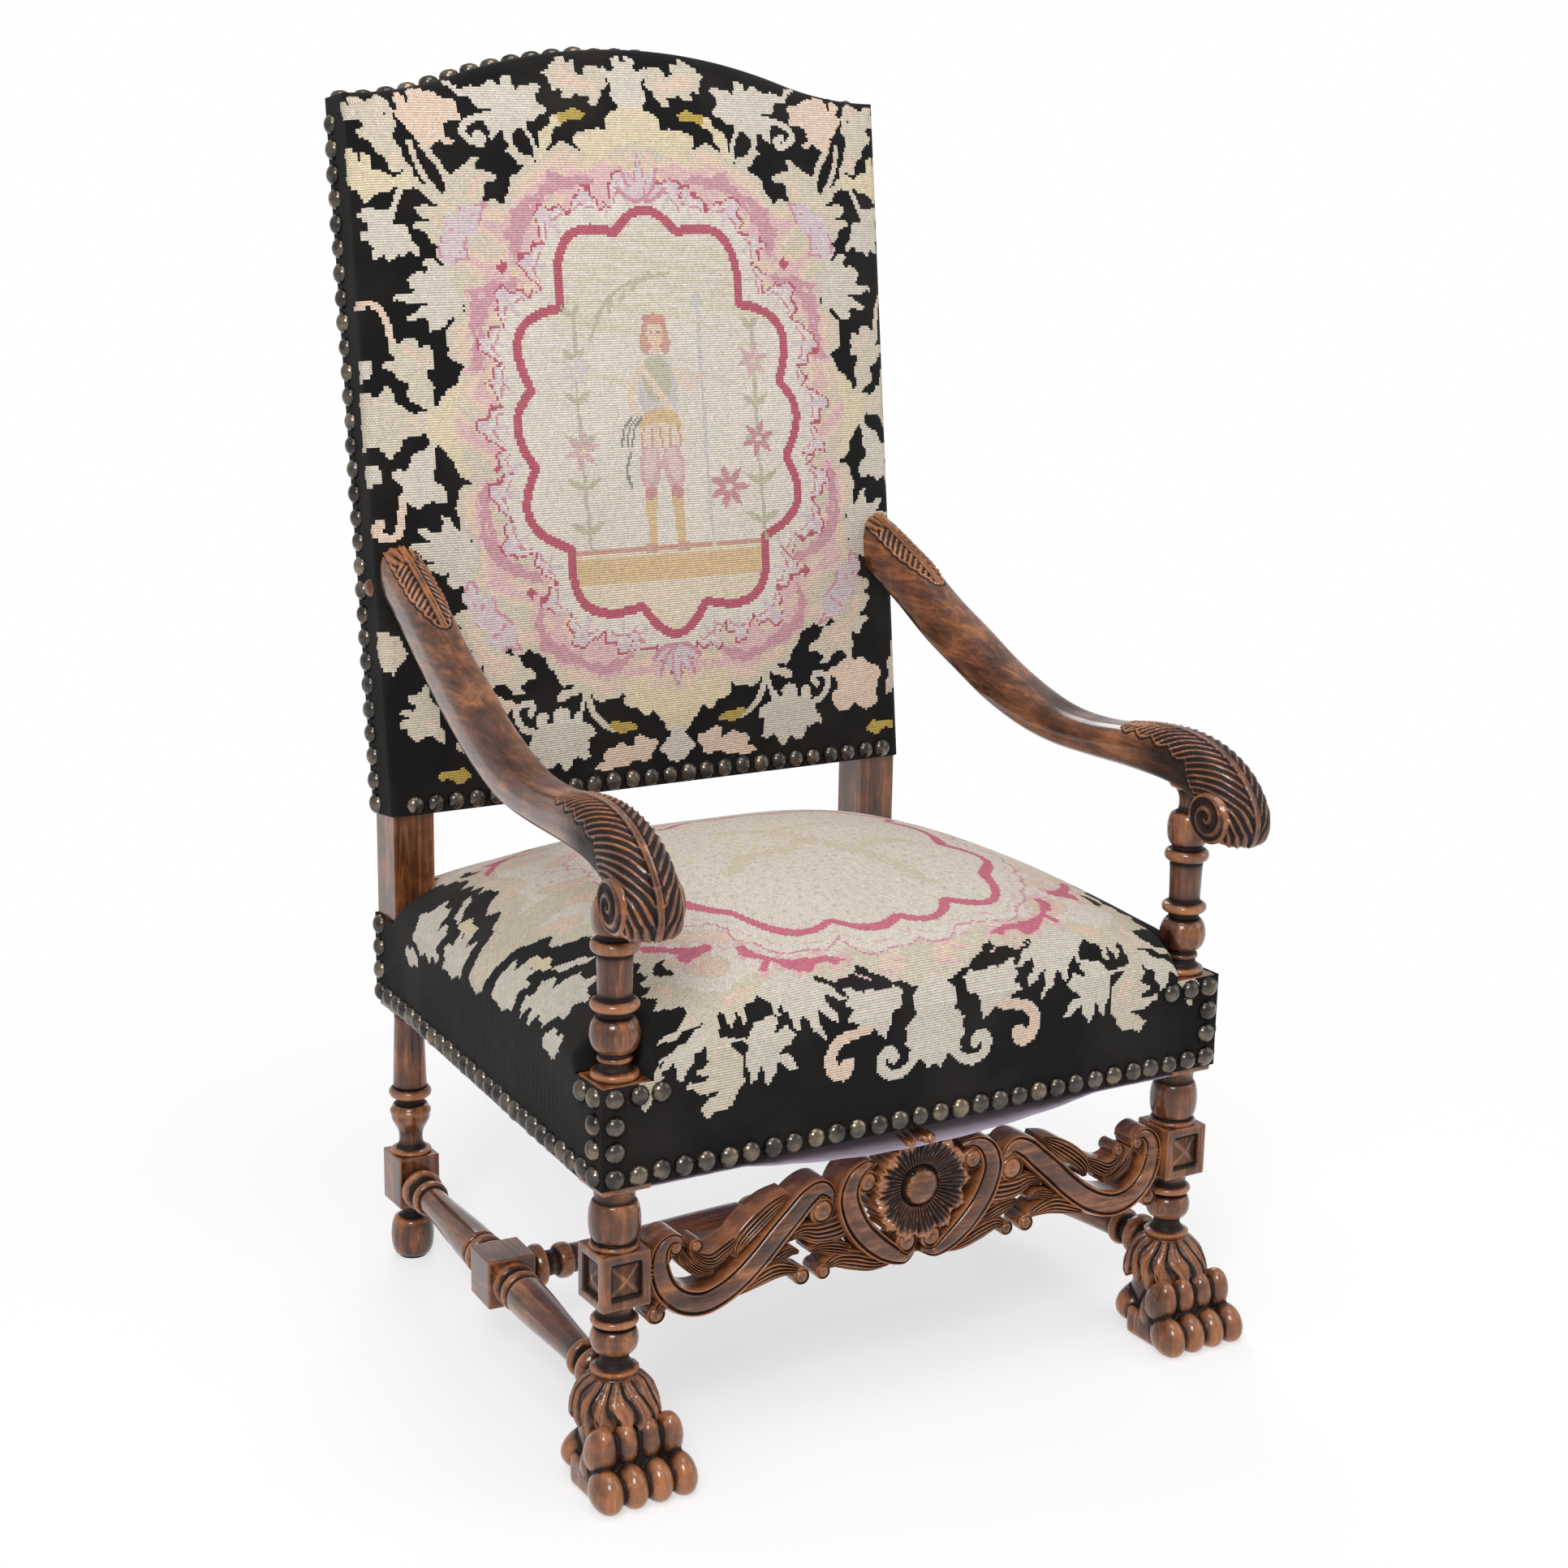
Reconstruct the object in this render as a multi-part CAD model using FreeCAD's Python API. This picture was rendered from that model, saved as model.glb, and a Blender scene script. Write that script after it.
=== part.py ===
import FreeCAD, Part
import math
import os

# High-backed needlepoint armchair: turned and carved hardwood frame, webbed and sprung seat,
# padded back, close-nailed covers. The chair faces -Y and stands on z = 0. Millimetres.

V = FreeCAD.Vector
os.makedirs("parts", exist_ok=True)

# Stance: distances between the leg axes
front_leg_span = 623.0
rear_leg_span = 560.0
leg_depth = 525.0

# Clearances: a joint's play, a soft piece from its neighbour, and the cover's cloth
fit_gap = 0.2
soft_gap = 0.3
cloth = 2.0

# Front posts: square stock and the levels of its blocks
front_stock = 48.0
foot_top_z = 96.0
front_block_low_z = 168.0
front_block_top_z = 220.0
seat_block_low_z = 277.0
seat_block_top_z = 376.0
block_panel_margin = 8.0
block_panel_depth = 2.0
support_peg = 9.0
foot_peg = 11.0

# Rear posts: stock across and along the chair, and the levels of the low block
stile_width = 45.0
stile_depth = 45.0
rear_block_low_z = 61.5
rear_block_top_z = 117.0

# Reclined back
back_low_z = 488.5
back_recline = 6.9
back_side_length = 711.0
back_arch_rise = 49.0
arch_shoulder = 115.0
crest_low = 622.0
back_rail_height = 56.0
back_rail_depth = 35.0
back_edge_pad = 8.0
back_crown = 32.0
back_nail_band = 24.0
back_roll = 40.0
back_band_roll = 12.0

# Seat: rails, padding and its crown
rail_thickness = 30.0
rail_low_z = 283.0
rail_top_z = 372.0
seat_front_edge_z = 398.0
seat_crown_z = 488.0
seat_side_z = 385.0
seat_shoulder_share = 0.62
seat_roll = 70.0
seat_rear_edge = 0.55

# Arms: height of the centre line over the support and at the stile, and its section
arm_front_z = 586.0
arm_rear_z = 718.0
arm_width = 50.0
arm_rear_width = 42.0
arm_height = 46.0
arm_waist_height = 38.0
hand_reach = 97.0
hand_length = 182.0
hand_width = 54.0
hand_drop_z = 520.0
volute_radius = 30.0

# Carved paw feet
paw_toes = 4
paw_toe_pitch = 26.0
paw_toe_reach = 66.0
paw_toe_radius = 13.5
paw_knuckle_radius = 15.5
paw_knuckle_reach = 40.0
paw_knuckle_z = 47.0
paw_root_z = 78.0
paw_gather = 0.35
paw_lobe_radius = 21.0
paw_lobe_offset = 29.0
paw_lobe_back = 9.0
paw_lobe_lift = 3.0
paw_ankle = 27.5
peg_wall = 1.5

# Low stretchers
stretcher_z = 84.0
stretcher_block = 49.0
stretcher_peg = 10.0
peg_length = 17.0
end_margin = 2.0

# Carved front stretcher
carving_low_z = 143.0
carving_height = 127.0
carving_thickness = 26.0
rosette_radius = 50.0
carving_end = 8.0
carving_end_inset = 2.0
carving_end_drop = 16.0
carving_end_rise = 12.0

# Tenons of the seat rails, the back rails and the arms
tenon_thickness = 12.0
tenon_height = 56.0
tenon_length = 18.0
crest_tenon_height = 30.0

# Corner blocks of the seat frame, and the reach of a cutter that only has to clear a piece
corner_leg = 70.0
corner_height = 60.0
cutter_reach = 400.0

# Upholstery under the covers
webbing_width = 50.0
webbing_thickness = 1.5
webbing_lap = 24.0
hessian_thickness = 1.2
hessian_inset = 6.0
spring_rows = 3
spring_radius = 38.0
spring_waist = 26.0
spring_wire = 3.6
dust_cover_thickness = 1.4
dust_cover_sag = 16.0
dust_cover_sag_span = 388.0

# Round-headed nails, close set
nail_radius = 9.6
nail_dome = 6.0
nail_seat = 0.3
nail_pitch = 22.5
back_nail_pitch = 24.0
tack_radius = 3.0
tack_inset = 8.0
tack_pitch = 48.0
bolt_cap_radius = 9.5
bolt_cap_height = 5.0

# Places that follow from the sizes above
front_x = front_leg_span / 2
rear_x = rear_leg_span / 2
half_stock = front_stock / 2
recline = math.radians(back_recline)
back_half_width = rear_x + stile_width / 2
back_top = back_side_length + back_arch_rise
back_reach = back_top * math.sin(recline) + (stile_depth + soft_gap + cloth) * math.cos(recline)
arm_join = (arm_rear_z - back_low_z) / math.cos(recline)
arm_depth = leg_depth - stile_depth / 2 + arm_join * math.sin(recline)
arm_turn = math.atan2(front_x - rear_x, arm_depth)
hand_front = hand_reach * math.cos(arm_turn) + hand_width / 2 * math.sin(arm_turn)
front_y = (hand_front - leg_depth + stile_depth / 2 - back_reach) / 2
rear_y = front_y + leg_depth
stile_face_y = rear_y - stile_depth / 2
stile_rear_y = rear_y + stile_depth / 2
seat_outer_x = front_x + half_stock
seat_front_y = front_y - half_stock
skin = soft_gap + cloth
back_place = FreeCAD.Placement(V(0, stile_face_y, back_low_z), FreeCAD.Rotation(V(1, 0, 0), -back_recline))
SIDES = (("left", -1), ("right", 1))


def export(name, solids):
    shape = solids[0] if len(solids) == 1 else Part.makeCompound(solids)
    shape.exportStep("parts/" + name + ".step")


def box(x0, x1, y0, y1, z0, z1):
    return Part.makeBox(abs(x1 - x0), y1 - y0, z1 - z0, V(min(x0, x1), y0, z0))


def prism(points, depth):
    """Straight-sided solid on a closed outline of points."""
    return Part.Face(Part.makePolygon(points + points[:1])).extrude(depth)


def placed(shape, placement):
    moved = shape.copy()
    moved.Placement = placement.multiply(shape.Placement)
    return moved


def turned(steps, length):
    """Turned piece on the +Z axis. A step is (form, height, radius), heights shared over the length.
    A bead swells out to its radius and back, a cone runs straight to it and a step jumps to it."""
    unit = length / sum(step[1] for step in steps)
    z = 0.0
    radius = steps[0][2]
    edges = [Part.makeLine(V(0, 0, 0), V(radius, 0, 0))]
    for form, height, size in steps[1:]:
        start = V(radius, 0, z)
        z += height * unit
        if form == "bead":
            end = V(radius, 0, z)
            edges.append(Part.Arc(start, V(size, 0, z - height * unit / 2), end).toShape())
        else:
            radius = size
            edges.append(Part.makeLine(start, V(radius, 0, z)))
    edges.append(Part.makeLine(V(radius, 0, z), V(0, 0, z)))
    edges.append(Part.makeLine(V(0, 0, z), V(0, 0, 0)))
    face = Part.Face(Part.Wire(edges))
    return face.revolve(V(0, 0, 0), V(0, 0, 1), 360)


def upright(steps, x, y, z0, z1):
    shape = turned(steps, z1 - z0)
    shape.translate(V(x, y, z0))
    return shape


def stock(x, y, half_x, half_y, z0, z1):
    return box(x - half_x, x + half_x, y - half_y, y + half_y, z0, z1)


def union(shapes):
    return shapes[0].multiFuse(shapes[1:]).removeSplitter()


# Front posts: turned leg, panelled block, seat block and turned arm support in one length
LEG_TURNING = (
    ("step", 0, 20.0), ("cone", 4, 20.0), ("cone", 6, 22.0), ("cone", 11, 13.5), ("cone", 4, 12.5),
    ("cone", 2, 14.0), ("bead", 22, 22.0), ("cone", 2, 17.0), ("bead", 8, 21.7), ("cone", 13, 20.0))
BULB_TURNING = (
    ("step", 0, 19.0), ("bead", 6, 22.5), ("cone", 2, 18.5), ("bead", 34, 23.5), ("cone", 3, 17.5),
    ("cone", 12, 20.5))
SUPPORT_TURNING = (
    ("step", 0, 19.0), ("bead", 8, 22.0), ("cone", 5, 14.0), ("bead", 6, 16.5), ("cone", 4, 13.6),
    ("bead", 30, 22.4), ("cone", 7, 15.5), ("bead", 11, 21.5), ("cone", 4, 15.1), ("cone", 38, 16.2),
    ("bead", 12, 21.7), ("cone", 5, 14.0), ("bead", 31, 20.5), ("cone", 5, 10.5), ("cone", 17, 19.5),
    ("cone", 3, 19.5))
arm_underside_z = arm_front_z - arm_height / 2
rail_z = (rail_low_z + rail_top_z) / 2
front_rail_y = seat_front_y + rail_thickness / 2
side_rail_front_x = seat_outer_x - rail_thickness / 2
side_rail_rear_x = back_half_width - rail_thickness / 2
rear_rail_y = stile_rear_y - rail_thickness / 2


def tenon(x, y, z, along, gap):
    """Rail tenon centred on its shoulder, running both ways along x or y, with play for a mortise."""
    reach = tenon_length + gap
    half = tenon_thickness / 2 + gap
    half_x, half_y = (reach, half) if along == "x" else (half, reach)
    return stock(x, y, half_x, half_y, z - tenon_height / 2 - gap, z + tenon_height / 2 + gap)


def rail_joints(side, gap):
    """The side rail's and the cross rails' tenons at the posts of one side."""
    front_shoulder = side * (front_x - half_stock)
    rear_shoulder = side * (rear_x - stile_width / 2)
    return {
        "front_cross": tenon(front_shoulder, front_rail_y, rail_z, "x", gap),
        "front_side": tenon(side * side_rail_front_x, front_y + half_stock, rail_z, "y", gap),
        "rear_side": tenon(side * side_rail_rear_x, stile_face_y, rail_z, "y", gap),
        "rear_cross": tenon(rear_shoulder, rear_rail_y, rail_z, "x", gap)}


def carving_tenon(side, gap):
    half = tenon_thickness / 2 + gap
    middle = (front_block_low_z + front_block_top_z) / 2
    height = (front_block_top_z - front_block_low_z) / 4
    return stock(side * (front_x - half_stock), front_y, tenon_length + gap, half,
                 middle - height - gap, middle + height + gap)


def panel_cut(normal, x, y):
    """Sunk square panel with a low raised pyramid, on one face of the leg's block."""
    half = half_stock - block_panel_margin
    z = (front_block_low_z + front_block_top_z) / 2
    sunk = box(-half, half, -half, half, -block_panel_depth, block_panel_depth)
    corners = [V(-half, -half, 0), V(half, -half, 0), V(half, half, 0), V(-half, half, 0)]
    base = Part.makePolygon([c - V(0, 0, block_panel_depth) for c in corners + corners[:1]])
    small = Part.makePolygon([c * 0.1 for c in corners + corners[:1]])
    cut = sunk.cut(Part.makeLoft([base, small], True, True))
    place = V(x, y, z) + normal * half_stock
    return placed(cut, FreeCAD.Placement(place, FreeCAD.Rotation(V(0, 0, 1), normal)))


for name, side in SIDES:
    x = side * front_x
    post = union([
        upright(LEG_TURNING, x, front_y, foot_top_z, front_block_low_z),
        stock(x, front_y, half_stock, half_stock, front_block_low_z, front_block_top_z),
        upright(BULB_TURNING, x, front_y, front_block_top_z, seat_block_low_z),
        stock(x, front_y, half_stock, half_stock, seat_block_low_z, seat_block_top_z),
        upright(SUPPORT_TURNING, x, front_y, seat_block_top_z, arm_underside_z),
        Part.makeCylinder(support_peg, peg_length, V(x, front_y, arm_underside_z)),
        Part.makeCylinder(foot_peg, peg_length, V(x, front_y, foot_top_z - peg_length))])
    joints = rail_joints(side, fit_gap)
    cuts = [joints["front_cross"], joints["front_side"], carving_tenon(side, fit_gap)]
    cuts += [panel_cut(V(0, -1, 0), x, front_y), panel_cut(V(side, 0, 0), x, front_y)]
    export(name + "_front_post", [post.cut(cuts)])


# Paw feet: trunk, toes with knuckles and tips, side lobes, all cut flat on the floor
PAW_TRUNK = (
    ("step", 0, 40.0), ("cone", 22, 42.0), ("cone", 22, 33.0), ("cone", 12, 29.0), ("cone", 24, 29.0),
    ("cone", 16, 24.0))


def stretcher_place(side):
    """Frame of a side stretcher: +Z runs back from the front leg's axis to the rear leg's."""
    run = V(side * (rear_x - front_x), leg_depth, 0)
    return FreeCAD.Placement(V(side * front_x, front_y, stretcher_z), FreeCAD.Rotation(V(0, 0, 1), run))


def low_peg(side, start, end, gap):
    """Round tenon of a side stretcher, between two distances from the front leg's axis."""
    peg = Part.makeCylinder(stretcher_peg + gap, end - start, V(0, 0, start))
    return placed(peg, stretcher_place(side))


TOE_TURNING = (
    ("step", 0, 8.0), ("cone", 20, 12.0), ("bead", 34, paw_knuckle_radius), ("cone", 6, 11.0),
    ("bead", 26, paw_toe_radius + 1.0), ("cone", 4, 6.0))
stretcher_run = math.hypot(rear_x - front_x, leg_depth)
paw_peg_start = foot_peg + peg_wall


for name, side in SIDES:
    x = side * front_x
    pieces = [upright(PAW_TRUNK, x, front_y, 0, foot_top_z)]
    for toe in range(paw_toes):
        lane = (toe - (paw_toes - 1) / 2) * paw_toe_pitch
        root = V(x + paw_gather * lane, front_y, paw_root_z)
        tip = V(x + lane, front_y - paw_toe_reach, paw_toe_radius)
        toe_axis = FreeCAD.Rotation(V(0, 0, 1), tip - root)
        length = (tip - root).Length + paw_toe_radius / 2
        pieces.append(placed(turned(TOE_TURNING, length), FreeCAD.Placement(root, toe_axis)))
    half_pad = 1.3 * paw_toe_pitch
    pieces.append(prism([
        V(x - half_pad, front_y - paw_toe_reach, 0), V(x - half_pad, front_y - paw_toe_reach, paw_toe_radius),
        V(x - half_pad, front_y - paw_knuckle_reach, paw_knuckle_z), V(x - half_pad, front_y, paw_knuckle_z),
        V(x - half_pad, front_y, 0)], V(2 * half_pad, 0, 0)))
    for lobe in (-1, 1):
        place = V(x + lobe * paw_lobe_offset, front_y + paw_lobe_back, paw_lobe_radius + paw_lobe_lift)
        pieces.append(Part.makeSphere(paw_lobe_radius, place))
    peg = low_peg(side, paw_peg_start - fit_gap, 2 * paw_ankle, fit_gap)
    socket = Part.makeCylinder(foot_peg + fit_gap, peg_length + fit_gap,
                               V(x, front_y, foot_top_z - peg_length - fit_gap))
    under = box(x - cutter_reach, x + cutter_reach, front_y - cutter_reach, front_y + cutter_reach,
                -cutter_reach, 0)
    export(name + "_paw_foot", [union(pieces).cut([peg, socket, under])])


# Rear posts: ball foot, low block, turned column, then a square stile that bends back at the seat
BALL_TURNING = (
    ("step", 0, 15.0), ("cone", 2, 16.0), ("bead", 42, 22.5), ("cone", 6, 10.5), ("cone", 4, 10.5),
    ("cone", 7.5, 18.0))
COLUMN_TURNING = (
    ("step", 0, 17.0), ("bead", 6, 21.5), ("cone", 10, 12.0), ("cone", 4, 12.5), ("cone", 18, 19.0),
    ("bead", 14, 21.8), ("cone", 8, 14.4), ("cone", 3, 16.0), ("bead", 12, 22.3), ("cone", 4, 17.6),
    ("cone", 76, 15.3), ("cone", 5, 19.0))
half_stile = stile_width / 2


def back_point(u, w):
    """A point of the reclined back, u up its face and w behind it, at x = 0."""
    return back_place.multVec(V(0, w, u))


def back_box(x0, x1, w0, w1, u0, u1):
    return placed(box(x0, x1, w0, w1, u0, u1), back_place)


def back_tenon(x, u0, u1, w0, w1, half_x, gap):
    return back_box(x - half_x - gap, x + half_x + gap, w0 - gap, w1 + gap, u0 - gap, u1 + gap)


def arm_tenon(side, gap):
    half_height = arm_height / 3
    return back_tenon(side * rear_x, arm_join - half_height, arm_join + half_height,
                      -tenon_length, tenon_length, tenon_thickness / 2, gap)


def crest_tenon(side, gap):
    third = stile_depth / 3
    return back_tenon(side * rear_x, crest_low - 1, crest_low + crest_tenon_height,
                      third, 2 * third, stile_width / 3, gap)


def back_rail_tenon(side, gap):
    third = stile_depth / 3
    return back_tenon(side * (rear_x - half_stile), back_rail_height / 4, 3 * back_rail_height / 4,
                      third, 2 * third, tenon_length, gap)


rear_shoulder_run = stretcher_run * (leg_depth - half_stile) / leg_depth
for name, side in SIDES:
    x = side * rear_x
    stile = prism([
        V(x - half_stile, stile_face_y, seat_block_low_z), V(x - half_stile, stile_face_y, back_low_z),
        back_point(crest_low, 0) + V(x - half_stile, 0, 0),
        back_point(crest_low, stile_depth) + V(x - half_stile, 0, 0),
        V(x - half_stile, stile_rear_y, back_low_z - stile_depth * math.tan(recline / 2)),
        V(x - half_stile, stile_rear_y, seat_block_low_z)], V(stile_width, 0, 0))
    post = union([
        upright(BALL_TURNING, x, rear_y, 0, rear_block_low_z),
        stock(x, rear_y, half_stile, half_stile, rear_block_low_z, rear_block_top_z),
        upright(COLUMN_TURNING, x, rear_y, rear_block_top_z, seat_block_low_z),
        stile, crest_tenon(side, 0)])
    joints = rail_joints(side, fit_gap)
    cuts = [joints["rear_side"], joints["rear_cross"], arm_tenon(side, fit_gap)]
    cuts += [back_rail_tenon(side, fit_gap)]
    cuts += [low_peg(side, rear_shoulder_run - 5, rear_shoulder_run + peg_length + fit_gap, fit_gap)]
    export(name + "_rear_post", [post.cut(cuts)])


# Seat rails with their tenons, and the glued corner blocks behind the joints
def side_rail(side):
    inner = rail_thickness
    plan = [V(side * seat_outer_x, front_y + half_stock, rail_low_z),
            V(side * back_half_width, stile_face_y, rail_low_z),
            V(side * (back_half_width - inner), stile_face_y, rail_low_z),
            V(side * (seat_outer_x - inner), front_y + half_stock, rail_low_z)]
    joints = rail_joints(side, 0)
    rail = prism(plan, V(0, 0, rail_top_z - rail_low_z))
    return union([rail, joints["front_side"], joints["rear_side"]])


def cross_rail(end, half_length, y):
    rail = stock(0, y, half_length, rail_thickness / 2, rail_low_z, rail_top_z)
    return union([rail] + [rail_joints(side, 0)[end] for name, side in SIDES])


rails = {
    "front_seat_rail": cross_rail("front_cross", front_x - half_stock, front_rail_y),
    "rear_seat_rail": cross_rail("rear_cross", rear_x - half_stile, rear_rail_y),
    "left_seat_rail": side_rail(-1),
    "right_seat_rail": side_rail(1)}
for name, rail in rails.items():
    export(name, [rail])

corner_blocks = []
for name, side in SIDES:
    for y, turn, x in ((front_rail_y + rail_thickness / 2, 1, front_x - half_stock),
                       (rear_rail_y - rail_thickness / 2, -1, rear_x - half_stile)):
        low = rail_z - corner_height / 2
        plan = [V(side * (x + corner_leg), y, low), V(side * (x - corner_leg), y, low),
                V(side * (x + corner_leg), y + turn * 2 * corner_leg, low)]
        block = prism(plan, V(0, 0, corner_height))
        front_corner = stock(side * front_x, front_y, half_stock, half_stock, 0, rail_top_z)
        rear_corner = stock(side * rear_x, rear_y, half_stile, half_stile, 0, rail_top_z)
        outside = box(side * (x + corner_leg), side * cutter_reach, y - cutter_reach / 2, y + cutter_reach / 2,
                      0, rail_top_z)
        block = block.cut([front_corner, rear_corner, outside] + list(rails.values()))
        corner_blocks.append(max(block.Solids, key=lambda solid: -abs(solid.CenterOfMass.x)))
export("seat_corner_blocks", corner_blocks)


# Low stretchers: two turned side stretchers with a square block at mid length, and the cross one
STRETCHER_HALF = (
    ("step", 0, 15.0), ("cone", 8, 21.0), ("cone", 6, 21.0), ("cone", 5, 13.0), ("cone", 8, 13.0),
    ("bead", 10, 19.0), ("cone", 3, 15.0), ("cone", 110, 20.0), ("cone", 4, 15.0), ("bead", 10, 21.0),
    ("cone", 3, 16.0), ("cone", 8, 21.5), ("cone", 6, 21.5))
CROSS_HALF = (
    ("step", 0, 14.0), ("cone", 8, 21.0), ("cone", 6, 21.0), ("cone", 5, 13.0), ("cone", 8, 13.0),
    ("bead", 12, 18.0), ("cone", 3, 14.5), ("cone", 150, 19.0), ("cone", 4, 15.0), ("bead", 20, 23.0),
    ("cone", 0.5, 15.0))
half_block = stretcher_block / 2
stretcher_mid = (paw_ankle + rear_shoulder_run) / 2


def mid_point(side):
    return stretcher_place(side).multVec(V(0, 0, stretcher_mid))


def mid_block(side):
    square = stock(0, 0, half_block, half_block, stretcher_mid - half_block, stretcher_mid + half_block)
    return placed(square, stretcher_place(side))


cross_half_run = mid_point(1).x
cross_y = mid_point(1).y


def cross_peg(gap):
    reach = cross_half_run - half_block + peg_length + gap
    return Part.makeCylinder(stretcher_peg + gap, 2 * reach, V(-reach, cross_y, stretcher_z), V(1, 0, 0))


for name, side in SIDES:
    near = turned(STRETCHER_HALF, stretcher_mid - half_block - paw_ankle + end_margin)
    near.translate(V(0, 0, paw_ankle - end_margin))
    far = turned(STRETCHER_HALF, stretcher_mid - half_block - paw_ankle + end_margin)
    far = far.mirror(V(0, 0, 0), V(0, 0, 1))
    far.translate(V(0, 0, rear_shoulder_run + end_margin))
    bar = union([placed(near, stretcher_place(side)), placed(far, stretcher_place(side)), mid_block(side)])
    ankle = upright(PAW_TRUNK, side * front_x, front_y, 0, foot_top_z)
    rear_block = stock(side * rear_x, rear_y, half_stile, half_stile, rear_block_low_z, rear_block_top_z)
    bar = bar.cut([ankle, rear_block, cross_peg(fit_gap)])
    pegs = [low_peg(side, paw_peg_start, paw_ankle + 4 * end_margin, 0),
            low_peg(side, rear_shoulder_run - 4 * end_margin, rear_shoulder_run + peg_length, 0)]
    export(name + "_side_stretcher", [union([bar] + pegs)])

half_cross = turned(CROSS_HALF, cross_half_run - half_block + 2 * end_margin)
half_cross.Placement = FreeCAD.Placement(V(-cross_half_run + half_block - 2 * end_margin, cross_y, stretcher_z),
                                         FreeCAD.Rotation(V(0, 0, 1), V(1, 0, 0)))
cross = union([half_cross, half_cross.mirror(V(0, 0, 0), V(1, 0, 0))])
cross = cross.cut([mid_block(-1), mid_block(1)])
export("cross_stretcher", [union([cross, cross_peg(0)])])


# Arms: a lofted bar that dips behind the hand-hold and climbs to the stile, with a scrolled hand
ARM_STATIONS = (
    (0.14, 0.0, 0.0, 0.98), (0.28, -0.015, 0.0, 0.84), (0.38, 0.005, 0.05, 0.86), (0.48, 0.08, 0.2, 1.0),
    (0.58, 0.215, 0.4, 1.13), (0.68, 0.40, 0.6, 1.24), (0.78, 0.60, 0.8, 1.28), (0.88, 0.80, 0.9, 1.28),
    (1.05, 1.10, 1.0, 1.22))
HAND_STATIONS = (
    (1.0, 0.0, 0, 1.0), (0.66, -0.06, 0, 1.1), (0.36, -0.06, 8, 1.12), (0.12, 0.16, 40, 1.05),
    (-0.04, 0.72, 76, 0.9))
arm_run = math.hypot(front_x - rear_x, arm_depth)
behind_stile_face = back_box(-2 * front_x, 2 * front_x, 0, leg_depth, -back_low_z, 2 * back_top)


def arm_place(side):
    """Frame of an arm: its +Y runs back from the front post's axis to the stile."""
    turn = FreeCAD.Rotation(V(0, 0, 1), side * math.degrees(arm_turn))
    return FreeCAD.Placement(V(side * front_x, front_y, 0), turn)


def arm_section(along, z, width, height):
    """Flat-bottomed section with bowed sides and a crowned top."""
    low = V(0.42 * width, along, z - height / 2)
    side = V(0.5 * width, along, z)
    shoulder = V(0.4 * width, along, z + 0.34 * height)
    crown = V(0, along, z + height / 2)

    def flip(point):
        return V(-point.x, point.y, point.z)

    edges = [Part.makeLine(flip(low), low), Part.Arc(low, side, shoulder).toShape(),
             Part.Arc(shoulder, crown, flip(shoulder)).toShape(),
             Part.Arc(flip(shoulder), flip(side), flip(low)).toShape()]
    return Part.Wire(edges)


def arm_bar(grow):
    sections = []
    for share, climb, narrow, swell in ARM_STATIONS:
        width = arm_width + (arm_rear_width - arm_width) * narrow
        z = arm_front_z + (arm_rear_z - arm_front_z) * climb
        sections.append(arm_section(share * arm_run, z, width + 2 * grow, arm_height * swell + 2 * grow))
    return Part.makeLoft(sections, True)


def hand_scroll():
    """Hand-hold: leaf-covered top that rolls over into a volute in front of the support."""
    eye = V(0, volute_radius - hand_reach, hand_drop_z + volute_radius)
    sections = []
    for share, drop, tilt, swell in HAND_STATIONS:
        along = eye.y + share * (hand_length - volute_radius)
        z = arm_front_z + drop * (eye.z - arm_front_z)
        wire = arm_section(0, 0, hand_width, arm_height * swell)
        wire.Placement = FreeCAD.Placement(V(0, along, z), FreeCAD.Rotation(V(1, 0, 0), tilt))
        sections.append(wire)
    roll = Part.makeCylinder(volute_radius, hand_width, eye - V(hand_width / 2, 0, 0), V(1, 0, 0))
    return union([Part.makeLoft(sections, True), roll])


for name, side in SIDES:
    arm = placed(union([arm_bar(0), hand_scroll()]), arm_place(side)).cut(behind_stile_face)
    peg = Part.makeCylinder(support_peg + fit_gap, peg_length + fit_gap,
                            V(side * front_x, front_y, arm_underside_z))
    seat = stock(side * front_x, front_y, half_stock, half_stock, hand_drop_z, arm_underside_z)
    arm = union([arm, arm_tenon(side, 0)]).cut([peg, seat])
    export(name + "_arm", [arm])


# Carved front stretcher: a rosette between C-scrolls, and S-scrolls running out to the leg blocks
carving_half = front_x - half_stock
S_SCROLL = ((0.40, 0.56, 15), (0.345, 0.66, 20), (0.37, 0.82, 22), (0.46, 0.82, 25), (0.57, 0.58, 28),
            (0.68, 0.30, 30), (0.79, 0.18, 30), (0.90, 0.27, 27), (0.93, 0.46, 24), (0.89, 0.62, 18),
            (0.86, 0.58, 12))
C_SCROLL = ((0.20, 0.84, 18), (0.27, 0.80, 22), (0.295, 0.60, 24), (0.25, 0.36, 26), (0.16, 0.19, 26),
            (0.06, 0.14, 22), (0.045, 0.22, 14))
LOWER_LEAF = ((0.10, 0.10, 12), (0.22, 0.15, 22), (0.32, 0.22, 20), (0.40, 0.09, 12))
UPPER_LEAF = ((0.30, 0.40, 20), (0.38, 0.38, 24), (0.47, 0.32, 20), (0.60, 0.22, 14))
INNER_LEAF = ((0.60, 0.58, 12), (0.70, 0.52, 16), (0.78, 0.44, 12), (0.84, 0.40, 8))
END_LEAF = ((0.90, 0.30, 16), (0.945, 0.12, 20), (0.935, 0.02, 12))


def carving_point(share, level):
    return V(share * carving_half, front_y, carving_low_z + level * carving_height)


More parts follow.
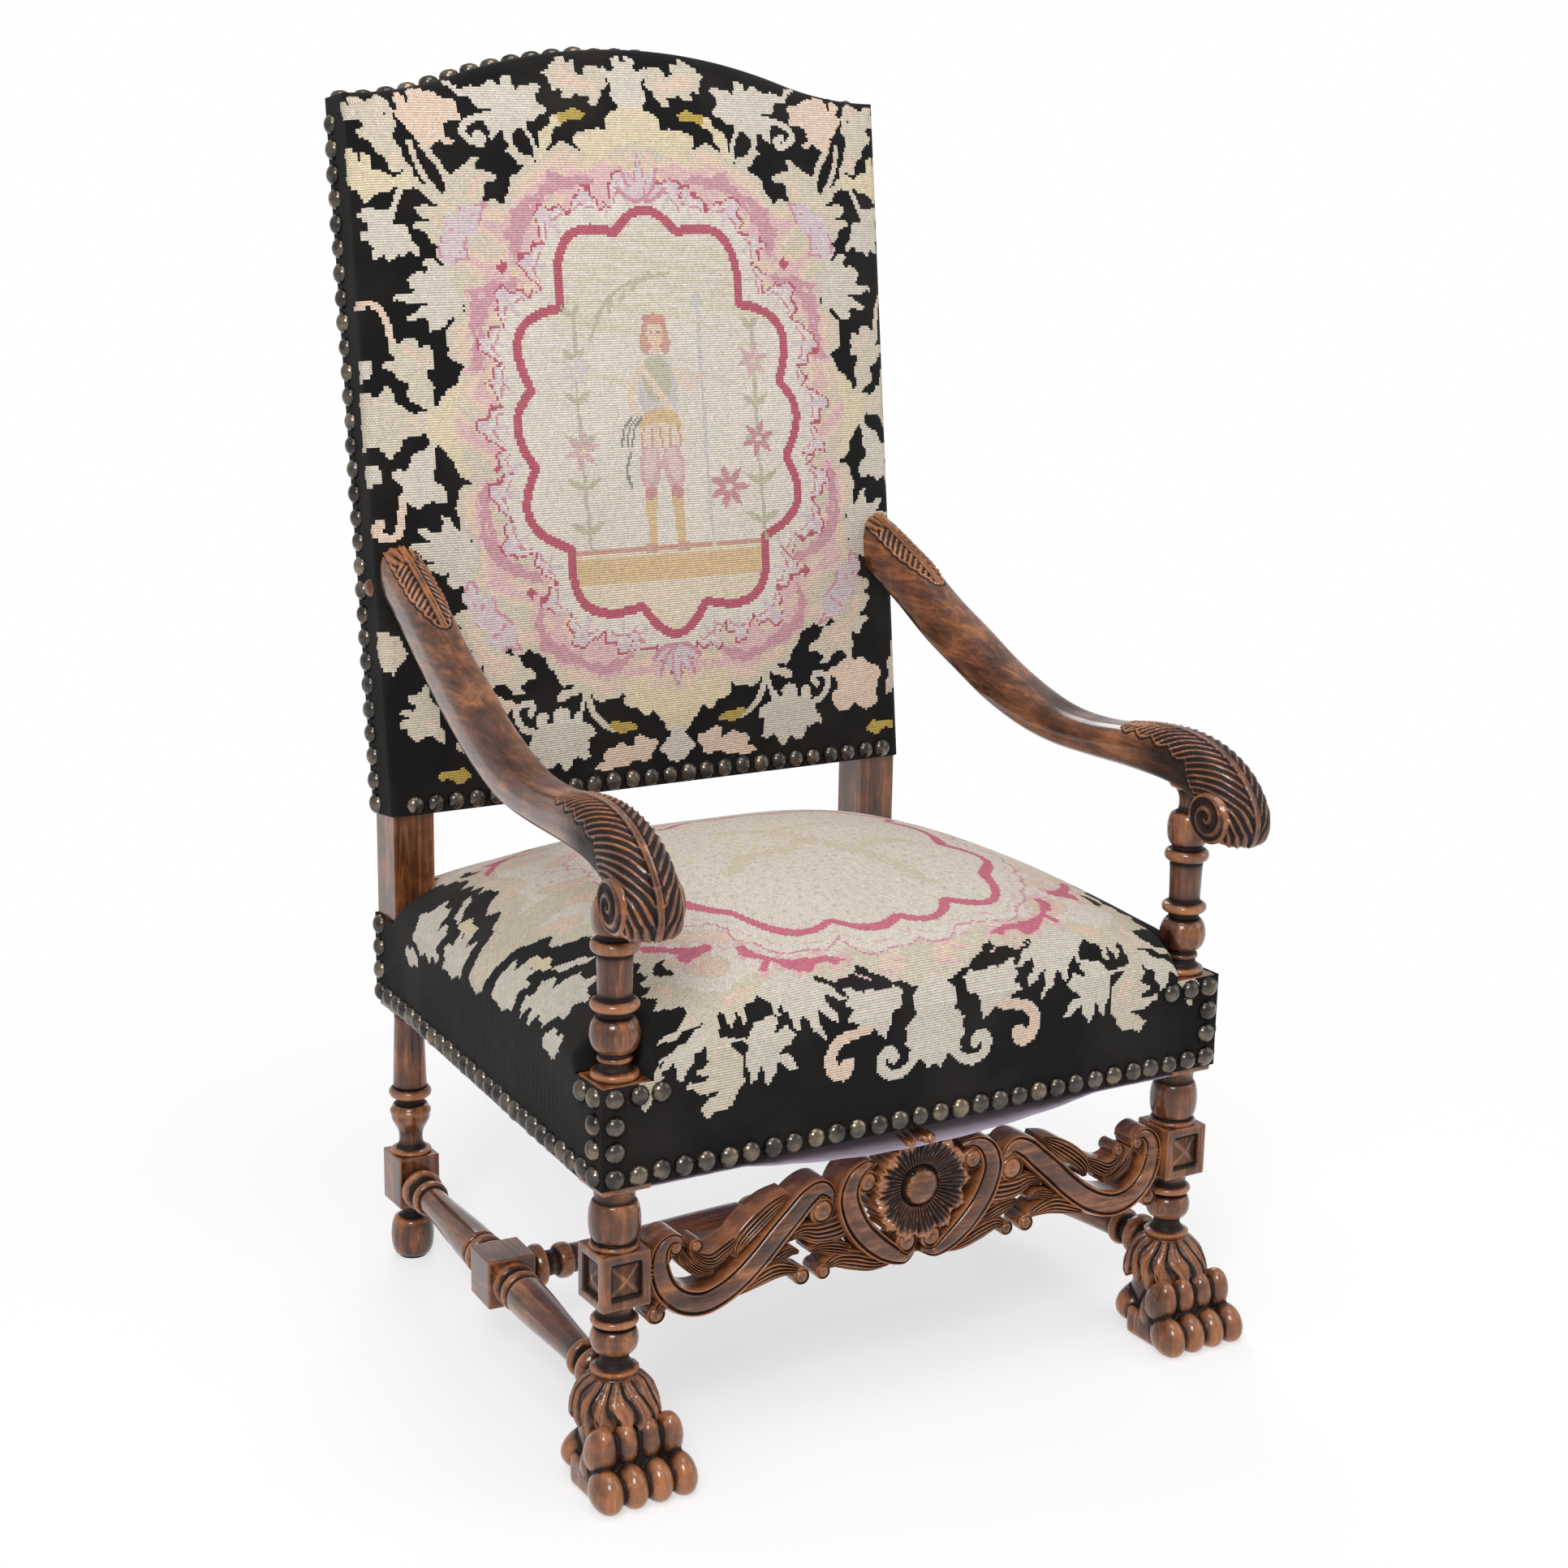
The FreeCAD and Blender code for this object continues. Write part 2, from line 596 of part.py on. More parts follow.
def scroll(shape_points, depth):
    """Carved band of changing width along a curve through a few points, given as shares of the piece."""
    path = [carving_point(share, level) for share, level, width in shape_points]
    left = []
    right = []
    for i, (share, level, width) in enumerate(shape_points):
        ahead = path[min(i + 1, len(path) - 1)] - path[max(i - 1, 0)]
        normal = V(-ahead.z, 0, ahead.x).normalize() * (width / 2)
        left.append(path[i] + normal)
        right.append(path[i] - normal)
    edges = [Part.makeLine(right[0], left[0])]
    for points in (left, right):
        curve = Part.BSplineCurve()
        curve.interpolate(points)
        edges.append(curve.toShape())
    edges.append(Part.makeLine(left[-1], right[-1]))
    band = Part.Face(Part.Wire(Part.__sortEdges__(edges))).extrude(V(0, depth, 0))
    band.translate(V(0, -depth / 2, 0))
    return band


def volute(share, level, radius, depth):
    start = carving_point(share, level) - V(0, depth / 2, 0)
    return Part.makeCylinder(radius, depth, start, V(0, 1, 0))


half_carving = [
    scroll(S_SCROLL, carving_thickness), scroll(C_SCROLL, carving_thickness + 2),
    scroll(LOWER_LEAF, carving_thickness - 4), scroll(UPPER_LEAF, carving_thickness - 6),
    scroll(INNER_LEAF, carving_thickness - 8), scroll(END_LEAF, carving_thickness - 2),
    volute(0.385, 0.58, 12, carving_thickness + 4), volute(0.21, 0.79, 12, carving_thickness + 5),
    volute(0.06, 0.17, 11, carving_thickness + 6), volute(0.875, 0.60, 10, carving_thickness + 3),
    volute(0.42, 0.08, 7, carving_thickness - 3)]
block_middle = (front_block_low_z + front_block_top_z) / 2
half_carving += [stock(carving_half - carving_end, front_y, carving_end, carving_thickness / 2 - carving_end_inset,
                       block_middle - carving_end_drop, block_middle + carving_end_rise)]
half_carving += [carving_tenon(1, 0)]
ROSETTE = (
    ("step", 0, 46.0), ("cone", 22, 50.0), ("cone", 6, 46.0), ("cone", 4, 28.0), ("cone", 3, 22.0),
    ("cone", 2, 16.0),
    ("cone", 3, 8.0))
rosette_depth = carving_thickness + 12
rosette = turned([(form, height, size * rosette_radius / 50) for form, height, size in ROSETTE], rosette_depth)
rosette.Placement = FreeCAD.Placement(carving_point(0, 0.6) + V(0, carving_thickness / 2, 0),
                                      FreeCAD.Rotation(V(0, 0, 1), V(0, -1, 0)))
half_carving = union(half_carving)
carving = union([half_carving, half_carving.mirror(V(0, 0, 0), V(1, 0, 0)), rosette])
export("front_stretcher", [carving])


# Back frame: arched crest rail on the stiles' tenons and a lower rail between them


def back_outline(grow):
    """Outline of the back in x and u: straight sides, then an ogee arch of two arcs each way."""
    half = back_half_width + grow
    side_top = back_side_length + grow
    theta = 2 * math.atan(back_arch_rise / half)
    hollow = arch_shoulder / math.sin(theta)
    foot = V(half, 0, side_top)
    bend = V(half - hollow * math.sin(theta / 2), 0, side_top + hollow * (1 - math.cos(theta / 2)))
    turn = V(half - arch_shoulder, 0, side_top + hollow * (1 - math.cos(theta)))
    peak = V(0, 0, side_top + back_arch_rise)

    def flip(point):
        return V(-point.x, 0, point.z)

    arch = [Part.Arc(foot, bend, turn).toShape(), Part.Arc(turn, peak, flip(turn)).toShape(),
            Part.Arc(flip(turn), flip(bend), flip(foot)).toShape()]
    low = V(half, 0, 0)
    ends = [Part.makeLine(flip(foot), flip(low)), Part.makeLine(flip(low), low)]
    return [Part.makeLine(low, foot)] + arch + ends


def back_slab(grow, w0, w1):
    face = Part.Face(Part.Wire(back_outline(grow)))
    slab = face.extrude(V(0, w1 - w0, 0))
    slab.translate(V(0, w0, 0))
    return slab


crest = back_slab(0, 0, stile_depth)
crest = crest.common(box(-back_half_width, back_half_width, 0, stile_depth, crest_low, 2 * back_top))
crest = placed(crest, back_place).cut([crest_tenon(-1, fit_gap), crest_tenon(1, fit_gap)])
export("crest_rail", [crest])

rail_half = rear_x - half_stile
lower_rail = back_box(-rail_half, rail_half, 0, back_rail_depth, 0, back_rail_height)
export("lower_back_rail", [union([lower_rail, back_rail_tenon(-1, 0), back_rail_tenon(1, 0)])])


# Back padding: webbing both ways on the frame's face, hessian, stuffing and the needlepoint cover
BACK_STATIONS = ((0.10, 0.45), (0.22, 0.84), (0.50, 1.0), (0.78, 0.86), (0.93, 0.40), (1.05, 0.04))
BACK_UPRIGHT_WEBS = 3
BACK_CROSS_WEBS = 4
web_top = 2 * webbing_thickness
half_web = webbing_width / 2

arm_notches = [placed(arm_bar(soft_gap), arm_place(side)) for name, side in SIDES]
opening_low = back_rail_height - webbing_lap
opening_top = crest_low + webbing_lap
strips = []
for i in range(BACK_UPRIGHT_WEBS):
    x = (i + 1) * 2 * rail_half / (BACK_UPRIGHT_WEBS + 1) - rail_half
    strips.append(back_box(x - half_web, x + half_web, -webbing_thickness, 0, opening_low, opening_top))
export("back_webbing_upright", strips)
strips = []
for i in range(BACK_CROSS_WEBS):
    u = opening_low + (i + 1) * (opening_top - opening_low) / (BACK_CROSS_WEBS + 1)
    reach = rail_half + webbing_lap
    strip = back_box(-reach, reach, -web_top, -webbing_thickness, u - half_web, u + half_web)
    strips.append(strip.cut(arm_notches).Solids[0])
export("back_webbing_across", strips)

hessian_face = web_top + hessian_thickness
back_hessian = placed(back_slab(-hessian_inset, -hessian_face, -web_top), back_place)
export("back_hessian", [back_hessian.cut(arm_notches)])


def back_section(u, crown, shrink, rear):
    """Section across the back at one height: square behind, rolled edges and a crowned front."""
    half = back_half_width + skin - shrink
    edge = back_edge_pad - shrink
    proud = edge + crown * (back_crown - back_edge_pad) + soft_gap
    roll = back_band_roll + crown * (back_roll - back_band_roll)
    shoulder = V(half - roll, -edge - 0.55 * (proud - edge), u)
    side = V(half, 0, u)
    chord = shoulder - side
    swell = (side + shoulder) * 0.5 + V(-chord.y, chord.x, 0) * 0.12

    def flip(point):
        return V(-point.x, point.y, point.z)

    corner = V(half, rear, u)
    edges = [Part.makeLine(flip(corner), corner), Part.makeLine(corner, side),
             Part.Arc(side, swell, shoulder).toShape(),
             Part.Arc(shoulder, V(0, -proud, u), flip(shoulder)).toShape(),
             Part.Arc(flip(shoulder), flip(swell), flip(side)).toShape(),
             Part.makeLine(flip(side), flip(corner))]
    return Part.Wire(edges)


def back_form(shrink, low, rear):
    """Padded back, shrunk all round: flat nail band at the foot and a crowned field above it."""
    sections = [back_section(low, 0, shrink, rear), back_section(back_nail_band, 0, shrink, rear)]
    band = Part.makeLoft(sections, True)
    levels = [(back_nail_band, 0)] + [(share * back_top, crown) for share, crown in BACK_STATIONS]
    field = Part.makeLoft([back_section(u, crown, shrink, rear) for u, crown in levels], True)
    front = -2 * back_crown
    arch = back_slab(skin - shrink, front, rear)
    if low < 0:
        arch = arch.fuse(box(-back_half_width - skin, back_half_width + skin, front, rear, low, 0))
    return union([band, field]).common(arch)


stuffing = back_form(cloth + soft_gap, 0, stile_depth)
stuffing = stuffing.common(box(-front_x, front_x, -2 * back_crown, -hessian_face - soft_gap, 0, 2 * back_top))
export("back_stuffing", [placed(stuffing, back_place).cut(arm_notches)])
cover = back_form(0, 0, stile_depth).cut(back_form(cloth, -cloth, stile_depth + cloth))
export("back_cover", [placed(cover, back_place).cut(arm_notches)])
bend_rise = stile_depth * math.tan(recline / 2) + soft_gap
outside = back_slab(0, stile_depth + soft_gap, stile_depth + soft_gap + cloth)
outside = outside.cut(box(-front_x, front_x, 0, 2 * stile_depth, -bend_rise, bend_rise))
export("outside_back_cloth", [placed(outside, back_place)])


# Seat upholstery: webbing under the rails, springs, hessian, stuffing and the needlepoint cover
SEAT_RISE = ((0.0, 0.0), (0.02, 0.34), (0.042, 0.5))
SEAT_FIELD = ((0.0, 0.66), (0.14, 0.86), (0.40, 1.0), (0.70, 0.98), (0.88, 0.88), (1.0, 0.78))
field_front_y = front_y + half_stock
field_depth = stile_face_y - field_front_y
seat_depth = stile_rear_y - seat_front_y


def seat_half_width(y):
    """Half width of the seat frame: square at the posts, tapered between them."""
    share = min(max((y - field_front_y) / field_depth, 0), 1)
    return seat_outer_x + share * (back_half_width - seat_outer_x)


def seat_section(y, rise, shrink, low):
    half = seat_half_width(y) + skin - shrink
    crown = seat_front_edge_z + rise * (seat_crown_z - seat_front_edge_z) - shrink
    side = V(half, y, seat_side_z - shrink)
    shoulder = V(half - seat_roll, y, side.z + seat_shoulder_share * (crown - side.z))
    chord = shoulder - side
    swell = (side + shoulder) * 0.5 + V(chord.z, 0, -chord.x) * 0.12

    def flip(point):
        return V(-point.x, point.y, point.z)

    corner = V(half, y, low)
    edges = [Part.makeLine(flip(corner), corner), Part.makeLine(corner, side),
             Part.Arc(side, swell, shoulder).toShape(),
             Part.Arc(shoulder, V(0, y, crown), flip(shoulder)).toShape(),
             Part.Arc(flip(shoulder), flip(swell), flip(side)).toShape(),
             Part.makeLine(flip(side), flip(corner))]
    return Part.Wire(edges)


def seat_form(shrink, low):
    """Stuffed seat, shrunk all round: front roll, crowned field and a fall at the rear."""
    levels = [(seat_front_y + share * seat_depth, rise) for share, rise in SEAT_RISE]
    levels[0] = (seat_front_y - skin + shrink, 0.0)
    levels += [(field_front_y + share * field_depth, rise) for share, rise in SEAT_FIELD]
    levels += [(stile_rear_y + skin - shrink, seat_rear_edge)]
    return Part.makeLoft([seat_section(y, rise, shrink, low) for y, rise in levels], True, True)


def post_notches(grow, low):
    """Room for the four posts: their section below the seat blocks' tops and the whole corner above."""
    high = 2 * seat_crown_z
    cuts = []
    for name, side in SIDES:
        reach = side * 2 * front_x
        cuts += [stock(side * front_x, front_y, half_stock + grow, half_stock + grow, low, high),
                 stock(side * rear_x, rear_y, half_stile + grow, half_stile + grow, low, high),
                 box(side * (front_x - half_stock - grow), reach, 2 * seat_front_y, field_front_y + grow,
                     seat_block_top_z, high),
                 box(side * (rear_x - half_stile - grow), reach, stile_face_y - grow, 2 * stile_rear_y,
                     seat_block_top_z, high)]
    return cuts


web_low_z = rail_low_z - web_top
spring_xs = [(i - (spring_rows - 1) / 2) * 2 * rail_half / (spring_rows + 1) for i in range(spring_rows)]
spring_ys = [field_front_y + (i + 1) * field_depth / (spring_rows + 1) for i in range(spring_rows)]
across = []
lengthwise = []
for y in spring_ys:
    reach = seat_half_width(y + half_web) - rail_thickness + webbing_lap
    across.append(box(-reach, reach, y - half_web, y + half_web, rail_low_z - webbing_thickness, rail_low_z))
for x in spring_xs:
    lengthwise.append(box(x - half_web, x + half_web, front_rail_y + rail_thickness / 2 - webbing_lap,
                          rear_rail_y - rail_thickness / 2 + webbing_lap,
                          web_low_z, rail_low_z - webbing_thickness))
export("seat_webbing_across", across)
export("seat_webbing_lengthwise", lengthwise)

springs = []
for x in spring_xs:
    for y in spring_ys:
        hourglass = (("step", 0, spring_radius), ("cone", 1, spring_waist), ("cone", 1, spring_radius))
        inside = [(form, height, size - spring_wire) for form, height, size in hourglass]
        shell = upright(hourglass, x, y, rail_low_z, rail_top_z)
        springs.append(shell.cut(upright(inside, x, y, rail_low_z, rail_top_z)))
export("seat_springs", springs)

hessian_z = rail_top_z + hessian_thickness
seat_hessian = seat_form(skin + hessian_inset, rail_top_z)
hessian_room = box(-seat_outer_x, seat_outer_x, seat_front_y, stile_rear_y, rail_top_z, hessian_z)
seat_hessian = seat_hessian.common(hessian_room)
export("seat_hessian", [seat_hessian.cut(post_notches(soft_gap, rail_low_z))])
seat_stuffing = seat_form(skin, hessian_z + soft_gap)
export("seat_stuffing", [seat_stuffing.cut(post_notches(soft_gap, rail_low_z))])
seat_cover = seat_form(0, rail_low_z).cut(seat_form(cloth, rail_low_z - cloth))
export("seat_cover", [seat_cover.cut(post_notches(soft_gap, rail_low_z - cloth))])

dust_z = web_low_z - soft_gap
plan = [V(side * seat_half_width(y), y, dust_z - dust_cover_thickness) for side in (-1, 1)
        for y in ((seat_front_y, stile_rear_y) if side < 0 else (stile_rear_y, seat_front_y))]
dust_cover = prism(plan, V(0, 0, dust_cover_thickness))
half_sag = dust_cover_sag_span / 2
lip = [V(-half_sag, seat_front_y, dust_z), V(half_sag, seat_front_y, dust_z)]
droop = Part.Arc(lip[1], V(0, seat_front_y, dust_z - dust_cover_sag), lip[0]).toShape()
lip_face = Part.Face(Part.Wire([Part.makeLine(lip[0], lip[1]), droop]))
dust_cover = union([dust_cover, lip_face.extrude(V(0, dust_cover_thickness, 0))])
export("dust_cover", [dust_cover.cut(post_notches(soft_gap, dust_z - dust_cover_sag))])


# Close nailing: domed heads seated on the cloth, spaced evenly along each run
def dome(radius, height):
    """Spherical cap on a flat base."""
    ball = (radius * radius + height * height) / (2 * height)
    half_angle = math.asin(radius / ball) / 2
    shoulder = V(ball * math.sin(half_angle), 0, height - ball + ball * math.cos(half_angle))
    edges = [Part.makeLine(V(0, 0, 0), V(radius, 0, 0)),
             Part.Arc(V(radius, 0, 0), shoulder, V(0, 0, height)).toShape(),
             Part.makeLine(V(0, 0, height), V(0, 0, 0))]
    return Part.Face(Part.Wire(edges)).revolve(V(0, 0, 0), V(0, 0, 1), 360)


nail_head = dome(nail_radius, nail_dome)
nail_inset = nail_radius + 1.0


def nail(point, normal, head):
    place = FreeCAD.Placement(point + normal * nail_seat, FreeCAD.Rotation(V(0, 0, 1), normal))
    return placed(head, place)


def nail_run(start, end, normal, pitch, head=nail_head, first=0, last=0):
    """Heads at an even pitch from start to end, leaving out some at either end."""
    count = max(1, round((end - start).Length / pitch))
    return [nail(start + (end - start) * (i / count), normal, head) for i in range(first, count + 1 - last)]


def flank_nails(side, z):
    """Heads along one side of the seat, past both posts, at an even pitch."""
    outer = side * (seat_outer_x + skin)
    inner = side * (back_half_width + skin)
    corners = [V(outer, seat_front_y + nail_inset, z), V(outer, field_front_y, z), V(inner, stile_face_y, z),
               V(inner, stile_rear_y - nail_inset, z)]
    lengths = [(b - a).Length for a, b in zip(corners, corners[1:])]
    count = round(sum(lengths) / nail_pitch)
    heads = []
    for i in range(count + 1):
        travel = sum(lengths) * i / count
        leg = 0
        while leg < len(lengths) - 1 and travel > lengths[leg]:
            travel -= lengths[leg]
            leg += 1
        way = (corners[leg + 1] - corners[leg]).normalize()
        heads.append(nail(corners[leg] + way * travel, V(side * way.y, -side * way.x, 0), nail_head))
    return heads


low_row = rail_low_z + nail_inset
high_row = seat_block_top_z - nail_inset
face_y = seat_front_y - skin
rear_face_y = stile_rear_y + skin
corner_x = seat_outer_x - nail_inset
front_row = nail_run(V(-corner_x, face_y, low_row), V(corner_x, face_y, low_row), V(0, -1, 0), nail_pitch)
export("seat_front_nails", front_row)
rear_corner_x = back_half_width - nail_inset
export("seat_rear_nails", nail_run(V(-rear_corner_x, rear_face_y, low_row), V(rear_corner_x, rear_face_y, low_row),
                                   V(0, 1, 0), nail_pitch))
post_nails = []
for name, side in SIDES:
    outer = side * (seat_outer_x + skin)
    export("seat_" + name + "_nails", flank_nails(side, low_row))
    step = V(-side * nail_pitch, 0, 0)
    top = V(side * corner_x, face_y, high_row)
    post_nails += [nail(top + step * i, V(0, -1, 0), nail_head) for i in range(3)]
    post_nails += nail_run(top, V(side * corner_x, face_y, low_row), V(0, -1, 0), nail_pitch, first=1, last=1)
    flank = V(outer, seat_front_y + nail_inset, high_row)
    post_nails += [nail(flank + V(0, nail_pitch * i, 0), V(side, 0, 0), nail_head) for i in range(2)]
    flank_end = V(outer, seat_front_y + nail_inset, low_row)
    post_nails += nail_run(flank, flank_end, V(side, 0, 0), nail_pitch, first=1, last=1)
    heel = V(side * (back_half_width + skin), stile_rear_y - nail_inset, high_row)
    post_nails += nail_run(heel, V(heel.x, heel.y, low_row), V(side, 0, 0), nail_pitch, last=1)
export("post_nails", post_nails)

back_low_nails = nail_run(V(-(back_half_width - back_band_roll - nail_radius), 0, nail_inset),
                          V(back_half_width - back_band_roll - nail_radius, 0, nail_inset), V(0, -1, 0), nail_pitch)
for head in back_low_nails:
    head.translate(V(0, -back_edge_pad - soft_gap, 0))
export("back_low_nails", [placed(head, back_place) for head in back_low_nails])
side_row = stile_depth - nail_inset
for name, side in SIDES:
    x = side * (back_half_width + skin)
    top = V(x, side_row, back_side_length)
    run = nail_run(V(x, side_row, nail_inset), top, V(side, 0, 0), back_nail_pitch, last=1)
    export("back_" + name + "_nails", [placed(head, back_place) for head in run])
arch = Part.Wire(back_outline(skin)[1:4])
arch_count = round(arch.Length / back_nail_pitch)
arch_points = arch.discretize(Number=2 * arch_count + 1)
run = []
for i in range(1, 2 * arch_count, 2):
    along = (arch_points[i + 1] - arch_points[i - 1]).normalize()
    run.append(nail(arch_points[i] + V(0, side_row, 0), V(along.z, 0, -along.x), nail_head))
export("back_top_nails", [placed(head, back_place) for head in run])

cap = dome(bolt_cap_radius, bolt_cap_height)
cap_w = stile_depth - 2 * nail_inset - bolt_cap_radius
caps = [nail(V(side * (back_half_width + skin), cap_w, arm_join), V(side, 0, 0), cap) for name, side in SIDES]
export("arm_bolt_caps", [placed(shape, back_place) for shape in caps])

tack = dome(tack_radius, tack_radius / 2)
tack_z = dust_z - dust_cover_thickness
tack_rows = []
for name, side in SIDES:
    start = V(side * (seat_half_width(field_front_y) - tack_inset), field_front_y + tack_inset, tack_z)
    end = V(side * (back_half_width - tack_inset), stile_face_y - tack_inset, tack_z)
    tack_rows += nail_run(start, end, V(0, 0, -1), tack_pitch, head=tack)
    start = V(side * (half_sag + tack_inset), seat_front_y + tack_inset, tack_z)
    end = V(side * (front_x - half_stock - tack_inset), seat_front_y + tack_inset, tack_z)
    tack_rows += nail_run(start, end, V(0, 0, -1), tack_pitch / 2, head=tack)
rear_tack_x = rear_x - half_stile - tack_inset
tack_rows += nail_run(V(-rear_tack_x, rear_rail_y, tack_z), V(rear_tack_x, rear_rail_y, tack_z), V(0, 0, -1),
                      tack_pitch, head=tack)
export("dust_cover_tacks", tack_rows)
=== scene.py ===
import math

import bmesh
import bpy
import numpy as np
from mathutils import Matrix, Vector


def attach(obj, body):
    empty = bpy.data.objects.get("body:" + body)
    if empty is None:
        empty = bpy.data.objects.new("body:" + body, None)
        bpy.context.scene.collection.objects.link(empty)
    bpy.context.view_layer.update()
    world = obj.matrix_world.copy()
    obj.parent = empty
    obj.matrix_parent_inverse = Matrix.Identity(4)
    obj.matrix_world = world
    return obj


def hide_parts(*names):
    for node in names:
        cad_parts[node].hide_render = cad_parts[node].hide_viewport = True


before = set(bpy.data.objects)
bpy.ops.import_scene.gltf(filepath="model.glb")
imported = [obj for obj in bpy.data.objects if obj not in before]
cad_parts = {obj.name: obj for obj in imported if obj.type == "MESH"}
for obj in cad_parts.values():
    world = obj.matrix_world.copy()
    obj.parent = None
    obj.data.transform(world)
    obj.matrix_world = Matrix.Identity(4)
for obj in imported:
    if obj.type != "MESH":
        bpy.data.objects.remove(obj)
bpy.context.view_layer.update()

# The studio: a pale floor that runs out to white, four large soft lamps, and a camera at
# arm height turned to the chair's left front corner.
scene = bpy.context.scene
scene.view_settings.view_transform = "Standard"

camera_aim = np.array([0.0131, -0.0086, 0.540])
camera_azimuth = math.radians(-31.2343)
camera_elevation = math.radians(13.9884)
camera_roll = math.radians(0.9873)
camera_distance = 2.6133
camera_lens = 60.6
camera_sensor = 36.0


def placed(name, data):
    """A new object in the scene that shows a mesh, a light or a camera."""
    piece = bpy.data.objects.new(name, data)
    scene.collection.objects.link(piece)
    return piece


back_way = np.array([math.sin(camera_azimuth) * math.cos(camera_elevation),
                     -math.cos(camera_azimuth) * math.cos(camera_elevation), math.sin(camera_elevation)])
right_way = np.cross(-back_way, [0, 0, 1])
right_way = right_way / np.linalg.norm(right_way)
up_way = np.cross(right_way, -back_way)
rolled_right = math.cos(camera_roll) * right_way + math.sin(camera_roll) * up_way
rolled_up = math.cos(camera_roll) * up_way - math.sin(camera_roll) * right_way
camera_data = bpy.data.cameras.new("studio_camera")
camera_data.lens = camera_lens
camera_data.sensor_width = camera_sensor
camera = placed("studio_camera", camera_data)
camera_place = np.eye(4)
camera_place[:3] = np.column_stack([rolled_right, rolled_up, back_way,
                                    camera_aim + camera_distance * back_way])
camera.matrix_world = Matrix(camera_place.tolist())
scene.camera = camera


def lamp(name, place, width, watts):
    """A square soft lamp at a place, turned to the chair's middle."""
    light = bpy.data.lights.new(name, "AREA")
    light.size = width
    light.energy = watts
    holder = placed(name, light)
    holder.location = place
    holder.rotation_euler = (Vector(camera_aim) - Vector(place)).to_track_quat("-Z", "Y").to_euler()


lamp("key_lamp", (-2.2, -2.6, 2.9), 1.3, 78)
lamp("fill_lamp", (2.8, -1.6, 1.9), 2.0, 15)
lamp("top_lamp", (-0.3, -0.7, 3.3), 1.8, 30)
lamp("rim_lamp", (0.9, 2.7, 2.6), 1.6, 34)


class Wire:
    """An output of a shader node. Arithmetic on wires and numbers adds Math nodes."""

    def __init__(self, tree, socket=None):
        self.tree = tree
        self.socket = socket

    def node(self, kind, settings=None, sockets=None, out=0):
        """Adds a node: its settings first, a ramp's stops among them,
        then each socket's number, colour or wire."""
        node = self.tree.nodes.new(kind)
        settings = dict(settings or {})
        stops = settings.pop("stops", [])
        for name, value in settings.items():
            setattr(node, name, value)
        for i, (place, colour) in enumerate(stops):
            stop = node.color_ramp.elements[i] if i < 2 else node.color_ramp.elements.new(place)
            stop.position = place
            stop.color = (*colour, 1.0)
        for name, value in (sockets or {}).items():
            if isinstance(value, Wire):
                self.tree.links.new(value.socket, node.inputs[name])
            else:
                node.inputs[name].default_value = value
        return Wire(self.tree, node.outputs[out] if node.outputs else None)

    def maths(self, operation, first, second):
        return self.node("ShaderNodeMath", {"operation": operation}, {0: first, 1: second})

    def __add__(self, other):
        return self.maths("ADD", self, other)

    def __sub__(self, other):
        return self.maths("SUBTRACT", self, other)

    def __rsub__(self, other):
        return self.maths("SUBTRACT", other, self)

    def __mul__(self, other):
        return self.maths("MULTIPLY", self, other)

    def above(self, low, high):
        """0 below low, 1 above high and a straight rise between."""
        return self.node("ShaderNodeMapRange", {"clamp": True}, {0: self, 1: low, 2: high, 3: 0.0, 4: 1.0})

    def mix(self, first, second):
        """The first colour where this wire is 0, the second where it is 1."""
        return self.node("ShaderNodeMix", {"data_type": "RGBA"}, {0: self, 6: first, 7: second}, out=2)

    def into(self, shader, socket):
        """Leads this wire to one of a shader's sockets."""
        self.tree.links.new(self.socket, shader.inputs[socket])

    def where(self):
        """Places on the object, as a vector."""
        return self.node("ShaderNodeTexCoord", out="Object")

    def noise(self, place, scale, detail, **more):
        """Cloudy noise over a vector."""
        return self.node("ShaderNodeTexNoise", {},
                         {"Vector": place, "Scale": scale, "Detail": detail, **more})

    def sine(self):
        return self.node("ShaderNodeMath", {"operation": "SINE"}, {0: self})

    def parts(self):
        """The three numbers of this vector."""
        first = self.node("ShaderNodeSeparateXYZ", {}, {0: self})
        return [Wire(self.tree, socket) for socket in first.socket.node.outputs]

    def bump(self, strength, distance):
        """Normals that lean as if this wire were a height."""
        return self.node("ShaderNodeBump", {}, {"Strength": strength, "Distance": distance, "Height": self})

    __radd__ = __add__
    __rmul__ = __mul__


floor_half = 6.0
floor_white = (0.93, 0.93, 0.93)
floor_glow = 0.60
floor_fade = (0.55, 1.5)
floor_mesh = bpy.data.meshes.new("studio_floor")
floor_corners = ((-1, -1), (1, -1), (1, 1), (-1, 1))
floor_mesh.from_pydata([(x * floor_half, y * floor_half, 0) for x, y in floor_corners], [], [(0, 1, 2, 3)])
floor = placed("studio_floor", floor_mesh)
floor_paint = bpy.data.materials.new("studio_floor")
floor_paint.use_nodes = True
floor_tree = floor_paint.node_tree
floor_tree.nodes.clear()
wire = Wire(floor_tree)
outward = wire.node("ShaderNodeVectorMath", {"operation": "LENGTH"}, {0: wire.where()}, out="Value")
matt = wire.node("ShaderNodeBsdfDiffuse", {}, {"Color": (*floor_white, 1.0)})
glow = wire.node("ShaderNodeEmission", {}, {"Color": (1.0, 1.0, 1.0, 1.0), "Strength": 1.0})
share = floor_glow + (1.0 - floor_glow) * outward.above(*floor_fade)
wire.node("ShaderNodeOutputMaterial", {}, {
    "Surface": wire.node("ShaderNodeMixShader", {}, {0: share, 1: matt, 2: glow})})
floor_mesh.materials.append(floor_paint)

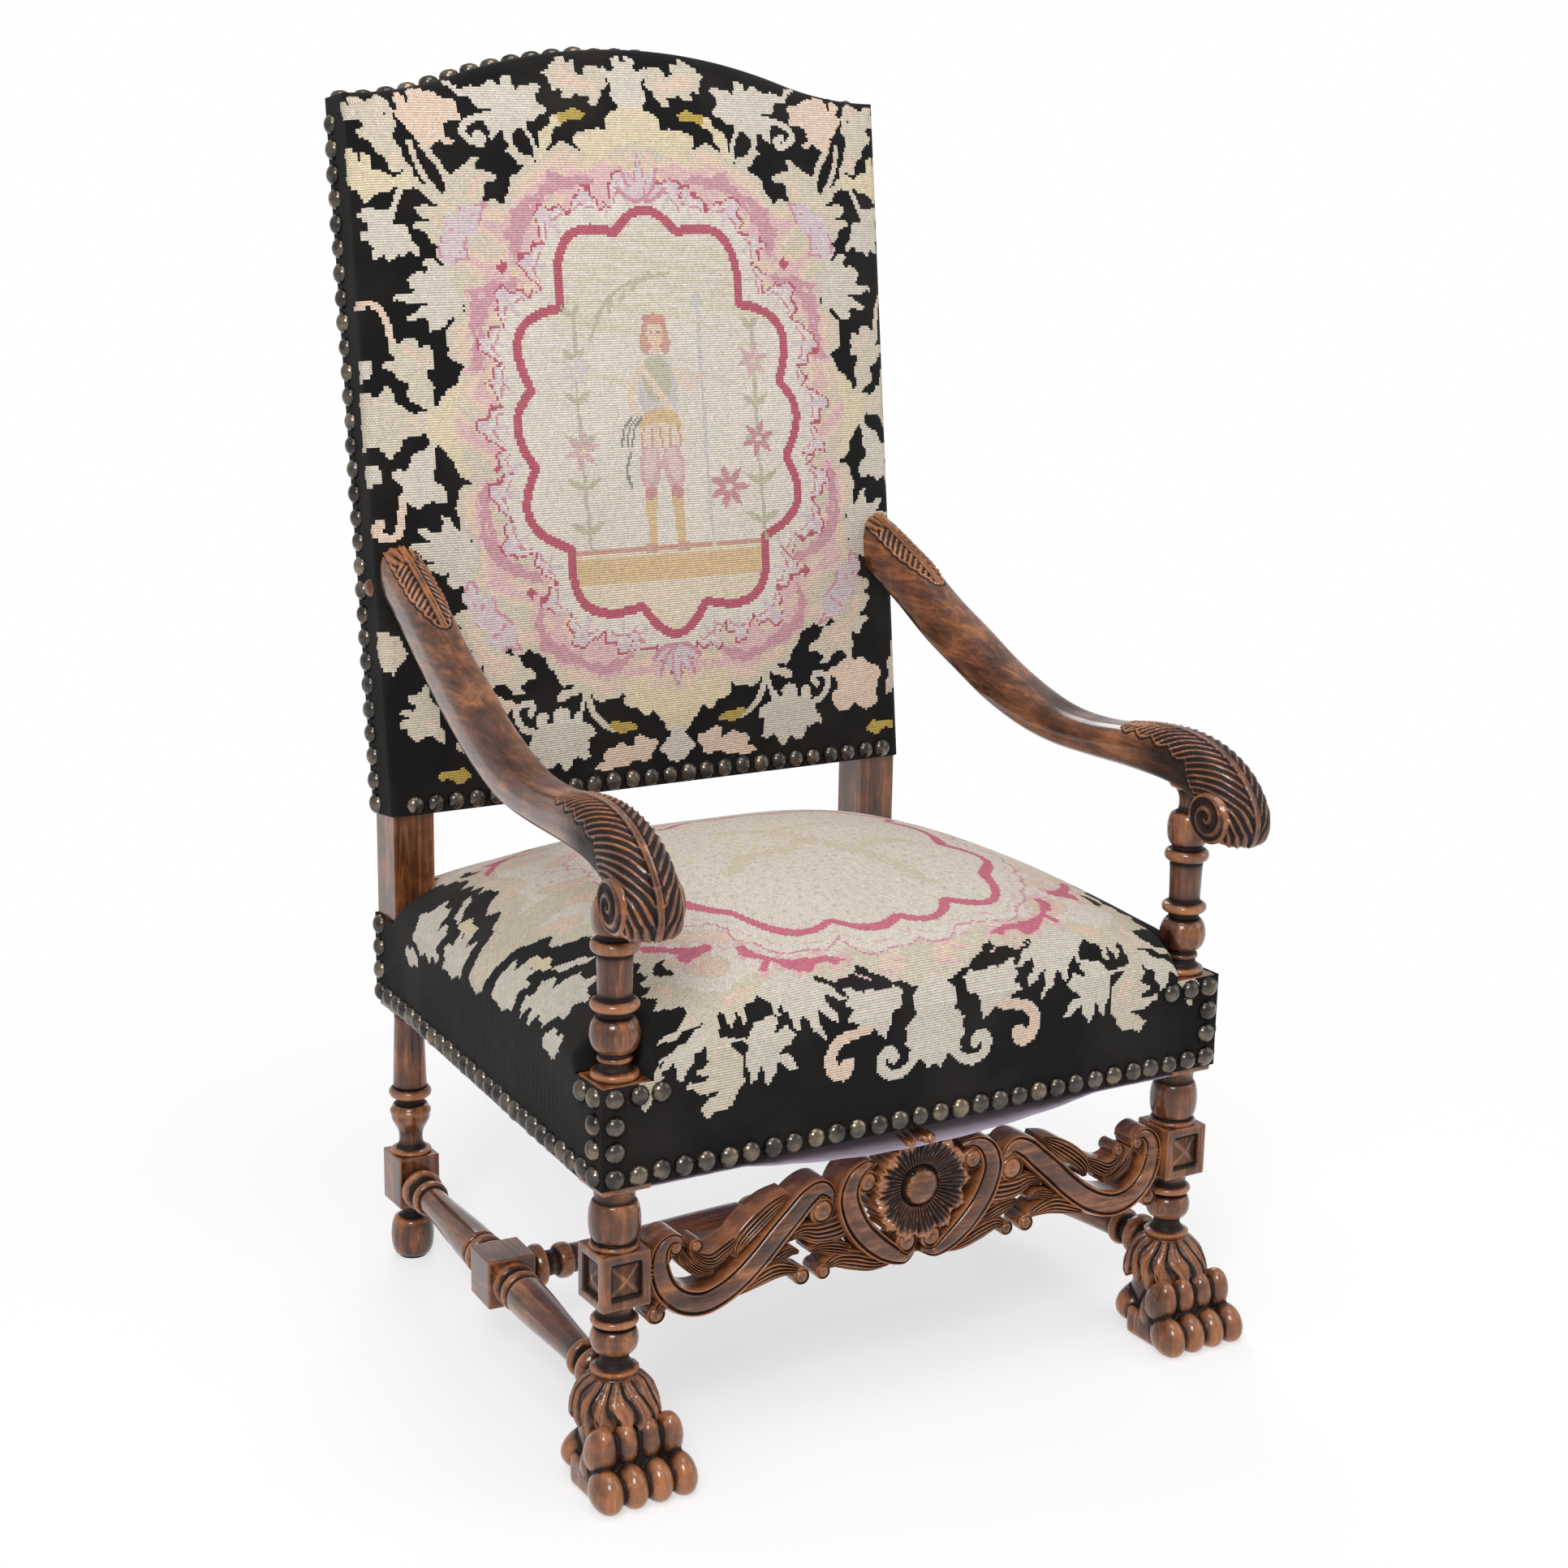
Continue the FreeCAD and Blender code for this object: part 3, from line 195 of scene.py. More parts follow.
room_light = 0.50
room_gleam = 0.35
room = bpy.data.worlds.new("studio_room")
room.use_nodes = True
room.node_tree.nodes.clear()
wire = Wire(room.node_tree)
seen = wire.node("ShaderNodeLightPath", out="Is Camera Ray")
shone = wire.node("ShaderNodeLightPath", out="Is Glossy Ray")
passing = wire.node("ShaderNodeLightPath", out="Is Transmission Ray")
white = seen + passing + room_gleam * shone
wire.node("ShaderNodeOutputWorld", {}, {"Surface": wire.node("ShaderNodeBackground", {}, {
    "Color": (1.0, 1.0, 1.0, 1.0), "Strength": room_light + (1.0 - room_light) * white})})
scene.world = room


# Rear posts: one length of walnut each, turned to a ball foot and a column, left square at the
# low block and the stile, which bends back at the seat and runs up inside the padded back.
SIDES = (("left", -1), ("right", 1))
rear_x = 0.280
rear_y = 0.253834
half_stile = 0.0225
stile_corner = 0.0022
back_low_z = 0.4885
recline = math.radians(6.9)
stile_up = 0.622
stile_low_z = 0.277
stile_rows = (40, 30)
stile_sides = 41
ball_top_z = 0.062
low_block_z = 0.08925
low_block_half = 0.02775
column_ends_z = (0.1165, 0.278)
crease = math.radians(42)
BALL_TURNING = (
    ("start", 0, 14.5), ("swell", 3, 16.5), ("bead", 41, 22.6), ("cove", 5, 10.4), ("cone", 4, 10.4),
    ("cove", 8.5, 19.5))
COLUMN_TURNING = (
    ("start", 0, 17.0), ("bead", 5, 21.4), ("cove", 11, 12.2), ("cone", 4, 12.4), ("swell", 21, 20.4),
    ("swell", 5, 21.6), ("swell", 7, 18.0), ("cone", 1, 14.4), ("cone", 6, 14.4), ("cone", 1, 16.5),
    ("bead", 11, 22.3), ("cone", 2, 17.6), ("cone", 76, 15.3), ("cove", 6, 19.5), ("cone", 4, 19.5))


def turning(steps, length):
    """Distances along a turned length and the radius at each, in metres, from steps of (form, length, radius)
    in millimetres. A bead is half an ellipse out to its radius and back, a cove a quarter circle that flares
    to the wider end, a swell an even S, and a cone straight. The steps are stretched to fill the length."""
    unit = length / sum(step[1] for step in steps)
    distance, radius = 0.0, steps[0][2]
    runs = [np.array([[distance, radius]])]
    for form, rise, size in steps[1:]:
        t = np.linspace(0, 1, max(3, int(rise / 1.1)) + (8 if form == "bead" else 2))
        share = {"bead": np.sqrt(np.clip(1 - (2 * t - 1) ** 2, 0, 1)), "cone": t,
                 "swell": t * t * (3 - 2 * t),
                 "cove": 1 - np.sqrt(1 - t * t) if size > radius else np.sqrt(1 - (1 - t) ** 2)}[form]
        runs.append(np.column_stack([distance + rise * unit * t, radius + (size - radius) * share]))
        distance += rise * unit
        radius = radius if form == "bead" else size
    runs = np.concatenate(runs)
    return runs[:, 0], runs[:, 1] / 1000


def profile_relief(distance, radius, reach=0.006, full=0.0025):
    """How far a profile stands above its own average over a short reach: 1 on ridges, -1 in grooves.
    The walnut paints shade into the grooves from it and a partly painted highlight onto the ridges.
    """
    near = np.exp(-((distance[:, None] - distance[None]) / reach) ** 2)
    gap = np.abs(np.gradient(distance)) + 1e-6
    level = (near * gap * radius).sum(1) / (near * gap).sum(1)
    return np.clip((radius - level) / full, -1, 1)


def spun(steps, start, end, sides=48):
    """A turning spun round the line from start to end and closed to a point at both ends."""
    start, end = np.array(start, float), np.array(end, float)
    way = (end - start) / np.linalg.norm(end - start)
    across = np.cross(way, [0, 0, 1] if abs(way[2]) < 0.9 else [1, 0, 0])
    across = across / np.linalg.norm(across)
    other = np.cross(way, across)
    distance, radius = turning(steps, np.linalg.norm(end - start))
    relief = profile_relief(distance, radius)
    distance = np.concatenate([distance[:1], distance, distance[-1:]])
    radius = np.concatenate([[0], radius, [0]])
    relief = np.concatenate([relief[:1], relief, relief[-1:]])
    angle = np.linspace(0, 2 * np.pi, sides + 1)
    ring = np.cos(angle)[:, None] * across + np.sin(angle)[:, None] * other
    points = start + distance[:, None, None] * way + radius[:, None, None] * ring
    return points, np.repeat(relief[:, None], sides + 1, 1)


def block(centre, half, corner, frame_axes=np.eye(3), panels=(), margin=0.0085, depth=0.0045):
    """A squared block with rounded corners: a cube's six faces, each point
    drawn back to a smaller cube and pushed out again by the corner radius.
    A panelled face is sunk inside its margin and rises to a low pyramid."""
    half = np.array(half, float)
    sheets = []
    for axis in range(3):
        for sign in (-1, 1):
            u, v = [k for k in range(3) if k != axis]
            edge = corner / half[[u, v]]
            steps = [np.concatenate([np.linspace(-1, e - 1, 4), np.linspace(e - 1, 1 - e, 28)[1:-1],
                                     np.linspace(1 - e, 1, 4)]) for e in edge]
            a, b = np.meshgrid(*steps, indexing="ij")
            cube = np.zeros(a.shape + (3,))
            cube[..., axis], cube[..., u], cube[..., v] = sign, a, b
            cube = cube * half
            core = np.clip(cube, corner - half, half - corner)
            lift = cube - core
            points = core + corner * lift / np.linalg.norm(lift, axis=-1, keepdims=True)
            # Relief for the walnut's colour: the edges of each face take the ridge colour, partly real
            # rubbing of the wood and partly painted highlight.
            relief = np.clip(np.maximum(np.abs(a), np.abs(b)) * 6 - 5, 0, 1) * 0.6
            if (axis, sign) in panels:
                inward = np.minimum(half[u] * (1 - np.abs(a)), half[v] * (1 - np.abs(b))) - margin
                slope = np.clip((inward - 0.0024) / (half.min() - margin), 0, 1)
                rise = np.clip(inward / 0.0016, 0, 1) - slope * 0.90
                points[..., axis] -= sign * depth * rise
                from_ridge = half[u] * np.abs(a) - half[v] * np.abs(b)
                ridge = np.exp(-(from_ridge / 0.0011) ** 2) * (inward > 0.002)
                # Painted shade and highlight in a panel: the groove inside the margin and the sunk field
                # darker, the margin's lip and the pyramid's ridges lighter.
                relief = relief - np.exp(-((inward - 0.001) / 0.0014) ** 2)
                relief = relief + 0.5 * np.exp(-(inward / 0.0012) ** 2)
                relief = relief + 0.8 * ridge - 0.25 * (inward > 0.002)
            sheets.append((np.array(centre) + points @ np.array(frame_axes), relief))
    return sheets


def capped(grid, middles):
    """A tube of points closed to a point at both ends: the first and last of its rings' middles."""
    first, last = [np.repeat(middles[k][None], grid.shape[1], 1) for k in (0, -1)]
    return np.concatenate([first, grid, last])


def cells(rows, columns, start=0):
    """The four corner numbers of every cell of a grid of points, counted row by row from a start."""
    index = start + np.arange(rows * columns).reshape(rows, columns)
    return np.stack([index[:-1, :-1], index[:-1, 1:], index[1:, 1:], index[1:, :-1]], -1).reshape(-1, 4)


def quad_mesh(name, points, faces):
    """A mesh from points and from faces of four points each."""
    mesh = bpy.data.meshes.new(name)
    mesh.vertices.add(len(points))
    mesh.vertices.foreach_set("co", points.ravel())
    mesh.loops.add(faces.size)
    mesh.loops.foreach_set("vertex_index", faces.ravel())
    mesh.polygons.add(len(faces))
    mesh.polygons.foreach_set("loop_start", np.arange(0, faces.size, 4))
    mesh.update(calc_edges=True)
    return mesh


def assemble(name, sheets):
    """One object from sheets of (points, relief): each cell of a sheet's grid is a face, points that meet are
    merged, which closes seams and poles, and the faces are turned outwards."""
    faces, start = [], 0
    for points, relief in sheets:
        faces.append(cells(*points.shape[:2], start=start))
        start += points.shape[0] * points.shape[1]
    mesh = quad_mesh(name, np.concatenate([p.reshape(-1, 3) for p, r in sheets]), np.concatenate(faces))
    relief = np.concatenate([np.broadcast_to(r, p.shape[:2]).ravel() for p, r in sheets])
    mesh.attributes.new("relief", "FLOAT", "POINT").data.foreach_set("value", relief)
    shell = bmesh.new()
    shell.from_mesh(mesh)
    bmesh.ops.remove_doubles(shell, verts=shell.verts, dist=1e-6)
    bmesh.ops.recalc_face_normals(shell, faces=shell.faces)
    shell.to_mesh(mesh)
    shell.free()
    mesh.shade_smooth()
    mesh.set_sharp_from_angle(angle=crease)
    return placed(name, mesh)


def material(name, fixed):
    """A new material: its Principled shader with some fixed values, and a wire to add nodes from."""
    paint = bpy.data.materials.new(name)
    paint.use_nodes = True
    shader = paint.node_tree.nodes["Principled BSDF"]
    for socket, value in fixed.items():
        shader.inputs[socket].default_value = value
    return paint, shader, Wire(paint.node_tree)


def walnut(name, grain):
    """Old waxed walnut whose grain runs along one axis: broad patches of
    tone and fine streaks, short dark pores, near-black painted shade in the hollows,
    a golden brown on the ridges that is partly real rubbing of the wood and partly painted highlight, and the
    pores again in the bump."""
    paint, shader, wire = material(name, {"Coat Roughness": 0.10, "Specular IOR Level": 0.20})
    stretch, pore_stretch = [95.0, 95.0, 95.0], [900.0, 900.0, 900.0]
    stretch["xyz".index(grain)], pore_stretch["xyz".index(grain)] = 8.0, 55.0
    place = wire.where()
    along = wire.node("ShaderNodeMapping", {}, {"Vector": place, "Scale": stretch})
    streak = wire.noise(along, 1.0, 6.0, Roughness=0.62, Distortion=0.6)
    fine = wire.node("ShaderNodeMapping", {}, {"Vector": place, "Scale": pore_stretch})
    pore = wire.noise(fine, 1.0, 2.0).above(0.54, 0.68)
    patch = wire.noise(place, 24.0, 5.0, Roughness=0.6)
    relief = wire.node("ShaderNodeAttribute", {"attribute_name": "relief"}, out="Fac")
    tone = 0.62 * streak + 0.38 * patch
    wood = wire.node("ShaderNodeValToRGB", {"stops": [
        (0.35, (0.014, 0.0048, 0.0026)), (0.65, (0.360, 0.130, 0.045)), (0.50, (0.115, 0.036, 0.0140))]},
                     {0: tone})
    hollow = (relief * -1.0).above(0.0, 0.42)
    ridge_rub_and_highlight = (relief + 0.6 * (patch - 0.5)).above(0.14, 0.90)
    wood = (0.55 * pore).mix(wood, (0.018, 0.0085, 0.0055, 1.0))
    # Painted shade: the hollows go near-black.
    wood = (0.94 * hollow).mix(wood, (0.0070, 0.0045, 0.0042, 1.0))
    # Ridge colour: partly real rubbing of the wood, partly painted highlight.
    wood = (0.50 * ridge_rub_and_highlight).mix(wood, (0.54, 0.215, 0.082, 1.0))
    wood.into(shader, "Base Color")
    (0.20 + 0.16 * streak + 0.10 * pore + 0.28 * hollow).into(shader, "Roughness")
    (streak - 0.5 * pore).bump(0.20, 0.0005).into(shader, "Normal")
    (0.80 - 0.78 * hollow).into(shader, "Coat Weight")
    return paint


upright_walnut = walnut("upright_walnut", "z")
for name, side in SIDES:
    x = side * rear_x
    bend_z = back_low_z - half_stile * math.tan(recline / 2)
    heights = np.concatenate([np.linspace(stile_low_z, bend_z, stile_rows[0]),
                              np.linspace(bend_z, bend_z + stile_up, stile_rows[1])[1:]])
    over = np.clip(heights - bend_z, 0, None)
    middle = np.stack([np.full_like(over, x), rear_y + over * math.sin(recline),
                       np.minimum(heights, bend_z) + over * math.cos(recline)], -1)
    lean = np.where(over > 0, recline, 0)
    lean[np.argmax(over > 0) - 1] = recline / 2
    angle = np.linspace(0, 2 * np.pi, stile_sides)
    corner_fill = np.maximum(np.abs(np.cos(angle)), np.abs(np.sin(angle)))
    ring = np.stack([np.cos(angle), np.sin(angle)], -1) / corner_fill[:, None] * half_stile
    inner = half_stile - stile_corner
    core = np.clip(ring, -inner, inner)
    ring = core + np.clip(ring - core, -stile_corner, stile_corner) * 0.8
    back_axis = np.stack([np.zeros_like(lean), np.cos(lean), -np.sin(lean)], -1)
    across = ring[None, :, :1] * np.array([1.0, 0, 0])
    stile = middle[:, None] + across + ring[None, :, 1:] * back_axis[:, None]
    stile = capped(stile, middle[:, None])
    # The rounded corners count as half raised and take the walnut's ridge colour: partly real rubbing of the
    # wood, partly painted highlight.
    stile_edge_rub_and_highlight = np.repeat((corner_fill[None] < 0.75) * 0.5, len(stile), 0)
    column_low, column_top = [(x, rear_y, z) for z in column_ends_z]
    sheets = [spun(BALL_TURNING, (x, rear_y, 0), (x, rear_y, ball_top_z)),
              spun(COLUMN_TURNING, column_low, column_top), (stile, stile_edge_rub_and_highlight)]
    sheets += block((x, rear_y, low_block_z), (half_stile, half_stile, low_block_half), 0.002)
    post = assemble(name + "_rear_post_wood", sheets)
    post.data.materials.append(upright_walnut)
    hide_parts(name + "_rear_post")
    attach(post, "root")


# Front posts: one length of walnut each, with a turned leg, a block sunk with pyramid panels, a
# bulb, the square seat block and a turned arm support. The paw foot is pegged on below.
front_x = 0.3115
front_y = -0.271166
half_stock = 0.024
foot_top_z = 0.096
arm_underside_z = 0.563
panel_block_z = (0.168, 0.220)
seat_block_z = (0.277, 0.376)
lap = 0.001
LEG_TURNING = (
    ("start", 0, 20.3), ("bead", 5, 21.2), ("cone", 1, 20.6), ("swell", 4, 22.2), ("cone", 1, 20.6),
    ("cove", 10, 13.0), ("cone", 3, 12.6), ("cone", 0.6, 14.0), ("bead", 24, 21.9), ("cone", 0.8, 16.8),
    ("bead", 8, 21.7), ("cone", 0.8, 16.2), ("cove", 11, 20.5), ("cone", 2, 20.5))
BULB_TURNING = (
    ("start", 0, 19.0), ("bead", 6, 22.8), ("cone", 1, 18.4), ("bead", 36, 23.4), ("cone", 1, 18.2),
    ("cone", 2, 18.2), ("cove", 8, 21.0), ("cone", 3, 21.0))
SUPPORT_TURNING = (
    ("start", 0, 18.5), ("bead", 7, 21.9), ("cove", 6, 13.8), ("cone", 1.6, 13.8), ("bead", 5, 15.9),
    ("cone", 1, 13.6), ("cone", 2, 13.6), ("bead", 30, 22.4), ("cone", 1, 14.8), ("cone", 3.5, 14.8),
    ("cone", 1, 16.8), ("bead", 9.5, 21.9), ("cone", 1.2, 15.1), ("cone", 37, 16.2), ("cone", 1, 17.0),
    ("bead", 11, 21.7), ("cone", 1, 15.0), ("cone", 2.5, 14.6), ("bead", 31, 20.5), ("cove", 4, 10.4),
    ("cone", 5, 10.2), ("cove", 15, 19.0), ("bead", 4, 20.4))

for name, side in SIDES:
    x = side * front_x
    levels = (foot_top_z - 2 * lap, panel_block_z[0] + lap, panel_block_z[1] - lap, seat_block_z[0] + lap,
              seat_block_z[1] - lap / 2, arm_underside_z + 4 * lap)
    axis = [(x, front_y, z) for z in levels]
    sheets = [spun(LEG_TURNING, axis[0], axis[1]), spun(BULB_TURNING, axis[2], axis[3]),
              spun(SUPPORT_TURNING, axis[4], axis[5])]
    outer = (0, side)
    for (low, high), panels in ((panel_block_z, ((1, -1), outer)), (seat_block_z, ())):
        half = (half_stock, half_stock, (high - low) / 2)
        sheets += block((x, front_y, (low + high) / 2), half, 0.0018, panels=panels)
    post = assemble(name + "_front_post_wood", sheets)
    post.data.materials.append(upright_walnut)
    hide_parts(name + "_front_post")
    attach(post, "root")


# Paw feet: carved walnut, four toes with a knuckle and a tip each, a rounded heel and a collar
# of hair locks round the ankle. The leg's peg is glued into the top.
toe_lanes = (-0.0365, -0.0122, 0.0122, 0.0365)
toe_taper = 0.14
paw_grain = 0.0013
egg_rows = 25
egg_sides = 33
TOE = (
    ((0.90, -0.0375, 0.0480), (0.0143, 0.0180, 0.0235), 20),
    ((1.0, -0.0555, 0.0185), (0.0145, 0.0220, 0.0190), 18))
PAW_BODY = (
    ((0, -0.002, 0.040), (0.0335, 0.0315, 0.056), 0), ((0, 0.013, 0.0235), (0.0455, 0.0250, 0.0240), 0),
    ((0, -0.026, 0.030), (0.0460, 0.0260, 0.0330), 0))
SHANK = (
    ("start", 0, 24), ("swell", 4, 33), ("cone", 12, 36), ("swell", 26, 25.5), ("cone", 14, 24.5),
    ("swell", 30, 21.5), ("cone", 10, 20.5))
hair_locks = 15
hair_rows = 46
hair_sides = 241
hair_top = 0.0985
hair_bore = 0.012
shank_low = 0.003
pad_y = -0.026
pad_z = 0.0155
pad_half = (0.044, 0.030, 0.0148)
pad_corner = 0.006


def egg(place, radii, tilt, taper=0.0):
    """An ellipsoid turned about the x axis: a sphere's two angles on a grid,
    stretched by three radii and drawn in towards its top by a taper."""
    up, round_ = np.meshgrid(np.linspace(-np.pi / 2, np.pi / 2, egg_rows),
                             np.linspace(0, 2 * np.pi, egg_sides),
                             indexing="ij")
    ball = np.stack([np.cos(up) * np.cos(round_), np.cos(up) * np.sin(round_), np.sin(up)], -1)
    ball = ball * np.array(radii)
    ball[..., :2] *= (1 - taper * np.sin(up))[..., None]
    c, s = math.cos(math.radians(tilt)), math.sin(math.radians(tilt))
    return np.array(place) + ball @ np.array([[1, 0, 0], [0, c, s], [0, -s, c]]), 0.0


def hair_collar(x):
    """Locks of hair round the ankle: a bell whose radius and lower edge ripple with the angle, and
    whose strands lean to and fro on the way down. The sheet goes down outside and returns inside."""
    t, angle = np.meshgrid(np.linspace(0, 1, hair_rows), np.linspace(0, 2 * np.pi, hair_sides), indexing="ij")
    lock = angle * hair_locks + 0.9 * np.sin(2 * angle) + 1.5 * np.sin(5.0 * t + 1.3 * np.sin(3 * angle))
    low = 0.0690 - 0.0170 * np.sin(0.5 * lock) ** 2 * (1 + 0.4 * np.sin(3.7 * angle))
    z = hair_top + (low - hair_top) * t
    bell = np.interp(t, [0, 0.12, 0.35, 0.65, 0.88, 1.0], [0.0210, 0.0270, 0.0335, 0.0378, 0.0392, 0.0374])
    strand = np.abs(np.sin(0.5 * lock)) ** 0.6 + 0.35 * np.abs(np.sin(1.5 * lock + 2.0 * t)) ** 0.8
    radius = bell + (0.0048 * strand - 0.0030) * np.sin(np.pi * np.clip(t * 0.93 + 0.07, 0, 1)) ** 0.5
    front = np.clip(-np.sin(angle), 0, 1)
    outer = np.stack([x + radius * np.cos(angle), front_y + radius * np.sin(angle) - 0.008 * front * t, z],
                     -1)
    bore_x, bore_y = x + hair_bore * np.cos(angle[0]), front_y + hair_bore * np.sin(angle[0])
    inner = np.stack([bore_x, bore_y, z[-1] + hair_bore], -1)
    top = np.stack([bore_x, bore_y, z[0]], -1)
    # Relief for the walnut's colour: painted shade in the grooves between strands and the ridge colour on
    # their crests.
    relief_shading = np.clip(2.0 * strand - 1.75, -1, 0.7)
    sheet = np.concatenate([top[None], outer, inner[None], top[None]])
    return sheet, np.concatenate([relief_shading[:1], relief_shading, relief_shading[-1:], relief_shading[:1]])


def numbers(items, name, kind=float, width=3):
    """One value of every point, edge or normal of a mesh, as rows of numbers."""
    values = np.empty(width * len(items), kind)
    items.foreach_get(name, values)
    return values.reshape(-1, width)


def carved_depth(mesh, rounds, full):
    """Relief of a carved mesh: each point's height over a copy whose points were drawn to
    their neighbours' average for some rounds, as a share of the height that counts as full."""
    count = len(mesh.vertices)
    a, b = numbers(mesh.edges, "vertices", int, 2).T
    points, normals = numbers(mesh.vertices, "co"), numbers(mesh.vertex_normals, "vector")
    degree = np.bincount(a, minlength=count) + np.bincount(b, minlength=count)
    even = points
    for _ in range(rounds):
        even = np.stack([np.bincount(a, even[b, k], count) + np.bincount(b, even[a, k], count)
                         for k in range(3)], -1) / degree[:, None]
    return np.clip(((points - even) * normals).sum(1) / full, -1, 1)


def melted(name, sheets, grain):
    """Overlapping closed sheets made into one carved skin by a voxel remesh, smoothed a little, as a mesh."""
    rough = assemble(name, sheets)
    voxel = rough.modifiers.new("carve", "REMESH")
    voxel.mode = "VOXEL"
    voxel.voxel_size = grain
    ease = rough.modifiers.new("ease", "SMOOTH")
    ease.factor = 0.5
    ease.iterations = 2
    skin = bpy.data.meshes.new_from_object(rough.evaluated_get(bpy.context.evaluated_depsgraph_get()))
    rough_mesh = rough.data
    bpy.data.objects.remove(rough)
    bpy.data.meshes.remove(rough_mesh)
    return skin


for name, side in SIDES:
    x = side * front_x
    lumps = [spun(SHANK, (x, front_y, shank_low), (x, front_y, foot_top_z))]
    for lane in toe_lanes:
        for (share, y, z), radii, tilt in TOE:
            lumps.append(egg((x + share * lane, front_y + y, z), radii, tilt, toe_taper))
    for (lane, y, z), radii, tilt in PAW_BODY:
        lumps.append(egg((x + lane, front_y + y, z), radii, tilt))
    lumps += block((x, front_y + pad_y, pad_z), pad_half, pad_corner)
    skin = melted(name + "_paw_skin", lumps, paw_grain)
    spots = numbers(skin.vertices, "co")
    spots[:, 2] = np.maximum(spots[:, 2], 0)
    skin.vertices.foreach_set("co", spots.ravel())
    skin.update()
    # Relief for the walnut's colour, lowered towards the top of the paw so that part comes out darker:
    # painted shade in the hollows, the ridge colour on the knuckles.
    relief_shading = carved_depth(skin, 24, 0.0013) - 0.30 * np.clip((spots[:, 2] - 0.030) / 0.03, 0, 1)
    if "relief" not in skin.attributes:
        skin.attributes.new("relief", "FLOAT", "POINT")
    skin.attributes["relief"].data.foreach_set("value", relief_shading)
    skin.shade_smooth()
    paw = placed(name + "_paw_foot_wood", skin)
    locks = assemble(name + "_paw_hair_locks", [hair_collar(x)])
    for carved in (paw, locks):
        carved.data.materials.append(upright_walnut)
        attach(carved, "root")
    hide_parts(name + "_paw_foot")


# Low stretchers: turned walnut, a square block at mid length of each side one, where the cross
# stretcher is pegged in. Their round tenons go into the feet and the rear blocks.
stretcher_z = 0.084
stretcher_block = 0.0245
front_shoulder = 0.0255
paw_ankle = 0.0275
STRETCHER_TURNING = (
    ("start", 0, 13.0), ("swell", 7, 20.6), ("bead", 6, 21.6), ("cove", 7, 12.6), ("cone", 5, 12.6),
    ("cone", 1, 15.2), ("bead", 9, 19.2), ("cone", 1, 14.6), ("swell", 112, 20.0), ("swell", 5, 15.2),
    ("cone", 1, 16.4), ("bead", 9, 21.0), ("cone", 1, 15.6), ("cove", 8, 21.5), ("cone", 6, 21.5))
CROSS_TURNING = (
    ("start", 0, 14.0), ("swell", 7, 20.6), ("bead", 6, 21.4), ("cove", 7, 12.6), ("cone", 5, 12.6),
    ("cone", 1, 15.0), ("bead", 11, 18.0), ("cone", 1, 14.5), ("swell", 150, 19.0), ("swell", 4, 15.0),
    ("bead", 20, 23.0), ("cone", 0.5, 15.0))

lengthwise_walnut = walnut("lengthwise_walnut", "y")
crosswise_walnut = walnut("crosswise_walnut", "x")
for name, side in SIDES:
    front = np.array([side * front_x, front_y, stretcher_z])
    rear = np.array([side * rear_x, rear_y, stretcher_z])
    way = (rear - front) / np.linalg.norm(rear - front)
    rear_run = np.linalg.norm(rear - front) * (rear_y - half_stile - front_y) / (rear_y - front_y)
    middle = front + way * (paw_ankle + rear_run) / 2
    sheets = [spun(STRETCHER_TURNING, front + way * front_shoulder, middle - way * (stretcher_block - lap)),
              spun(STRETCHER_TURNING, front + way * (rear_run + 2 * lap),
                   middle + way * (stretcher_block - lap))]
    sheets += block(middle, (stretcher_block,) * 3, 0.002,
                    frame_axes=[np.cross(way, [0, 0, 1]), way, [0, 0, 1]])
    bar = assemble(name + "_side_stretcher_wood", sheets)
    bar.data.materials.append(lengthwise_walnut)
    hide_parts(name + "_side_stretcher")
    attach(bar, "root")

cross_end = abs(middle[0]) - stretcher_block + lap
bar = assemble("cross_stretcher_wood", [spun(CROSS_TURNING, (side * cross_end, middle[1], stretcher_z),
                                             (side * -lap / 2, middle[1], stretcher_z)) for side in (-1, 1)])
bar.data.materials.append(crosswise_walnut)
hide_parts("cross_stretcher")
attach(bar, "root")


# Front stretcher: one pierced and carved walnut board, tenoned into the leg blocks. Two S-scrolls
# and two C-scrolls with raised rims and round eyes, leaves between them, and a shell rosette.
board_front = front_y - 0.011
board_back = front_y + 0.013
rosette_back = board_back - 0.004
rosette_z = 0.2185
rosette_rings = 53
rosette_sides = 433
boss_radius = 16.5
shaded_dish_ring = (0.0175, 0.044)
band_points = 37
eye_sides = 24
KEY_BLOCK = ((0, front_y + 0.004, 0.160), (0.016, 0.009, 0.014), 0.003)
S_SCROLL = (
    (94, 217, 3), (97, 229, 11), (108, 237.5, 19), (122, 232, 24), (137, 218.5, 26), (155, 202, 27),
    (173, 184.5, 27), (192, 169, 27), (212, 158, 27), (232, 153.5, 27), (252, 159, 26), (267.5, 173.5, 25),
    (275, 193, 23), (274, 210, 18), (265, 220, 13), (255, 218, 9), (252, 211, 5))
C_SCROLL = (
    (48, 249, 5), (62, 251, 13), (75, 241, 21), (80, 224, 25), (75, 205, 27), (65, 187.5, 27),
    (50, 171.5, 26), (33, 158.5, 22), (17, 150.5, 12), (4, 153, 5))
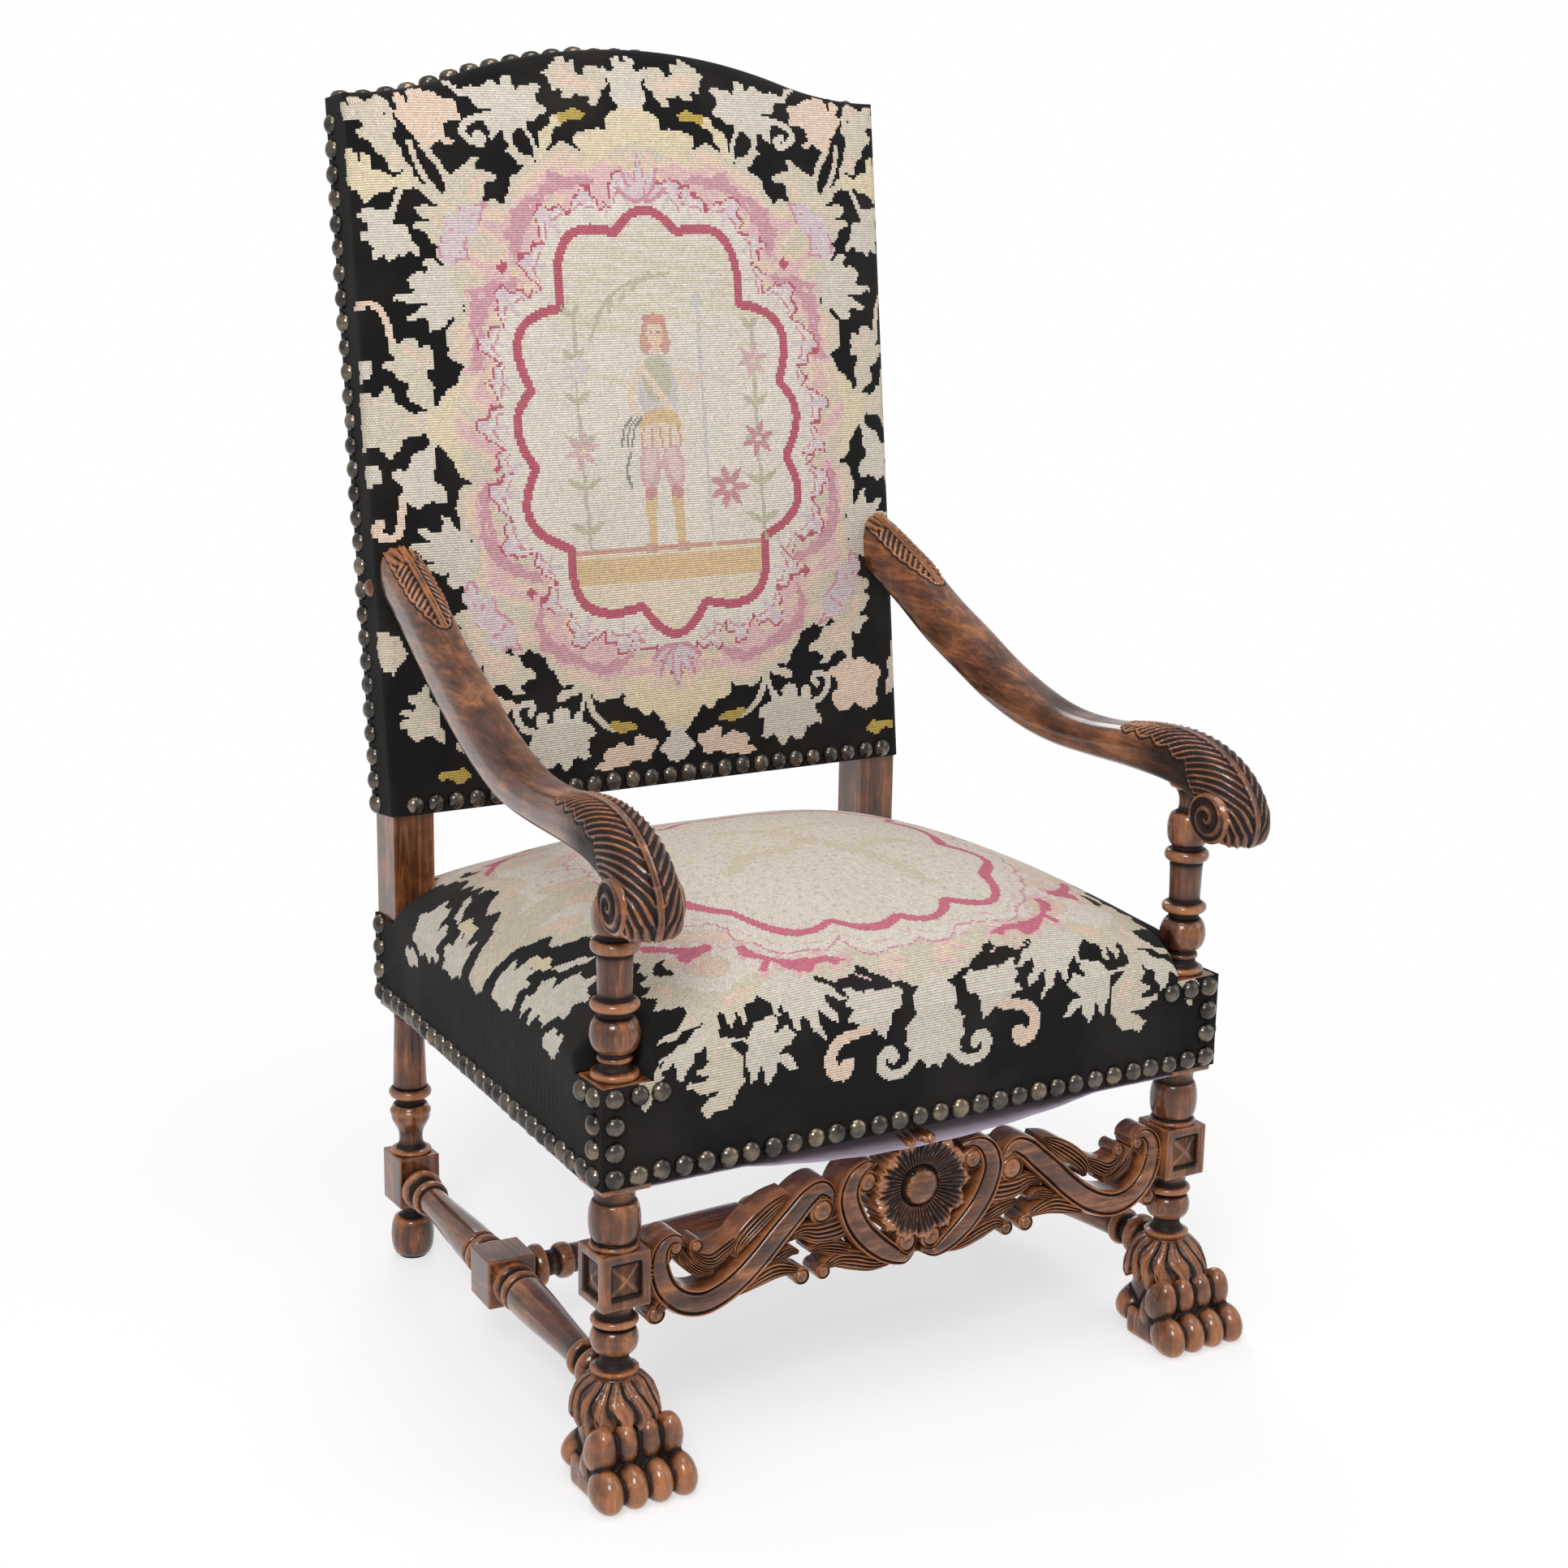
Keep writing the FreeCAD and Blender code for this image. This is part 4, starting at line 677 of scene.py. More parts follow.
LEAVES = (
    ((78, 195, 24), (95, 193, 24), (112, 194, 20), (128, 198, 13), (143, 192, 5)),
    ((195, 152, 7), (176, 161, 16), (157, 167, 19), (141, 165, 13), (129, 160, 6)),
    ((160, 172, 6), (150, 178, 11), (139, 181, 9), (129, 178, 4)),
    ((30, 148, 9), (50, 151, 16), (70, 158, 19), (88, 162, 15), (101, 157, 6)),
    ((74, 168, 10), (90, 174, 15), (105, 178, 11), (117, 177, 4)),
    ((140, 237, 5), (158, 228, 15), (177, 215, 18), (192, 201, 15), (196, 188, 5)),
    ((190, 208, 5), (206, 198, 13), (221, 191, 15), (234, 196, 10), (237, 205, 6)),
    ((252, 206, 4), (246, 193, 10), (234, 183, 10), (219, 178, 5)),
    ((262, 166, 9), (271, 158, 11), (276, 151, 9)),
    ((262, 205, 8), (276, 196, 18), (289, 192, 22)))
EYES = (
    (106, 214.5, 13.0, 4), (59, 234, 11.5, 6), (14, 165.7, 12.0, 6), (257.5, 210.5, 7.5, 3),
    (236, 207, 7.0, 1), (276, 150, 9.5, 1), (126, 154, 8.5, 2), (103, 153.5, 7.5, 2))
EYE_TURNING = (
    ("start", 0, 0.94), ("cone", 22, 1.0), ("swell", 2.2, 0.86), ("cone", -1.6, 0.76), ("swell", 1.4, 0.62),
    ("swell", 1.8, 0.10))


def through(points, count):
    """A smooth line through a few rows of numbers: each stretch is a
    cubic whose slope at a row follows the rows either side of it."""
    points = np.array(points, float)
    points = np.concatenate([2 * points[:1] - points[1:2], points, 2 * points[-1:] - points[-2:-1]])
    u = np.linspace(0, len(points) - 3, count)
    i = np.minimum(u.astype(int), len(points) - 4)
    t = (u - i)[:, None]
    a, b, c, d = points[i], points[i + 1], points[i + 2], points[i + 3]
    return 0.5 * (2 * b + (c - a) * t + (2 * a - 5 * b + 4 * c - d) * t ** 2
                  + (3 * b - a - 3 * c + d) * t ** 3)


def normalised(vectors):
    """The same directions, each with a length of 1."""
    return vectors / np.linalg.norm(vectors, axis=-1, keepdims=True)


def carved_band(points, side, section, proud):
    """A carved band: its width changes along a line in the board's plane, and its face follows a section,
    a height for each place across from -1 to 1. The ends are drawn to a point and the back is flat."""
    line = through(points, 10 * len(points))
    x, z, width = side * line[:, 0] / 1000, line[:, 1] / 1000, line[:, 2] / 1000
    run = normalised(np.stack([np.gradient(x), np.gradient(z)], -1))
    across = np.linspace(-1, 1, band_points)
    t = np.linspace(0, 1, len(line))[:, None]
    height = (proud + section(across)[None, :]) * np.clip(width / 0.012, 0.25, 1)[:, None]
    height = height + 0.0022 * np.sin(np.pi * t) - 0.5 * width[:, None] * np.abs(across) ** 8 * 0.10
    px = x[:, None] - across * run[:, 1:] * width[:, None] / 2
    pz = z[:, None] + across * run[:, :1] * width[:, None] / 2
    face = np.stack([px, board_front - height, pz], -1)
    back = np.stack([px, np.full_like(px, board_back), pz], -1)[:, [-1, 0]]
    ring = np.concatenate([face, back, face[:, :1]], 1)
    return capped(ring, ring.mean(1, keepdims=True))


def rimmed(across):
    """A rounded face between two raised rims, each with a groove inside it."""
    edge = np.abs(across)
    rim = 0.0030 * np.exp(-((edge - 0.88) / 0.09) ** 2) - 0.0020 * np.exp(-((edge - 0.68) / 0.07) ** 2)
    return 0.0056 * (1 - across ** 2) + rim


def fluted(across):
    """Five flutes side by side, the middle one highest, as on the blade of a leaf."""
    return 0.0040 * (1 - 0.8 * across ** 2) - 0.0024 * np.abs(np.cos(2.5 * np.pi * across)) ** 3


def shell_rosette(x, z):
    """The shell: a smooth boss, then a dish of fine ribs, then a frilled edge whose reach
    and height ripple with the angle. The last rings go round the edge and close the back."""
    share, angle = np.meshgrid(np.linspace(0, 1, rosette_rings), np.linspace(0, 2 * np.pi, rosette_sides),
                               indexing="ij")
    reach = 0.0475 + 0.0040 * np.abs(np.cos(6.5 * angle)) + 0.0014 * np.cos(39 * angle)
    radius = share * reach
    mm = radius * 1000
    boss = 0.0065 + 0.0075 * np.sqrt(np.clip(1 - (mm / boss_radius) ** 2, 0, 1))
    dish = 0.0028 + 0.0065 * np.clip((mm - 18) / 24, 0, 1) ** 1.6 + 0.0016 * np.abs(np.cos(26 * angle)) ** 0.7
    frill = 0.0034 * np.cos(13 * angle) * np.clip((mm - 33) / 12, 0, 1)
    frill = frill - 0.0040 * np.clip((mm - 44) / 8, 0, 1) ** 2
    height = np.where(mm < boss_radius, boss, dish + frill) + 0.0030 * np.exp(-((mm - 17.3) / 1.0) ** 2)
    height = height - 0.0025 * np.exp(-((mm - 19.6) / 0.9) ** 2)
    front = np.stack([x + radius * np.cos(angle), board_front - height, z + radius * np.sin(angle)], -1)
    rim = front[-1:].copy()
    rim[..., 1] = rosette_back
    hub = np.broadcast_to(np.array([x, rosette_back, z]), rim.shape)
    return np.concatenate([front, rim, hub]), 0.0


sheets = [shell_rosette(0.0, rosette_z)]
for side in (-1, 1):
    sheets.append((carved_band(S_SCROLL, side, rimmed, 0.0010), 0.0))
    sheets.append((carved_band(C_SCROLL, side, rimmed, 0.0035), 0.0))
    for leaf in LEAVES:
        sheets.append((carved_band(leaf, side, fluted, 0.0005), 0.0))
    for x, z, radius, proud in EYES:
        turned = tuple((form, rise, size * radius) for form, rise, size in EYE_TURNING)
        sheets.append(spun(turned, (side * x / 1000, board_back - 0.001, z / 1000),
                           (side * x / 1000, board_front - 0.003 - proud / 1000, z / 1000), eye_sides))
sheets += block(*KEY_BLOCK)
carving = assemble("front_stretcher_carving", sheets)
depth = carved_depth(carving.data, 10, 0.0012)
spots, facing = numbers(carving.data.vertices, "co"), numbers(carving.data.vertex_normals, "vector")
from_boss = np.hypot(spots[:, 0], spots[:, 2] - rosette_z)
shaded_dish = (from_boss > shaded_dish_ring[0]) & (from_boss < shaded_dish_ring[1])
# Painted shade: the carving's sides, which turn away from the front, and the rosette's sunk dish are lowered
# into the dark hollow colour.
depth -= 0.80 * np.clip(1 + 1.5 * facing[:, 1], 0, 1) + 0.50 * shaded_dish
carving.data.attributes["relief"].data.foreach_set("value", depth)
carving.data.materials.append(crosswise_walnut)
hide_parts("front_stretcher")
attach(carving, "root")


# Arms: sawn and carved walnut, seated on the supports' pegs and tenoned into the stiles. The
# hand-hold is a leaf that rolls over the front into a volute, and a smaller leaf lies at the rear.
arm_splay = 0.0315
arm_reach = 0.5303
arm_turn = math.atan2(arm_splay, arm_reach)
arm_eye = (-0.0545, 0.5465)
arm_eye_radius = 0.0255
volute_half = 0.0276
arm_sides = 145
arm_rows = (8, 92, 60, 210)
hand_leaf_tip = 85
rear_leaf_tip = 505
rear_leaf_length = 104.0
rear_leaf_margin = 0.004
hand_leaf_margin = 0.008
ARM_SPINE = (
    (552, 742, 54, 42), (520, 728, 56, 42), (493, 715, 58, 42), (445, 691, 59, 43), (393, 661, 59, 44),
    (340, 636, 57, 46), (293, 614, 53, 47), (240, 596, 47, 49), (190, 586, 41, 50), (140, 584, 39, 51),
    (90, 586, 43, 52), (50, 588.5, 50, 53), (12, 588, 54, 54), (-22, 581, 55, 54), (-49, 567, 53, 54),
    (-66, 548, 50, 53), (-70, 535, 43, 52), (-68, 526, 31, 49))


def arm_surface():
    """The arm: a section, a superellipse flattened below, carried along the
    spine. Two leaves are raised on it by their distance along the spine and
    their distance round from the top, with veins, a midrib and a lobed rim."""
    dense = through(ARM_SPINE, 3000) / 1000
    s, z = dense[:, 0], dense[:, 1]
    travel = np.concatenate([[0], np.cumsum(np.hypot(np.diff(s), np.diff(z)))])
    hand_start = np.interp(-hand_leaf_tip / 1000, -s[:2400], travel[:2400])
    rear_start = np.interp(-rear_leaf_tip / 1000, -s[:2400], travel[:2400])
    rear_end = rear_start + rear_leaf_length / 1000
    marks = (0, rear_start, rear_end + rear_leaf_margin, hand_start - hand_leaf_margin, travel[-1])
    stops = [np.linspace(a, b, rows)[:-1] for a, b, rows in zip(marks, marks[1:], arm_rows)]
    stops = np.concatenate(stops + [travel[-1:]])
    s, z, tall, wide = [np.interp(stops, travel, dense[:, k]) for k in range(4)]
    run = normalised(np.stack([np.gradient(s), np.gradient(z)], -1))
    angle = np.linspace(-np.pi, np.pi, arm_sides)
    across = np.sign(np.sin(angle)) * np.abs(np.sin(angle)) ** (2 / 2.7)
    above = np.sign(np.cos(angle)) * np.abs(np.cos(angle)) ** (2 / 2.7)
    above = np.where(above < 0, 0.92 * above, above)
    a = across[None] * wide[:, None] / 2
    b = above[None] * tall[:, None] / 2
    grid = np.stack([a, s[:, None] + b * run[:, 1:], z[:, None] - b * run[:, :1]], -1)
    step = np.linalg.norm(np.diff(grid, axis=1), axis=-1)
    round_ = np.concatenate([np.zeros((len(s), 1)), np.cumsum(step, 1)], 1)
    top = arm_sides // 2
    round_ = np.abs(round_ - round_[:, top:top + 1]) * 1000
    lift = leaf_lift((stops[:, None] - hand_start) * 1000, round_, True)
    lift = lift + leaf_lift((rear_end - stops[:, None]) * 1000, round_, False)
    normal = np.cross(np.gradient(grid, axis=0), np.gradient(grid, axis=1))
    normal = normal / (np.linalg.norm(normal, axis=-1, keepdims=True) + 1e-12)
    upward = np.stack([0 * s, run[:, 1], -run[:, 0]], -1)[:, None]
    normal = normal * np.sign((normal[:, top:top + 1] * upward).sum(-1, keepdims=True))
    grid = grid + normal * lift[..., None] / 1000
    grid[:, -1] = grid[:, 0]
    return capped(grid, grid.mean(1, keepdims=True))


def leaf_lift(along, round_, hand):
    """Height of a leaf, in millimetres: along is measured from its tip and round_
    from its midrib. Inside the lobed rim it stands proud, thin veins between
    hollows sweep from the midrib back to the tip, and the midrib is double."""
    if hand:
        rim = np.interp(along, [-2, 0, 14, 50, 100, 130, 250], [0, 15, 19, 25, 34, 60, 90])
        rim = rim + 5.2 * np.abs(np.sin(along * np.pi / 25)) ** 1.4
    else:
        rim = 19.5 * np.sqrt(np.clip(along, 0, 60) / 60) + 1.6 * np.abs(np.sin(along * np.pi / 15))
    rim = np.where(along > 0, rim, 0)
    inside = np.clip((rim - round_) / 1.3, 0, 1)
    inside = inside * inside * (3 - 2 * inside)
    vein = (along + 0.95 * round_ + 0.006 * round_ ** 2) / 9.6
    blade = 1.9 * (1 - np.abs(np.sin(np.pi * vein)) ** 0.75) - 1.05
    beside = np.clip((round_ - 3.4) / 1.2, 0, 1)
    midrib = 1.7 * np.exp(-((round_ - 1.7) / 1.25) ** 2) - 0.8 * np.exp(-((round_ - 4.2) / 0.8) ** 2)
    lip = 0.9 * np.exp(-((rim - round_ - 1.6) / 1.1) ** 2)
    groove = 0.5 * np.exp(-((rim - round_ + 0.9) / 0.8) ** 2) * (along > -1)
    return inside * (1.1 + blade * beside + midrib + lip) - groove


def volute_roll():
    """The roll under the hand: a drum across the arm whose round ends carry a spiral groove. The
    radius falls to the middle of each end, and the height there follows the radius plus the angle."""
    angle = np.linspace(0, 2 * np.pi, 97)
    share = np.concatenate([np.linspace(0, 0.96, 40), [1.0]])[:, None]
    disc = []
    for side in (-1, 1):
        turn = np.mod(2.1 * share - side * angle[None] / (2 * np.pi), 1.0)
        height = 0.0030 * np.abs(np.cos(np.pi * turn)) ** 2.2 * (share < 0.93)
        height = height + 0.0022 * (1 - share ** 2)
        height = height - 0.002 * np.clip((share - 0.9) / 0.1, 0, 1) ** 2
        radius = share * arm_eye_radius
        disc.append(np.stack([side * (volute_half + height), arm_eye[0] + radius * np.cos(angle)[None],
                              arm_eye[1] + radius * np.sin(angle)[None]], -1))
    return np.concatenate([disc[0], disc[1][::-1]])


for name, side in SIDES:
    c, s = math.cos(arm_turn), side * math.sin(arm_turn)
    turn = np.array([[c, s, 0], [-s, c, 0], [0, 0, 1]])
    seat = np.array([side * front_x, front_y, 0])
    arm = assemble(name + "_arm_wood", [(arm_surface() @ turn + seat, 0.0),
                                        (volute_roll() @ turn + seat, 0.0)])
    depth = carved_depth(arm.data, 8, 0.0007)
    spots = numbers(arm.data.vertices, "co")
    # The hand-hold is lowered towards its front end, so more of it takes the near-black colour that paints
    # shade in the hollows.
    depth -= 0.52 * np.clip((front_y + 0.085 - spots[:, 1]) / 0.07, 0, 1)
    arm.data.attributes["relief"].data.foreach_set("value", depth)
    arm.data.materials.append(lengthwise_walnut)
    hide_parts(name + "_arm")
    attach(arm, "root")


# Back cover: wool needlepoint on canvas over curled hair, drawn over the reclined back frame and
# nailed along its sides. A lobed medallion with a standing figure is framed by leaves on black.
stile_face_y = 0.231334
stile_depth = 0.045
back_half = 304.8
back_side = 713.3
back_rise = 49.0
arch_shoulder = 115.0
back_roll = 12.0
back_edge = 8.3
back_crown = 33.0
stitch = 2.4
back_middle = (0.0, 384.0)
WOOLS = {
    "black": (15, 12, 15), "cream": (212, 200, 181), "white": (214, 205, 191), "field": (224, 214, 202),
    "peach": (226, 201, 181), "straw": (222, 207, 176), "olive": (186, 160, 84), "ochre": (212, 172, 108),
    "mauve": (205, 156, 164), "pink": (222, 186, 184), "crimson": (185, 97, 112), "lilac": (214, 196, 200),
    "grey": (196, 190, 192), "sage": (176, 172, 142), "flesh": (228, 190, 162), "russet": (190, 128, 104),
    "teal": (72, 84, 88), "rust": (196, 112, 92),
    "beige": (216, 203, 180), "mist": (200, 196, 178), "rose": (206, 150, 160), "raspberry": (204, 114, 134)}


def wool(name):
    """A wool's colour, from screen values to linear light."""
    return (np.array(WOOLS[name]) / 255) ** 2.2


class Canvas:
    """A needlepoint canvas: where its stitches are, in millimetres
    from the pattern's middle, and each one's wool."""

    def __init__(self, x, y):
        self.x, self.y = x, y
        self.colour = np.tile(wool("black"), (len(x), 1))

    def work(self, inside, name):
        self.colour[inside] = wool(name)

    def turned(self, x, y, heading):
        """Places seen from a point: how far along a heading, in degrees from +x, and how far to its left."""
        c, s = math.cos(math.radians(heading)), math.sin(math.radians(heading))
        return (self.x - x) * c + (self.y - y) * s, (self.y - y) * c - (self.x - x) * s

    def outside(self, line, closed=True):
        """Distance to a line of points, the distance along the line of the nearest place, and whether the
        stitch is inside: a ray to the right crosses a closed line an odd number of times."""
        line = np.array(line, float)
        ends = np.roll(line, -1, 0) if closed else line[1:]
        best = np.full(len(self.x), 1e9)
        where = np.zeros(len(self.x))
        inside = np.zeros(len(self.x), bool)
        travel = 0.0
        for (ax, ay), (bx, by) in zip(line, ends):
            length = math.hypot(bx - ax, by - ay) + 1e-9
            t = np.clip(((self.x - ax) * (bx - ax) + (self.y - ay) * (by - ay)) / length ** 2, 0, 1)
            far = np.hypot(self.x - ax - t * (bx - ax), self.y - ay - t * (by - ay))
            nearer = far < best
            best[nearer] = far[nearer]
            where[nearer] = travel + t[nearer] * length
            crossing = ax + (self.y - ay) * (bx - ax) / (by - ay + 1e-12)
            inside ^= ((ay > self.y) != (by > self.y)) & (self.x < crossing)
            travel += length
        return best, where, inside

    def stem(self, points, width, name, end_width=None):
        """A line of wool through a few points whose width runs from one value to another."""
        line = through(points, 10 * len(points))
        far, where, _ = self.outside(line, closed=False)
        total = np.hypot(*np.diff(line, axis=0).T).sum()
        self.work(far < (width + ((end_width or width) - width) * where / total) / 2, name)

    def leaf(self, x, y, heading, length, width, name, vein=None):
        """A pointed leaf: its half width is a sine of the share along it, widest before the middle."""
        p, q = self.turned(x, y, heading)
        share = np.clip(p / length, 0, 1)
        half = width / 2 * np.sin(np.pi * share ** 0.8) ** 0.9
        self.work((p > 0) & (p < length) & (np.abs(q) < half), name)
        if vein:
            self.work((p > 0.1 * length) & (p < 0.8 * length) & (np.abs(q) < 1.3), vein)

    def bloom(self, x, y, radius, petals, name, heart=None, phase=0.0):
        """An open flower: the reach of its petals follows the cosine of the angle, with a notched edge."""
        far = np.hypot(self.x - x, self.y - y)
        angle = np.arctan2(self.y - y, self.x - x) - math.radians(phase)
        reach = radius * (0.50 + 0.42 * np.abs(np.cos(petals * angle / 2)) ** 0.7
                          + 0.08 * np.cos(3 * petals * angle))
        self.work(far < reach, name)
        if heart:
            self.work((far < 0.62 * reach) & (np.abs(np.sin(petals * angle / 2)) < 0.12)
                      & (far > 0.2 * radius), heart)
            self.work(far < 0.17 * radius, heart)


def blush_at(x, y):
    """Soft patches from -1 to 1: two waves multiplied, each bent by the other direction."""
    return np.sin(x / 17 + 2.1 * np.sin(y / 29)) * np.sin(y / 15 + 1.9 * np.sin(x / 37))


def lobed(cusps, peaks, count=12):
    """A closed outline of lobes: from each cusp to the next, a parabola through the peak between them."""
    t = np.linspace(0, 1, count, endpoint=False)[:, None]
    runs = []
    for i, peak in enumerate(peaks):
        a, b = np.array(cusps[i]), np.array(cusps[(i + 1) % len(cusps)])
        runs.append((1 - t) * a + t * b + 4 * t * (1 - t) * (np.array(peak) - (a + b) / 2))
    return np.concatenate(runs)


def mirrored(points):
    """A left half's points, then the same on the right in reverse order."""
    return list(points) + [(-x, y) for x, y in reversed(points)]


